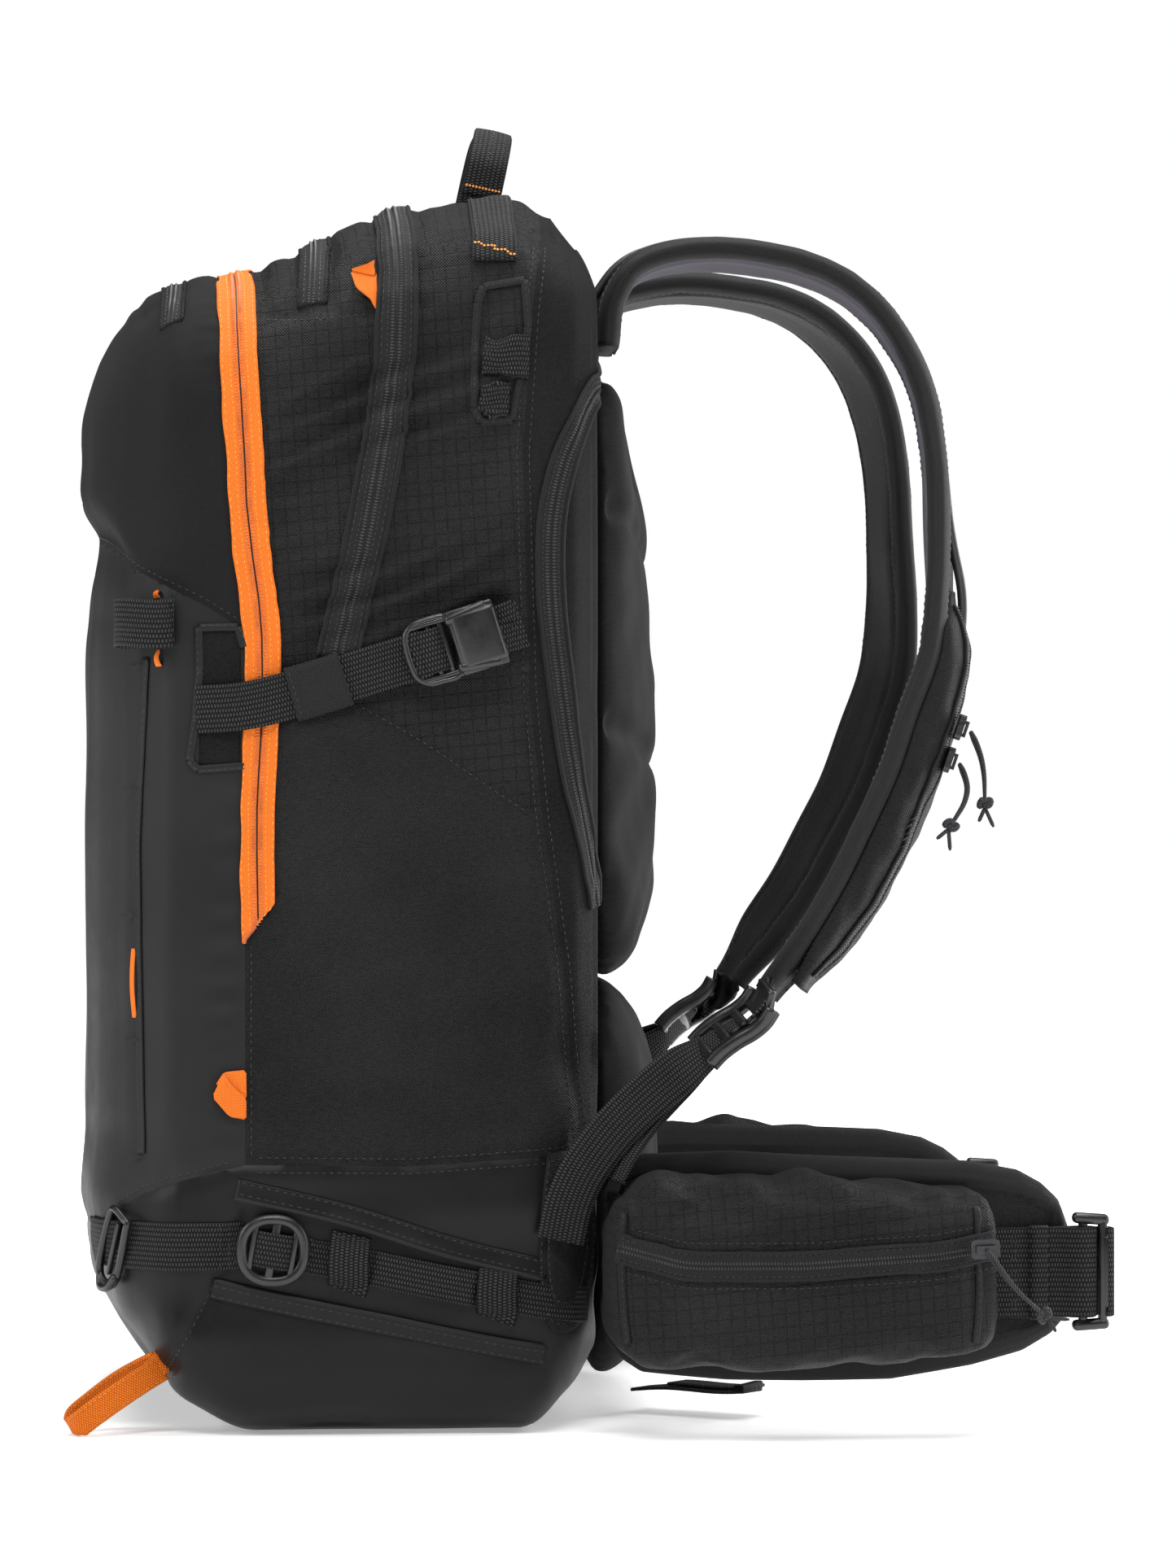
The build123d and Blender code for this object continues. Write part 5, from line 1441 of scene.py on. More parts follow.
# ice axe loop: orange tape sewn at the base corner
ax_ = unit(np.array([-40.0, 0, -21.0]))
az_ = np.array([ax_[2], 0, -ax_[0]])
ao = np.array([-178.6, -127.0, 28.0])
lp = []
for d, side_, h in ((0.0, 0.0, 0.6), (8, -3.4, 0.6), (20, -6.6, 0.4), (34, -7.2, 0.1), (42.4, -5.0, -0.2), (45.6, 0, -0.3), (42.4, 5.0, 0.0), (34, 7.2, 0.5), (20, 6.4, 1.3), (8, 3.0, 1.4), (1.0, 0.6, 1.2)):
    lp.append(ao + ax_ * d + np.array([0, 1.0, 0]) * side_ + az_ * (h - 4.0 * (d / 45.0) ** 2 + (1.2 if side_ > 0 else -0.8)))
ll = spline(lp, 1.5)
ln = np.array([unit(np.cross(az_, t)) for t in tangents(ll)])
axe = [strip(ll, ln, 11.0, 1.3, 0, 9)]
for off_ in (-4.2, 4.2):
    axe.append(stitches(ll + az_ * off_ + ln * 0.75, ln, 1.6, 0.8, 0.45, 0.3, 1))
    axe.append(stitches(ll + az_ * off_ - ln * 0.75, -ln, 1.6, 0.8, 0.45, 0.3, 1))
axe.append(strip([ao + ax_ * -3 + np.array([0, 0, 4.5]), ao + ax_ * 2 + np.array([0, 0, 1.5]), ao + ax_ * 8 + np.array([0, 0, -0.5])], [YN, YN, YN], 10.0, 2.2, 0, 5))
axe = [(np.column_stack([np.asarray(p[0])[:, :2], np.maximum(np.asarray(p[0])[:, 2], 0.3)]), *p[1:]) for p in axe]
piece("axe_loop", axe, "pack", ("web_orange", "thread_orange"), ("ice_axe_loop",))

# webbing inside the side window, and the window's sewn frame
win = []
wy = inside_hit((-38.0, 0, 450.0), (0, -1, 0))[1]
frame_line = [(-44.5, 481.0), (-27.5, 484.0), (-26.0, 464.0), (-29.5, 443.0), (-32.5, 425.5), (-46.0, 424.6), (-48.6, 430.0), (-48.0, 452.0), (-47.0, 474.0)]
fl = side_line(frame_line[:8] + [frame_line[8]], 2.0, -1, curved=False)
fl = np.array([q for q in fl])
for a_, b_ in zip(frame_line, frame_line[1:] + frame_line[:1]):
    seg = side_line([a_, b_], 1.5, -1, curved=False)
    if len(seg) > 2:
        eb = Band(seg, 3.4, 0.8, 0.25, 3)
        win.append(eb.part(0))
        win.append(stitches(eb.row(0.0), eb.nn, 2.0, 1.0, 0.5, 0.35, 2))
for (xa, xb, za, zb, lift_) in ((-45.0, -25.6, 443.4, 461.4, 1.8), (-46.6, -34.0, 426.5, 441.5, 1.2)):
    zc_ = (za + zb) / 2
    seg = side_line([(xa, zc_), (xb, zc_ - 0.5)], 1.5, -1, curved=False)
    bulge = lift_ * np.sin(np.linspace(0, math.pi, len(seg)))
    wb = Band(seg, zb - za, 1.5, 0.3, 9, lifts=bulge)
    win.append(wb.part(1))
    for i in (1, 2, len(seg) - 2, len(seg) - 3):
        if 0 <= i < len(seg):
            l_, n_ = wb.cross(i)
            win.append(stitches(l_, n_, 1.8, 0.8, 0.5, 0.35, 2))
symmetric("side_window", win, "pack", ("tape", "web", "thread"), ("window_webbing",))

# front window slot: sewn frame, dark inside, webbing coming out
slot_ = []
fr = [(-163.5, 338.0), (-147.0, 338.5), (-144.6, 330.0), (-144.4, 280.5), (-163.5, 279.0), (-167.0, 283.0), (-164.5, 300.0), (-163.0, 320.0)]
for a_, b_ in zip(fr, fr[1:] + fr[:1]):
    if a_[0] > -146.5 and b_[0] > -146.5:
        continue
    seg = side_line([a_, b_], 1.5, -1, curved=False)
    if len(seg) > 2:
        eb = Band(seg, 3.6, 0.9, 0.25, 3)
        slot_.append(eb.part(0))
        slot_.append(stitches(eb.row(0.6), eb.nn, 2.0, 1.0, 0.5, 0.35, 2))
seg = side_line([(-154.5, 281.0), (-154.2, 336.5)], 2.0, -1, curved=False)
slot_.append(Band(seg, 17.0, 0.25, 0.2, 7).part(1))
symmetric("front_slot", slot_, "pack", ("coated", "lining", "thread_grey"))

# overlay slits down the front corners, with bartacks and a flash of orange lining
sl = []
line_ = side_line([(float(x_front_corner(z)), z) for z in np.linspace(118, 326, 14)], 2.0, -1)
ov = Band(line_ + np.array([2.2, 0, 0]), 4.4, 0.7, 0.2, 5)
sl.append(ov.part(0))
sl.append(stitches(ov.row(-0.6), ov.nn, 2.3, 1.1, 0.5, 0.35, 1))
for z_ in (323.0, 271.0, 218.0, 166.0, 116.5):
    x_ = float(x_front_corner(z_))
    q = inside_hit((x_, 0, z_), (0, -1, 0))
    s_, n_ = near(q, skin)
    sl.append(tack(np.array(s_) + unit(n_) * 0.9, (1, -0.25, 0), n_, 11.0, 1.5, 2))
seg = side_line([(float(x_front_corner(z)) - 0.9, z) for z in np.linspace(175, 204, 6)], 1.5, -1)
fat = 1.3 * np.sin(np.linspace(0, math.pi, len(seg)))
ob_ = Band(seg, 2.6, 0.5, 0.4, 3, lifts=fat)
sl.append(ob_.part(3))
symmetric("front_overlay", sl, "pack", ("coated", "thread_grey", "thread", "tape_orange"))

# seam stitching over the bag
sew = []
def seam(poly, off_=0.0, curved=True, mat=0, z=False):
    p_ = side_line(poly, 2.0, -1, curved)
    if len(p_) > 3:
        b_ = Band(p_, 2.4, 0.01, 0.05, 3)
        sew.append(stitches(b_.row(0, 0.1), b_.nn, 2.2, 1.1, 0.55, 0.4, mat))


zs_ = np.linspace(118, 206, 20)
seam([(float(x_zip(z)) + 2.6, z) for z in zs_])
for dz in (-3.0, 3.2):
    seam([(x, float(z_boot(x)) + dz) for x in np.linspace(-140, -4, 30)])
seam([(x, float(z_boot(x)) + 2.8) for x in np.linspace(-198, -150, 14)])
seam([(x, float(z_dome(x)) + 3.0) for x in np.linspace(-206, -146, 18)])
for dx in (-2.6, 2.6):
    seam([(float(x_gusset(z)) + dx, z) for z in np.linspace(122, 500, 40)])
seam([(-97, 306.0), (-70, 290.6), (-42, 271.6), (-26, 261.0)])
seam([(-137, 468.0), (-120, 467.2), (-92, 469.5)])
seam([(-146, 91), (-162, 54), (-178, 25)])
symmetric("seam_thread", sew, "pack", ("thread_grey",))

# ------------------------------------------------------------------ carry handle
LEAN = math.radians(12.0)
HP = np.array([-38.5, 0, 541.4])
HU = np.array([math.sin(LEAN), 0, math.cos(LEAN)])
HN = np.array([math.cos(LEAN), 0, -math.sin(LEAN)])
arch = [(-46.2, -11.5), (-46.0, -3), (-45.6, 3.4), (-41.0, 11.2), (-34.5, 16.8), (-25, 19.9), (-12, 21.3), (0, 21.5), (12, 21.3), (25, 19.9), (34.5, 16.8), (41.0, 11.2), (45.6, 3.4), (46.0, -3), (46.2, -11.5)]
hl = spline([HP + np.array([0, 1, 0]) * y + HU * h for y, h in arch], 1.6)
ht = tangents(hl)
hn_ = np.cross(ht, HN)
if hn_[len(hn_) // 2] @ HU < 0:
    hn_ = -hn_
pinch = 1.0 - 0.13 * bell(arc_len(hl) - arc_len(hl)[-1] / 2, 24.0)
han = [strip(hl, hn_, 17.4, 1.7, 0, 11, bow=0.55, widths=pinch)]
han.append(strip(hl - hn_ * 1.7, hn_, 16.2, 1.3, 0, 11, widths=pinch))
for off_ in (-7.0, 0.0, 7.0):
    han.append(stitches(hl[8:-8] + HN * off_ * 0.9 + hn_[8:-8] * (1.4 if off_ == 0 else 0.95), hn_[8:-8], 2.0, 1.0, 0.5, 0.35, 1))
base_h = HP + np.array([0, -46.6, 0]) - np.array([0, 1.3, 0])
han.append(stitches([base_h + HU * -7.6 - HN * 8.6, base_h + HU * -7.6 + HN * 8.6], [YN, YN], 1.3, 0.15, 1.3, 0.6, 2))
base_l = mirror_y(base_h[None])[0]
han.append(stitches([base_l + HU * -7.6 - HN * 8.6, base_l + HU * -7.6 + HN * 8.6], [-YN, -YN], 1.3, 0.15, 1.3, 0.6, 2))
handle_ob = piece("handle", han, "carry_handle", ("web", "thread", "thread_orange"), ("carry_handle",))
# the sewn ends stay with the bag, and the webbing turns over above them
handle_ob.parent = None
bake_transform(handle_ob)
# sewn tails that run from the handle down the top's shoulders
tails = []
tail_pts = []
for a in np.radians(np.linspace(8, 74, 60)):
    q = inside_hit((-39.5, 0, 428.0), (0, -math.cos(a), math.sin(a)))
    if q is not None and q[2] > 490.5:
        tail_pts.append(q)
tail_pts = np.array(tail_pts)
tail_pts = tail_pts[np.abs(tail_pts[:, 1]) > 42.0]
k_ = len(tail_pts)
tp_ = resample(tail_pts, 2.0)
tb = Band(tp_, 19.0, 1.6, 0.3, 9, taut=2)
tails.append(tb.part(0))
ii = int(np.argmin(np.abs(tb.grid[:, 5, 2] - 529.0)))
for d_ in (-1, 0, 1):
    j_ = min(max(ii + d_, 0), len(tb.grid) - 1)
    if d_ == 0:
        l_, n_ = tb.cross(j_, 1.7)
        tails.append(stitches(l_, n_, 1.5, 0.2, 1.1, 0.5, 1))
diag = []
for f in np.linspace(0, 1, 14):
    i_ = max(len(tb.grid) - 6 + int(round((1 - f) * 3)), 1) if tb.grid[0, 5, 2] > tb.grid[-1, 5, 2] else 1 + int(round(f * 3))
    g_ = tb.grid[min(i_, len(tb.grid) - 1), 1:-1]
    diag.append(g_[int(round(f * (len(g_) - 1)))] + tb.nn[min(i_, len(tb.grid) - 1)] * 1.8)
diag = np.array(diag)
tails.append(stitches(diag, np.repeat(tb.nn[3][None], len(diag), 0), 1.4, 0.15, 1.3, 0.6, 1))
tails.append(stitches(tb.row(-7.6)[6:], tb.nn[6:], 2.0, 1.0, 0.5, 0.35, 2))
tails.append(stitches(tb.row(7.6)[6:], tb.nn[6:], 2.0, 1.0, 0.5, 0.35, 2))
symmetric("handle_tails", tails, "pack", ("web", "thread_orange", "thread"))


# ------------------------------------------------------------------ shoulder straps
STRAP = [(9, 462), (12, 483), (22, 497), (41.5, 503.5), (60, 505), (80.5, 503), (99.5, 498.5), (116.5, 490), (130, 477.5), (140, 462), (148, 442), (152.5, 414), (153.5, 385), (152.5, 355), (149, 328), (139, 302), (130, 277), (119, 254), (108, 232), (96, 212), (86, 197), (77, 184)]
STRAP_LEFT = [(9, 462), (12, 483), (22, 497), (41.5, 503), (60, 504.5), (80.5, 502.5), (99.5, 498.5), (117, 490.5), (131.5, 478.5), (142.5, 463.5), (151, 443.5), (157, 415), (159.5, 385), (161, 354), (159, 325), (150.5, 297), (141.5, 271), (130, 248), (118, 225), (105.5, 206), (96.5, 192), (87.5, 179)]


def drift(z):
    return interp(z, [198, 254, 302, 355, 414, 460, 500], [124, 117, 108, 98, 82, 68, 60])


def strap_lines(points):
    line = spline([(x, 0, z) for x, z in points], 2.0)
    t = tangents(line)
    return line, np.column_stack([-t[:, 2], np.zeros(len(t)), t[:, 0]]), arc_len(line)


def strap_shape(line, nrm, along, sgn, lateral, low):
    """Rings of a padded strap. sgn is -1 for the right strap; lateral is how far the section turns out to the side."""
    verts, us, vs, rows = [], [], [], []
    zs, end = line[:, 2], along[-1]
    hw = 34 - 8 * np.clip((500 - zs) / 300, 0, 1)
    hw = np.where(along < 40, hw * (0.80 + 0.20 * step01(along, 0, 40)), hw)
    hw = hw * (1 - 0.42 * step01(along, end - 34, end))
    theta = np.tan(np.radians(6.0 * step01(along, 90, 200) + 10.0 * step01(along, 230, 360)))
    out_ = np.where(sgn < 0, 2.2 * (1 - step01(along, 150, 300)), 0.0) * step01(along, 20, 60)
    m = 60
    ang = np.linspace(0, 2 * math.pi, m, endpoint=False)
    ca_, sa_ = np.cos(ang), np.sin(ang)
    for i in range(len(line)):
        a = hw[i] * np.sign(ca_) * np.abs(ca_) ** (2 / 5.0)
        half = 5.3 * (1 - 0.25 * step01(along[i], end - 30, end))
        h = half * np.sign(sa_) * np.abs(sa_) ** (2 / 3.2)
        h = h * (1 - 0.30 * (np.abs(a) / hw[i]) ** 6)
        turn = theta[i] * (-a + hw[i] * lateral) - low * step01(along[i], 230, 330)
        d = -2.8 + out_[i] + h + turn
        y = drift(zs[i]) + a
        verts.append(np.column_stack([line[i, 0] + nrm[i, 0] * d, sgn * y, line[i, 2] + nrm[i, 2] * d]))
        us.append(np.full(m, along[i]))
        vs.append(np.concatenate([[0], np.cumsum(np.hypot(np.diff(a), np.diff(h)))]))
        rows.append(np.column_stack([a, h, np.full(m, hw[i])]))
    v = np.concatenate(verts)
    k, faces = len(line), []
    for i in range(k - 1):
        for j in range(m):
            jj = (j + 1) % m
            faces.append((i * m + j, (i + 1) * m + j, (i + 1) * m + jj, i * m + jj))
    faces.append(tuple(range(m)))
    faces.append(tuple((k - 1) * m + j for j in range(m))[::-1])
    return v, faces, np.concatenate(us), np.concatenate(vs), np.concatenate(rows)


strap_tree = {}
for side_name, sgn in (("left", 1), ("right", -1)):
    sl_, sn, ss = strap_lines(STRAP_LEFT if sgn > 0 else STRAP)
    s_end, s_z = ss[-1], sl_[:, 2]
    v, faces, u_, v_, rows = strap_shape(sl_, sn, ss, sgn, 1.0 if sgn < 0 else 0.2, 1.6 if sgn < 0 else 0.0)
    faces = outward(v, faces)
    n_ = vertex_normals(v, faces)
    a, h, hw_ = rows[:, 0], rows[:, 1], rows[:, 2]
    face_out = step01(h, 0.5, 3.0)
    q = np.column_stack([u_ / 1.6, a, np.zeros(len(a))])
    disp_ = 0.55 * waves(q, 34, 21) * (1 - step01(np.abs(a), hw_ - 14, hw_ - 9))
    disp_ += 0.22 * waves(np.column_stack([u_, a * 0.2, h]), 11, 22) * bell(np.abs(a) - (hw_ - 9), 3)
    # seam groove beside the binding, and the binding proud of it
    disp_ -= 0.8 * bell(np.abs(a) - (hw_ - 9.5), 1.5)
    disp_ += 0.5 * step01(np.abs(a), hw_ - 9.0, hw_ - 8.0)
    # a long sewn channel down the middle of the lining
    disp_ -= 0.9 * bell(a, 2.2) * step01(-h, 0.5, 2.5) * step01(u_, 60, 80)
    v = v + n_ * disp_[:, None]
    fc = np.array([np.mean(np.abs(a[list(f)]) - (hw_[list(f)] - 8.6)) for f in faces])
    fh = np.array([np.mean(h[list(f)]) for f in faces])
    fmat = np.where(fc > 0, 1, np.where(fh < 0, 2, 0))
    # painted light: only the right strap's lining gets the light lilac lining colour, partly its own tint and partly
    # painted sheen. The left strap's lining gets the dark strap fabric, a painted shaded copy of the same lining.
    inner = sgn < 0
    ob = make("strap_" + side_name, v, faces, "pack", ("strap", "tape", "lining_tint_and_painted_sheen") if inner else ("strap", "tape"), fmat if inner else np.where(np.asarray(fmat) == 2, 0, fmat), True, u_, np.where(a > 0, 1, -1) * v_, ("shoulder_strap_" + side_name,))
    strap_tree[sgn] = tree_of(v, faces)
    # stitch rows along the binding
    thr = []
    m = 60
    for target in (-1, 1):
        for out_ in (1, -1):
            best = []
            for i in range(2, len(sl_) - 2):
                r_ = rows[i * m:(i + 1) * m]
                cost = np.abs(target * r_[:, 0] - (r_[:, 2] - 7.6)) + 100 * (out_ * r_[:, 1] < 0)
                best.append(i * m + int(np.argmin(cost)))
            nv = vertex_normals(v, faces)
            thr.append(stitches(v[best], nv[best], 2.2, 1.1, 0.5, 0.35, 0))
    piece("strap_thread_" + side_name, thr, "pack", ("thread_grey",))
    # tapered end, and the webbing tab that runs to the ladder lock
    tab = [(79.5, 125.0, 189.0), (78.0, 130.0, 186.5), (76.2, 138.5, 183.2), (74.0, 146.0, 179.6), (71.4, 150.6, 176.8), (66.6, 152.6, 172.8), (64.2, 151.4, 170.8), (66.8, 149.0, 172.0), (72.0, 146.6, 176.8), (76.0, 139.6, 181.6), (79.5, 131.0, 186.4)]
    dx_, dz_t = (0.0, 0.0) if sgn < 0 else (9.6, -6.2)
    tl_ = spline([(x + dx_, sgn * y, z + dz_t) for x, y, z in tab], 1.5)
    across_ = unit(np.array([0.22, sgn * -0.92, -0.16]))
    nrm_ = np.array([unit(np.cross(t, across_)) for t in tangents(tl_)])
    tb_parts = [strip(tl_, nrm_, 18.0, 1.5)]
    piece("strap_tab_" + side_name, tb_parts, "pack", ("web",))

# zipped pocket on the right strap, over the stowed trigger handle
pk0 = int(np.argmin(np.abs(ss - np.interp(0, [0, 1], [ss[np.argmin(np.abs(s_z - 357) + (sl_[:, 0] < 100) * 999)], 0]))))
pk1 = len(sl_) - 5
hwp, pr = [], []
m = 44
ang = np.linspace(0, math.pi, m)
pv, prow = [], []
theta_p = np.tan(np.radians(6.0 * step01(ss, 90, 200) + 10.0 * step01(ss, 230, 360)))
idx = list(range(pk0, pk1))
for i in idx:
    f = (i - pk0) / (pk1 - 1 - pk0)
    w = (25.5 - 3.0 * f) * (1 - 0.55 * (1 - step01(f, 0, 0.10))) * (1 - 0.35 * step01(f, 0.88, 1.0))
    rise = 2.2 + 9.0 * step01(f, 0.0, 0.22) * (1 - 0.75 * step01(f, 0.72, 1.0))
    ca_, sa_ = np.cos(ang), np.sin(ang)
    a = w * np.sign(ca_) * np.abs(ca_) ** 0.55 + 0.5
    h = rise * np.abs(sa_) ** 0.75
    hwid = 34 - 8 * np.clip((500 - s_z[i]) / 300, 0, 1)
    turn = theta_p[i] * (-a + hwid)
    d = 1.4 + h + turn
    d2 = np.full(m - 2, 0.4) + theta_p[i] * (-a[1:-1][::-1] + hwid)
    A = np.concatenate([a, a[1:-1][::-1]])
    D = np.concatenate([d, d2])
    y = drift(s_z[i]) + A
    pv.append(np.column_stack([sl_[i, 0] + sn[i, 0] * D, -y, sl_[i, 2] + sn[i, 2] * D]))
    prow.append(np.column_stack([np.full(len(A), ss[i]), A, np.concatenate([h, np.full(m - 2, -1.0)])]))
r_ = len(pv[0])
pv, prow = np.concatenate(pv), np.concatenate(prow)
pf = []
for i in range(len(idx) - 1):
    for j in range(r_):
        jj = (j + 1) % r_
        pf.append((i * r_ + j, (i + 1) * r_ + j, (i + 1) * r_ + jj, i * r_ + jj))
pf += [tuple(range(r_)), tuple((len(idx) - 1) * r_ + j for j in range(r_))[::-1]]
pf = outward(pv, pf)
pn = vertex_normals(pv, pf)
pd = 0.7 * waves(np.column_stack([prow[:, 0] / 1.5, prow[:, 1], prow[:, 2]]), 24, 31) + 0.3 * waves(pv, 12, 32)
pv = pv + pn * (pd * step01(prow[:, 2], 1.0, 5.0))[:, None]
pocket_tree = tree_of(pv, pf)
pkt = make("strap_pocket_skin", pv, pf, "pack", ("strap",), None, True, prow[:, 0], prow[:, 1], ("strap_pocket",))
pa = []
pline = []
for i in idx[2:-3]:
    f = (i - pk0) / (pk1 - 1 - pk0)
    a_ = 14.0 - 4.0 * f
    y = -(drift(s_z[i]) + a_)
    hwid = 34 - 8 * np.clip((500 - s_z[i]) / 300, 0, 1)
    d_ = 14.0 + theta_p[i] * (-a_ + hwid)
    pline.append((sl_[i, 0] + sn[i, 0] * d_, y, sl_[i, 2] + sn[i, 2] * d_))
zb = Band(np.array(pline), 9.0, 0.7, 0.25, 7, tree=pocket_tree)
pa.append(zb.part(0))
pa += [(*x[:4], 1) for x in coil(zb, (1,), 1.3, 1.0, 0.8)]
for o in (-3.6, 3.6):
    pa.append(stitches(zb.row(o), zb.nn, 1.8, 0.9, 0.45, 0.3, 2))
for o in (-5.6, 5.6):
    pa.append((*tube(zb.row(np.sign(o) * 4.5, 0.5), 0.8, 6), 0))
piece("strap_pocket_zip", pa, "pack", ("tape", "coil", "thread_grey"))
# a trigger flap with a zigzag sewn edge
tri = []
q0 = np.array(pline[int(len(pline) * 0.56)])
for k_, (du, dy) in enumerate(((0, -6.0), (3.2, -8.5), (6.0, -6.5), (9.4, -9.0), (12.4, -6.6))):
    t_ = unit(np.array([-0.44, 0, -0.90]))
    c_ = q0 + t_ * (du - 4) + np.array([0, dy, 0])
    s_, n2_ = near(c_, pocket_tree)
    tri.append(tack(np.array(s_) + unit(n2_) * 0.3, unit(np.array([0.5, -0.6, 0.3])), n2_, 5.5, 1.2, 0))
piece("trigger_flap_thread", tri, "pack", ("thread_grey",))

# ------------------------------------------------------------------ lower webbing and ladder locks
lw = []
LT = unit([43.0, 0, 29.0])
LN = np.array([-LT[2], 0, LT[0]])
lo_ = np.array([59.0, -149.0, 168.0])
wline = spline([lo_ + LT * 8 + YN * 1.6, lo_ + LT * 1 + YN * 2.4, lo_ - LT * 10 + YN * 1.8, (36, -151.4, 152.4), (22, -151.6, 140.6), (11, -151.2, 129.6), (2.5, -150.6, 119.0), (-4, -150.2, 109.0), (-9, -149.6, 97.0), (-12.4, -148.8, 82.0)], 2.0)
tip_ = np.radians(interp(arc_len(wline), [0, 17, 40], [66, 62, 0]))
wn_ = np.array([YN * math.cos(a) + LN * math.sin(a) for a in tip_])
lw.append(strip(wline, wn_, 20.0, 1.6))
# the loose end comes back beneath it, turned over once
wl2 = spline([lo_ - LT * 3 + YN * 0.2, lo_ - LT * 14 + YN * -0.6 - LN * 1.0, (36, -147.2, 149), (26, -147.0, 138.0), (18, -147.2, 127.0), (12.5, -148.4, 116.5), (8.5, -149.8, 106.0)], 2.0)
t2 = tangents(wl2)
tw = np.radians(np.interp(arc_len(wl2), [0, 8, 30, 48, arc_len(wl2)[-1]], [62, 60, 6, 30, 62]))
n2 = np.array([YN * math.cos(a) + (LN if i < len(t2) // 2 else unit(np.cross(t, YN))) * math.sin(a) for i, (t, a) in enumerate(zip(t2, tw))])
lw.append(strip(wl2, n2, 18.0, 1.4))
# a folded hem at the loose end
e_ = wl2[-1]
lw.append(rbox(e_ + t2[-1] * 1.0, t2[-1], np.cross(n2[-1], t2[-1]), n2[-1], (5.0, 19.0, 3.0), 0.9))
shift = []
for p in lw:
    q = np.array(p[0])
    k = step01(q[:, 0], -6, 40)
    q[:, 0] += 9.0 * k
    q[:, 2] -= 7.0 * k
    shift.append(flip((q, *p[1:])))
piece("lower_webbing_right", lw, "pack", ("web",), ("strap_webbing_right",))
piece("lower_webbing_left", shift, "pack", ("web",), ("strap_webbing_left",))
# corner tab: layered fabric wedge sewn on the bag's back edge
ct = []
outline = [(-17.5, 118.0), (-8.0, 118.5), (2.0, 104.0), (4.2, 84.0), (1.5, 60.0), (-5.0, 44.0), (-16.0, 44.0), (-21.0, 62.0), (-20.5, 92.0)]
cen = (-8.5, 82.0)
for lay_, (sc, hgt, mt) in enumerate(((1.0, 1.6, 0), (0.74, 3.1, 0))):
    ring_o = np.array([(cen[0] + (x - cen[0]) * sc, cen[1] + (z - cen[1]) * sc) for x, z in outline])
    ring_o = spline([(x, 0, z) for x, z in np.vstack([ring_o, ring_o[:1]])], 3.0)[:-1]
    m_ = len(ring_o)
    vv = []
    for f in (1.0, 0.97, 0.9, 0.6, 0.3, 0.0):
        for p in ring_o:
            x = cen[0] + (p[0] - cen[0]) * max(f, 0.01)
            z = cen[1] + (p[2] - cen[1]) * max(f, 0.01)
            q = inside_hit((min(x, 3.8), 0, z), (0, -1, 0))
            up_ = hgt * (0.0 if f == 1.0 else 0.75 if f == 0.97 else 1.0) + 0.15
            vv.append((x, q[1] - up_ - 0.25 * math.sin(x * 0.5) * math.cos(z * 0.2), z))
    ff = []
    for i in range(5):
        for j in range(m_):
            jj = (j + 1) % m_
            ff.append((i * m_ + j, i * m_ + jj, (i + 1) * m_ + jj, (i + 1) * m_ + j))
    ff.append(tuple(5 * m_ + j for j in range(m_)))
    vv = np.array(vv)
    # faces look outwards (towards -Y)
    nf = np.cross(vv[ff[2 * m_][1]] - vv[ff[2 * m_][0]], vv[ff[2 * m_][2]] - vv[ff[2 * m_][0]])
    if nf[1] > 0:
        ff = [f[::-1] for f in ff]
    ct.append((vv, ff, np.zeros(len(vv)), np.zeros(len(vv)), mt))
    rr_ = vv[2 * m_:3 * m_]
    ct.append(stitches(np.vstack([rr_, rr_[:1]]), np.repeat(YN[None], m_ + 1, 0), 2.2, 1.1, 0.5, 0.4, 1))
symmetric("corner_tab", ct, "pack", ("twill", "thread_grey"))

# the lock lies across the strap's end, nearly edge on from the side
LW = unit(YN * math.sin(math.radians(68)) * -1 + LN * math.cos(math.radians(68)))
LF = unit(np.cross(LT, LW))
if LF @ YN < 0:
    LF = -LF
lk = []
for c_, size in (((-12.5, 0), (4.2, 26.0, 4.6)), ((-2.5, 0), (4.4, 26.0, 4.6)), ((7.0, 0), (4.2, 26.0, 4.6)), ((15.0, 0), (5.0, 25.0, 4.8))):
    lk.append(rbox(lo_ + LT * c_[0] + LF * 1.2, LT, LW, LF, size, 1.8))
for s_ in (-1, 1):
    side_bar = spline([lo_ + LW * 12.6 * s_ + LT * d_ + LF * h_ for d_, h_ in ((-14.5, 0.2), (-8.0, 1.8), (0.0, 2.2), (8.0, 1.6), (14.0, 2.4), (19.5, 5.0))], 1.0)
    lk.append(strip(side_bar, np.repeat(LF[None], len(side_bar), 0), 4.0, 6.4, n=4))
lip_ = spline([lo_ + LT * d_ + LF * h_ for d_, h_ in ((14.0, 2.4), (17.5, 4.0), (21.0, 6.2), (24.0, 9.4))], 1.0)
lk.append(strip(lip_, np.repeat(unit(LF - LT * 0.4)[None], len(lip_), 0), 17.0, 2.6, n=5))
lk += [flip((np.asarray(p[0]) + np.array([9.0, 0, -7.0]), *p[1:])) for p in lk]
piece("ladder_lock", lk, "pack", ("plastic",), ("ladder_locks",))

# leg strap folded under the belt
ld = unit([0.85, -0.52, 0.04])
lc = np.array([30.0, -62.0, 9.6])
lg = [lc + ld * s + np.array([0, 0, 1.2 * math.sin(s / 9.0) * 0.6]) for s in np.linspace(-2, 52, 28)]
lz = np.repeat([[0.0, 0.05, 1.0]], 28, 0)
legs = [strip(lg, lz, 20.0, 1.5), strip([p + np.array([1.5, 1.5, 1.7]) for p in lg[8:]], lz[8:], 19.0, 1.3)]
legs.append(rbox(lc + ld * 50 + np.array([0, 0, 1.2]), ld, np.cross([0, 0, 1], ld), (0, 0, 1), (5.0, 21.0, 3.6), 1.1))
piece("leg_strap_stub", legs, "pack", ("web",), ("leg_strap",))


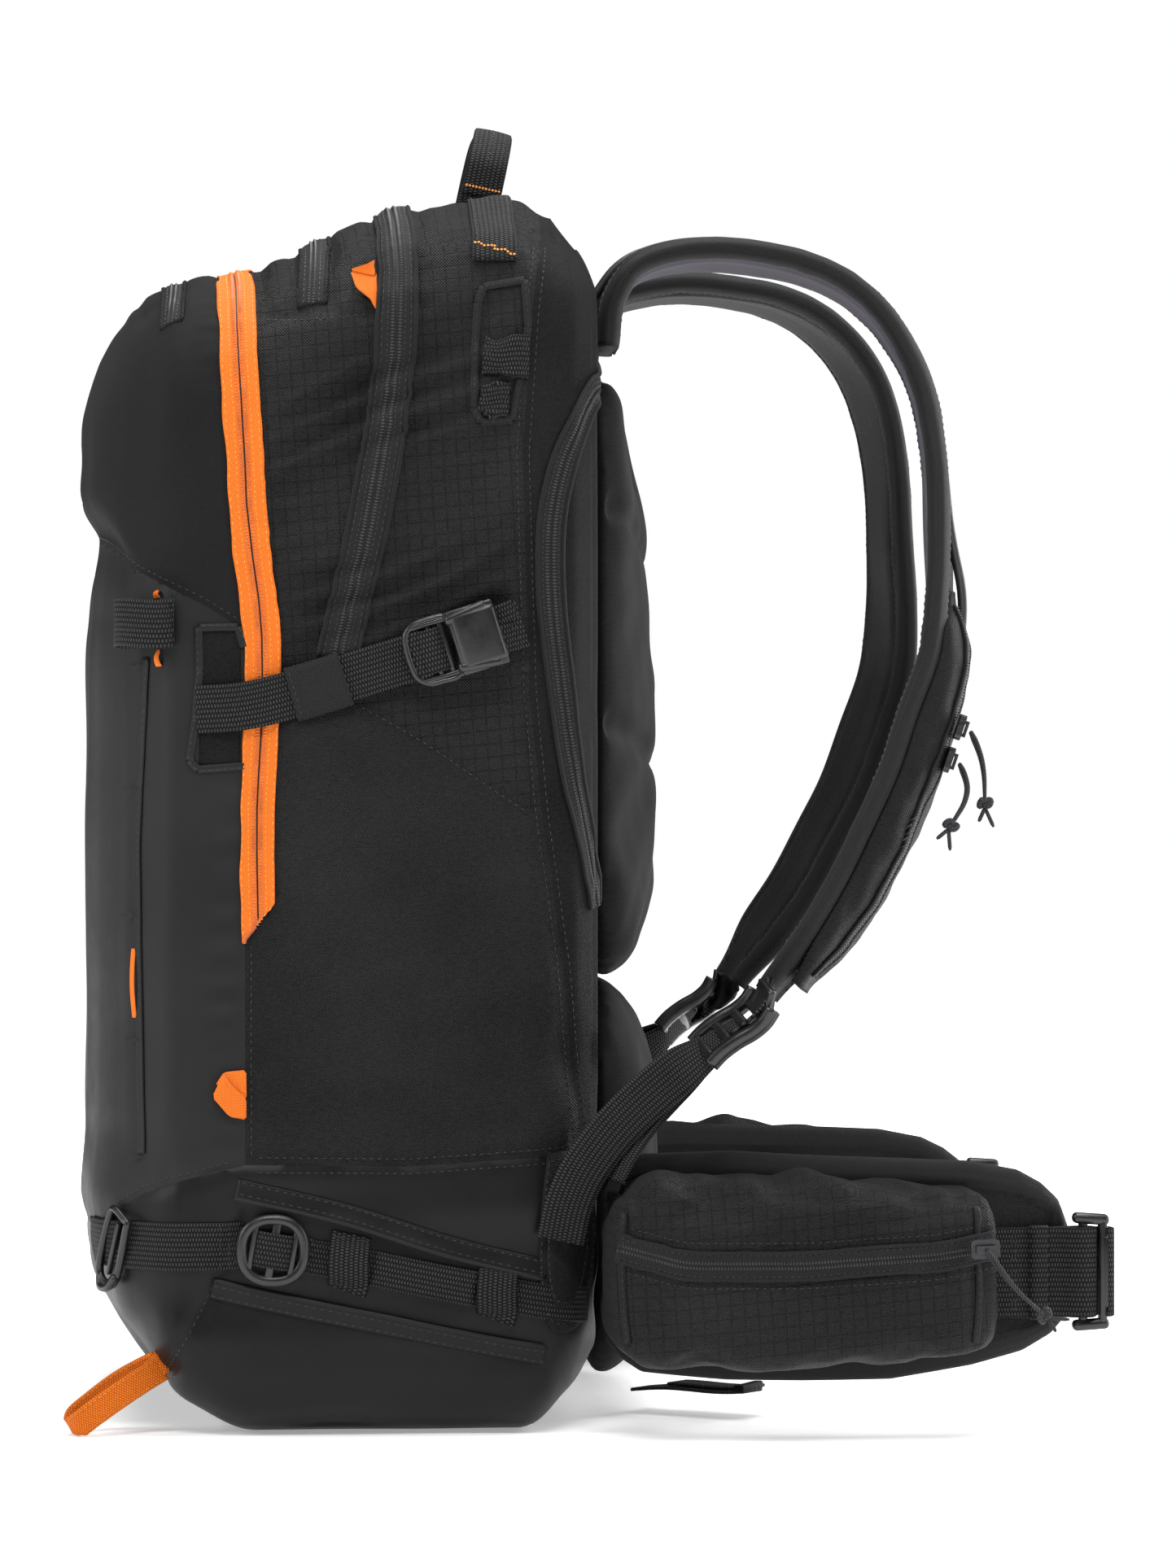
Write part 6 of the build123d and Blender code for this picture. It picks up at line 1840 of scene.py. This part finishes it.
# ------------------------------------------------------------------ padded fabric
def puffed(verts, faces, voxel, pressure, cap, pinned=None, frames=20, shrink=0.0, stiff=15.0, bend=0.5):
    """Remeshes a closed form and lets cloth under pressure fill it out. No point moves more than cap mm."""
    v, f = remeshed(verts, faces, voxel)
    me = bpy.data.meshes.new("cloth_work")
    me.from_pydata((v * 0.001).tolist(), [], f)
    me.update()
    ob = bpy.data.objects.new("cloth_work", me)
    scene.collection.objects.link(ob)
    mod = ob.modifiers.new("cloth", "CLOTH")
    s = mod.settings
    s.quality = 5
    s.mass = 0.3
    s.use_pressure = True
    s.uniform_pressure_force = pressure
    s.effector_weights.gravity = 0.0
    s.tension_stiffness = s.compression_stiffness = stiff
    s.shear_stiffness = 5.0
    s.bending_stiffness = bend
    s.shrink_min = shrink
    mod.collision_settings.use_collision = False
    if pinned is not None:
        g = ob.vertex_groups.new(name="pin")
        w = pinned(v)
        for i in np.flatnonzero(w > 0.01):
            g.add([int(i)], float(w[i]), "REPLACE")
        s.vertex_group_mass = "pin"
    mod.point_cache.frame_start, mod.point_cache.frame_end = 1, frames
    for fr in range(1, frames + 1):
        scene.frame_set(fr)
    dg = bpy.context.evaluated_depsgraph_get()
    res = bpy.data.meshes.new_from_object(ob.evaluated_get(dg))
    out = np.zeros(len(res.vertices) * 3)
    res.vertices.foreach_get("co", out)
    out = out.reshape(-1, 3) * 1000
    bpy.data.objects.remove(ob)
    bpy.data.meshes.remove(me)
    bpy.data.meshes.remove(res)
    scene.frame_set(1)
    if not np.isfinite(out).all():
        return v, f
    move = out - v
    dist = np.linalg.norm(move, axis=1, keepdims=True)
    return v + move * np.minimum(1, cap / np.maximum(dist, 1e-6)), f


def smoothed_mesh(v, f, rounds=2, k=0.5):
    e = set()
    for p in f:
        for a, b in zip(p, p[1:] + p[:1]):
            e.add((min(a, b), max(a, b)))
    e = np.array(sorted(e))
    deg = np.bincount(e.ravel(), minlength=len(v)).astype(float)[:, None]
    v = np.array(v)
    for _ in range(rounds):
        acc = np.zeros_like(v)
        np.add.at(acc, e[:, 0], v[e[:, 1]])
        np.add.at(acc, e[:, 1], v[e[:, 0]])
        v = v * (1 - k) + acc / np.maximum(deg, 1) * k
    return v


def split_up(ob):
    m = ob.modifiers.new("fine", "SUBSURF")
    m.levels = m.render_levels = 1
    return ob


def pad_form(stations, x0):
    """A closed pad on the bag's back: stations are (x, z low, z high, half width, corner radius)."""
    rings = []
    for x, zb, zt, w, r in stations:
        r = min(r, w - 1, (zt - zb) / 2 - 1)
        pts = []
        for cy, cz_, a0 in ((w - r, zt - r, 0), (-w + r, zt - r, 90), (-w + r, zb + r, 180), (w - r, zb + r, 270)):
            for a in np.linspace(a0, a0 + 90, 12):
                pts.append((x, cy + r * math.cos(math.radians(a)), cz_ + r * math.sin(math.radians(a))))
        rings.append(np.array(pts))
    c0, c1 = rings[0].mean(0), rings[-1].mean(0)
    v = np.concatenate([c0[None], *rings, c1[None]])
    m = 48
    f = []
    for j in range(m):
        f.append((0, 1 + (j + 1) % m, 1 + j))
    for i in range(len(rings) - 1):
        for j in range(m):
            jj = (j + 1) % m
            f.append((1 + i * m + j, 1 + i * m + jj, 1 + (i + 1) * m + jj, 1 + (i + 1) * m + j))
    last = 1 + (len(rings) - 1) * m
    for j in range(m):
        f.append((last + j, last + (j + 1) % m, len(v) - 1))
    return v, outward(v, f)


# back panel: an upper pad with a spine channel and two slanted channels
bpv, bpf = pad_form([(4.6, 190, 450, 110, 46), (10.0, 189, 451, 111, 48), (17.0, 190, 446, 106, 48), (24.0, 193, 430, 98, 46), (29.0, 200, 400, 86, 40)], 4.6)
bv_, bf_ = puffed(bpv, bpf, 4.6, 3.2, 6.0, pinned=lambda p: (p[:, 0] < 7.5).astype(float))
bv_ = smoothed_mesh(bv_, bf_, 2)


def channels(v, f, lines, width, depth):
    """Presses sewn channels into the outer face along (y, z) lines."""
    n = vertex_normals(v, f)
    d = np.zeros(len(v))
    for pts, w_, dep in lines:
        dist = line_dist(v[:, 1], v[:, 2], pts)
        d = np.minimum(d, -dep * bell(dist, w_))
    out = np.array(v)
    out[:, 0] += d * step01(n[:, 0], 0.1, 0.6)
    return out


bv_ = channels(bv_, bf_, [
    ([(0, 190), (0, 460)], 7.0, 7.0),
    ([(-112, 392), (-40, 366), (0, 358)], 4.5, 5.0), ([(112, 392), (40, 366), (0, 358)], 4.5, 5.0),
    ([(-112, 300), (-40, 276), (0, 270)], 4.5, 5.5), ([(112, 300), (40, 276), (0, 270)], 4.5, 5.5),
    ([(-66, 190), (-58, 300), (-66, 460)], 3.5, 2.6), ([(66, 190), (58, 300), (66, 460)], 3.5, 2.6),
], 5, 5)
nb = vertex_normals(bv_, bf_)
bv_ = bv_ + nb * (0.9 * waves(bv_, 42, 41) + 0.35 * waves(bv_, 15, 42))[:, None] * step01(bv_[:, 0], 6, 12)[:, None]
bv_[:, 0] -= 3.0 * step01(bv_[:, 2], 310, 345) * step01(bv_[:, 0], 16, 28)
bv_[:, 0] = np.clip(bv_[:, 0], 5.3, 36.5)
ob = split_up(make("back_pad", bv_, bf_, "pack", ("pad",), replaces=("back_panel",)))

lpv, lpf = pad_form([(4.6, 16, 188, 96, 30), (11.0, 15, 189, 97, 32), (20.0, 20, 182, 92, 34), (28.0, 28, 172, 84, 34), (34.0, 40, 158, 70, 30)], 4.6)
lv_, lf_ = puffed(lpv, lpf, 4.6, 3.6, 6.0, pinned=lambda p: (p[:, 0] < 7.5).astype(float))
lv_ = smoothed_mesh(lv_, lf_, 2)
lv_ = channels(lv_, lf_, [
    ([(0, 10), (0, 195)], 6.5, 6.0),
    ([(-98, 100), (0, 100), (98, 100)], 4.0, 3.6),
    ([(-56, 10), (-52, 195)], 3.5, 3.0), ([(56, 10), (52, 195)], 3.5, 3.0),
], 5, 5)
nb = vertex_normals(lv_, lf_)
lv_ = lv_ + nb * (0.8 * waves(lv_, 36, 43) + 0.3 * waves(lv_, 14, 44))[:, None] * step01(lv_[:, 0], 6, 12)[:, None]
lv_[:, 0] = np.clip(lv_[:, 0], 5.3, 41.0)
ob = split_up(make("lumbar", lv_, lf_, "pack", ("pad",), replaces=("lumbar_pad",)))

# ------------------------------------------------------------------ hip belt
WING = np.array([(10, -118), (40, -133), (80, -144), (120, -149), (165, -148), (203, -140)], float)
wing_c = spline([(x, y, 0) for x, y in WING], 1.5)
wing_t = tangents(wing_c)
wing_n = np.column_stack([wing_t[:, 1], -wing_t[:, 0], np.zeros(len(wing_t))])   # outwards, away from the wearer
TOPZ = np.array([(9, 104), (16, 111.5), (24, 116), (60, 118), (92, 116.5), (130, 115.3), (160, 114), (180, 110), (190, 104.5), (197, 98), (202, 86), (203, 80)], float)
LOWZ = np.array([(9, 38), (16, 30), (24, 25), (58, 23), (90, 23.2), (126, 24), (160, 29.5), (182, 35), (194, 41.5), (202, 50), (203, 56)], float)


def wing_shape():
    m = 64
    ang = np.linspace(0, 2 * math.pi, m, endpoint=False)
    ca_, sa_ = np.cos(ang), np.sin(ang)
    vs_, rows_ = [], []
    k = len(wing_c)
    for i in range(k):
        x = wing_c[i, 0]
        hi_, lo2 = np.interp(x, TOPZ[:, 0], TOPZ[:, 1]), np.interp(x, LOWZ[:, 0], LOWZ[:, 1])
        end_ = np.clip((203 - x) / 5.0, 0.0, 1.0) ** 0.5
        start_ = np.clip((x - 9) / 4.0, 0.1, 1.0) ** 0.5
        half_h, mid_ = (hi_ - lo2) / 2, (hi_ + lo2) / 2
        b_ = half_h * np.sign(ca_) * np.abs(ca_) ** (2 / 7.0)
        th2 = 6.0 * max(end_, 0.25) * start_
        h_ = th2 * np.sign(sa_) * np.abs(sa_) ** (2 / 3.4)
        h_ = h_ * (1 - 0.28 * (np.abs(b_) / half_h) ** 8)
        p = wing_c[i] + wing_n[i] * h_[:, None]
        p[:, 2] = mid_ + b_
        vs_.append(p)
        rows_.append(np.column_stack([np.full(m, x), b_, h_, np.full(m, half_h)]))
    v = np.concatenate(vs_)
    f = []
    for i in range(k - 1):
        for j in range(m):
            jj = (j + 1) % m
            f.append((i * m + j, (i + 1) * m + j, (i + 1) * m + jj, i * m + jj))
    f += [tuple(range(m)), tuple((k - 1) * m + j for j in range(m))[::-1]]
    return v, outward(v, f), np.concatenate(rows_)


wv, wf, wr = wing_shape()
wn0 = vertex_normals(wv, wf)
edge_d = np.minimum(wr[:, 3] - np.abs(wr[:, 1]), (203 - wr[:, 0]))
wd = 0.6 * waves(wv, 34, 51) * step01(edge_d, 9, 16)
wd += 0.7 * step01(-edge_d, -9.5, -8.5) - 0.8 * bell(edge_d - 10.5, 1.6)
# channels in the lining
inn = step01(-wr[:, 2], 1.0, 4.0)
wd -= 1.4 * inn * (bell(wr[:, 1] - 14, 2.4) + bell(wr[:, 1] + 16, 2.4)) * step01(edge_d, 8, 14)
wv = wv + wn0 * wd[:, None]
s_u = np.concatenate([np.full(64, a) for a in arc_len(wing_c)])
fe = np.array([np.mean(edge_d[list(f)]) for f in wf])
fi = np.array([np.mean(wr[list(f), 2]) for f in wf])
wmat = np.where(fe < 9.2, 1, np.where(fi < 0, 2, 0))
wing_tree = tree_of(wv, wf)
around_v = np.where(fe[0] < 0, 0, 0)
for side_name, sgn in (("right", 1), ("left", -1)):
    vv_ = wv if sgn > 0 else mirror_y(wv)
    ff_ = wf if sgn > 0 else [f[::-1] for f in wf]
    if sgn < 0:
        vv_[:, 2] -= 7.5 * step01(vv_[:, 2], 62, 116)
    tapv = np.where(wr[:, 0] > 190, wr[:, 1], edge_d)
    tapu = np.where(wr[:, 0] > 194, wr[:, 1], s_u)
    o_ = make("belt_wing_pad_" + side_name, vv_, ff_, "belt_" + side_name, ("strap", "tape", "pad"), wmat, True, tapu, wr[:, 2] + edge_d, ("belt_wing_" + side_name,))

# belt pocket: a zipped pouch whose top is slack
def pouch():
    m = 72
    ang = np.linspace(0, 2 * math.pi, m, endpoint=False)
    ca_, sa_ = np.cos(ang), np.sin(ang)
    rings = []
    xs_ = np.concatenate([np.linspace(6.5, 20, 9), np.linspace(20, 154, 46)[1:], np.linspace(154, 169.5, 10)[1:]])
    for x in xs_:
        hi_ = np.interp(x, [6, 9, 14, 24, 46, 90, 130, 157, 163, 167, 170], [88, 97, 105.5, 109.5, 111.5, 110.5, 108.0, 104.5, 101.0, 92.0, 78.0])
        lo2 = np.interp(x, [6, 9, 14, 24, 39, 90, 130, 157, 163, 167, 170], [50, 41, 35.5, 31, 29.5, 29.5, 31.5, 35.0, 39.0, 45.0, 55.0])
        back_ = np.interp(x, WING[:, 0], WING[:, 1]) - 5.5
        out_ = np.interp(x, [6, 12, 26, 60, 130, 158, 164, 170], [-163, -175, -184.5, -187.5, -187.5, -185.0, -180.0, -168.0])
        cy_, hy = (back_ + out_) / 2, (back_ - out_) / 2
        cz_, hz = (hi_ + lo2) / 2, (hi_ - lo2) / 2
        p = np.column_stack([np.full(m, x), cy_ + hy * np.sign(ca_) * np.abs(ca_) ** 0.42, cz_ + hz * np.sign(sa_) * np.abs(sa_) ** 0.42])
        rings.append(p)
    v = np.concatenate([rings[0].mean(0)[None], *rings, rings[-1].mean(0)[None]])
    f = []
    for j in range(m):
        f.append((0, 1 + (j + 1) % m, 1 + j))
    for i in range(len(rings) - 1):
        for j in range(m):
            jj = (j + 1) % m
            f.append((1 + i * m + j, 1 + i * m + jj, 1 + (i + 1) * m + jj, 1 + (i + 1) * m + j))
    last = 1 + (len(rings) - 1) * m
    for j in range(m):
        f.append((last + j, last + (j + 1) % m, len(v) - 1))
    return v, outward(v, f)


def zip_z(x):
    return interp(x, [1, 38, 88, 138, 170], [83, 75, 75, 78, 82.5])


pov, pof = pouch()
qv, qf = puffed(pov, pof, 3.6, 3.0, 3.2, pinned=lambda p: (p[:, 1] > np.interp(p[:, 0], WING[:, 0], WING[:, 1]) - 9.0).astype(float), shrink=-0.045, stiff=12.0, bend=0.15)
qv = smoothed_mesh(qv, qf, 2)
qn = vertex_normals(qv, qf)
x, y, z = qv.T
outer = step01(-qn[:, 1], 0.35, 0.8)
d = -1.3 * bell(z - zip_z(x), 4.0) * outer
d -= 0.9 * bell(z - zip_z(x) - 8.5, 2.2) * outer
d -= 0.9 * bell(z - zip_z(x) + 8.5, 2.0) * outer
topw = step01(z - zip_z(x), 8, 22)
cr = waves(np.column_stack([x * 0.45 + z * 0.4, y * 0.5, z * 1.1]), 13, 61)
cr2 = waves(np.column_stack([x * 0.9, y, z * 1.4]), 22, 62)
d += topw * (1.15 * cr + 1.2 * cr2)
# pleats running from the top seam
for (xa, za, xb, zb_, dep, w_) in ((14, 101, 60, 95, 1.8, 2.4), (30, 106, 74, 104.5, 1.6, 2.0), (72, 104, 150, 101, 2.2, 2.6), (96, 110, 158, 101, 1.4, 2.0), (8, 88, 40, 99, 1.3, 2.2), (120, 92, 162, 97, 1.2, 2.2)):
    ds = line_dist(x, z, [(xa, za), (xb, zb_)])
    d -= dep * bell(ds, w_) * outer
    ds2 = line_dist(x, z, [(xa, za - 4.5), (xb, zb_ - 4.5)])
    d += 0.7 * dep * bell(ds2, w_ * 1.2) * outer
d += (1 - topw) * 0.7 * waves(qv, 34, 63) + 0.25 * waves(qv, 12, 64)
d -= 1.1 * bell(x - 157.5, 1.8) * step01(-qn[:, 1], 0.1, 0.5)
d -= 0.9 * bell(x - 12.5, 1.8) * step01(-qn[:, 1], 0.1, 0.5)
d = np.where(y > np.interp(x, WING[:, 0], WING[:, 1]) - 9, 0, d)
qv = qv + qn * d[:, None]
qv[:, 1] = np.maximum(qv[:, 1], -193.2)
pouch_tree = tree_of(qv, qf)
for side_name, sgn in (("right", 1), ("left", -1)):
    vv_ = qv if sgn > 0 else mirror_y(qv)
    ff_ = qf if sgn > 0 else [tuple(f)[::-1] for f in qf]
    o_ = split_up(make("belt_pouch_" + side_name, vv_, ff_, "belt_" + side_name, ("ripstop",), replaces=("belt_pocket_" + side_name,)))


def pouch_line(poly, step=2.0, curved=True):
    p = np.array([(x, 0, z) for x, z in poly], float)
    p = spline(p, step) if curved else resample(p, step)
    out = []
    for x, _, z in p:
        q = pouch_tree.ray_cast(Vector((x, -260, z)), Vector((0, 1, 0)))[0]
        if q is not None:
            out.append(q[:])
    return np.array(out)


bp = []
zl = pouch_line([(x, float(zip_z(x))) for x in np.linspace(10, 166, 20)])
zb2 = Band(zl, 11.0, 0.7, 0.25, 9, tree=pouch_tree)
bp.append(zb2.part(0))
bp += [(*p[:4], 1) for p in coil(zb2, (1,), 1.3, 1.1, 0.85)]
for o in (-4.4, 4.4):
    bp.append(stitches(zb2.row(o), zb2.nn, 1.8, 0.9, 0.45, 0.3, 2))
for o in (-1, 1):
    bp.append((*tube(zb2.row(o * 5.5, 0.6), 0.85, 6), 0))
for dz in (9.2, -9.4):
    l3 = pouch_line([(x, float(zip_z(x)) + dz) for x in np.linspace(10, 166, 20)])
    b3 = Band(l3, 2.0, 0.01, 0.05, 3, tree=pouch_tree)
    bp.append(stitches(b3.row(0, 0.1), b3.nn, 2.1, 1.0, 0.5, 0.35, 2))
for poly in ([(157.5, 98), (158.5, 60), (157.0, 42)], [(12.5, 96), (11.5, 66), (14.0, 42)]):
    l3 = pouch_line(poly)
    if len(l3) > 3:
        b3 = Band(l3, 3.4, 0.7, 0.2, 3, tree=pouch_tree)
        bp.append(b3.part(0))
        bp.append(stitches(b3.row(0), b3.nn, 2.1, 1.0, 0.5, 0.35, 2))
both_sides("belt_pouch_zip", bp, "belt_right", ("tape", "coil", "thread_grey"), body_l="belt_left")

# belt webbing and frame buckle
wbp = spline([(166, -155.6, 68), (178, -154.4, 68), (190, -152.6, 68), (198, -153.2, 68), (203.5, -155.6, 68), (208.5, -156.4, 68), (212.0, -153.6, 68), (212.3, -149.9, 68), (208.6, -147.2, 68), (203.0, -148.0, 68), (196.0, -150.2, 68)], 1.5)
tt_ = tangents(wbp)
nn_ = np.cross(tt_, [0, 0, 1.0])
if nn_[2] @ YN < 0:
    nn_ = -nn_
bw = [strip(wbp, nn_, 38.0, 1.7, 0, 17)]
for xs2 in (176.0, 178.5):
    i_ = int(np.argmin(np.abs(wbp[:12, 0] - xs2)))
    bw.append(stitches([wbp[i_] + nn_[i_] * 1.0 + np.array([0, 0, -17]), wbp[i_] + nn_[i_] * 1.0 + np.array([0, 0, 17])], [nn_[i_], nn_[i_]], 2.0, 1.0, 0.5, 0.4, 1))
kp_ = [(184.5, -154.9, 68), (187.5, -154.6, 68), (192.0, -154.2, 68)]
bw.append(strip(kp_, [YN, YN, YN], 39.5, 2.6, 0, 9))
both_sides("belt_web", bw, "belt_right", ("web", "thread_grey"), ("belt_webbing_right",), ("belt_webbing_left",), body_l="belt_left")

bk = []
bar_c = np.array([207.5, -151.5, 68.0])
ex, ez, ey = np.array([1.0, 0, 0]), np.array([0, 0, 1.0]), YN
bk.append((*tube(np.array([bar_c + ez * s for s in np.linspace(-24.2, 24.2, 20)]), 2.0, 14), 0))
for s_ in (-1, 1):
    side_pts = [bar_c + ex * -3.0 + ez * s_ * 22.2, bar_c + ex * 4 + ez * s_ * 22.6, bar_c + ex * 9.0 + ez * s_ * 21.6]
    bk.append(rbox(bar_c + ex * 3.2 + ez * s_ * 22.2, unit(ex - ez * 0.07 * s_), ey, unit(ez + ex * 0.07 * s_), (15.5, 6.6, 4.6), 1.9))
bk.append(rbox(bar_c + ex * 8.3, ex, ey, ez, (3.6, 6.4, 47.0), 1.5))
bk.append(rbox(bar_c + ex * 8.8 + ey * 2.2, unit(ex + ey * 0.5), unit(ey - ex * 0.5), ez, (5.0, 2.2, 30.0), 0.9))
both_sides("belt_frame", bk, "belt_buckle_right", ("plastic",), ("belt_buckle_right",), ("belt_buckle_left",), body_l="belt_buckle_left")
fw = spline([bar_c + ex * 5.6 + ey * -2.6, bar_c + ex * 9.6 + ey * -3.6, bar_c + ex * 12.0 + ey * -1.6, bar_c + ex * 12.2 + ey * 1.8, bar_c + ex * 9.8 + ey * 3.6], 0.8)
fn = np.cross(tangents(fw), ez)
if fn[len(fn) // 2] @ ex < 0:
    fn = -fn
both_sides("belt_free_end", [strip(fw, fn, 37.5, 1.6, 0, 17)], "belt_buckle_right", ("web",), body_l="belt_buckle_left")


# ------------------------------------------------------------------ finishes of the CAD nodes that stay
FINISH = {
    "airbag_folded": "airbag", "battery_cells": "cell", "control_board": "board", "frame_sheet": "sheet", "frame_stay": "alloy",
    "impeller": "case", "inflator_case_front": "case", "inflator_case_rear": "case", "motor": "steel", "outlet_duct": "case",
    "power_button": "plastic", "supercapacitors": "steel", "trigger_cable": "rubber", "trigger_handle": "trigger",
    "belt_zip_slider_right": "metal", "belt_zip_slider_left": "metal", "strap_zip_slider_upper": "metal", "strap_zip_slider_lower": "metal",
}
for node, look in FINISH.items():
    o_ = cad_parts[node]
    if not o_.material_slots:
        o_.data.materials.append(M[look])
    for s_ in o_.material_slots:
        s_.material = M[look]


# ------------------------------------------------------------------ studio
def emit_plane(name, loc, target, size, power, color=(1, 1, 1)):
    d = bpy.data.lights.new(name, "AREA")
    d.shape = "RECTANGLE"
    d.size, d.size_y = size
    d.energy = power
    d.color = color
    o = bpy.data.objects.new(name, d)
    scene.collection.objects.link(o)
    o.location = loc
    o.rotation_euler = (Vector(target) - Vector(loc)).to_track_quat("-Z", "Y").to_euler()
    return o


world = bpy.data.worlds.new("studio")
world.use_nodes = True
wt_ = world.node_tree
wt_.nodes["Background"].inputs[0].default_value = (1, 1, 1, 1)
seen = wt_.nodes.new("ShaderNodeLightPath")
level = wt_.nodes.new("ShaderNodeMath")
level.operation = "MULTIPLY_ADD"
level.inputs[1].default_value = 0.94
level.inputs[2].default_value = 0.06
wt_.links.new(seen.outputs["Is Camera Ray"], level.inputs[0])
wt_.links.new(level.outputs[0], wt_.nodes["Background"].inputs[1])
scene.world = world
emit_plane("key", (-2.3, -0.7, 1.3), (-0.05, 0, 0.28), (0.9, 1.2), 34)
emit_plane("over_front", (-0.2, -1.7, 2.3), (0, 0, 0.28), (1.4, 0.5), 40)
emit_plane("fill", (2.3, -1.0, 0.9), (0, 0, 0.28), (0.8, 1.4), 20)
emit_plane("rim_right", (1.7, 0.9, 0.8), (0.05, 0, 0.3), (0.9, 1.6), 30)
emit_plane("top", (0.1, 0.1, 2.3), (0, 0, 0.3), (1.8, 1.6), 70)

floor_nodes = Nodes("floor_paper")
fl_grain = floor_nodes.noise(floor_nodes.coords().outputs["Object"], 60.0, 3.0)
floor_mat = floor_nodes.done(floor_nodes.mix(fl_grain, (0.93, 0.93, 0.93), (0.95, 0.95, 0.95)), 0.8, floor_nodes.bump(fl_grain, 0.0002, 0.1), Emission_Color=(1, 1, 1), Emission_Strength=0.5)
# the paper glows a little more far away, so that it runs into the white behind
fx_, fy_, _ = floor_nodes.sep(floor_nodes.coords().outputs["Object"])
far_ = floor_nodes.math("SQRT", floor_nodes.math("ADD", floor_nodes.math("POWER", fx_, 2.0), floor_nodes.math("POWER", fy_, 2.0)))
floor_nodes.link(floor_nodes.ramp(far_, 0.35, 1.5, 0.30, 0.95), floor_nodes.bsdf.inputs["Emission Strength"])
fm_ = bpy.data.meshes.new("floor")
fm_.from_pydata([(-6, -6, -0.0004), (6, -6, -0.0004), (6, 6, -0.0004), (-6, 6, -0.0004)], [], [(0, 1, 2, 3)])
fm_.materials.append(floor_mat)
floor = bpy.data.objects.new("floor", fm_)
scene.collection.objects.link(floor)
scene.view_settings.view_transform = "Standard"
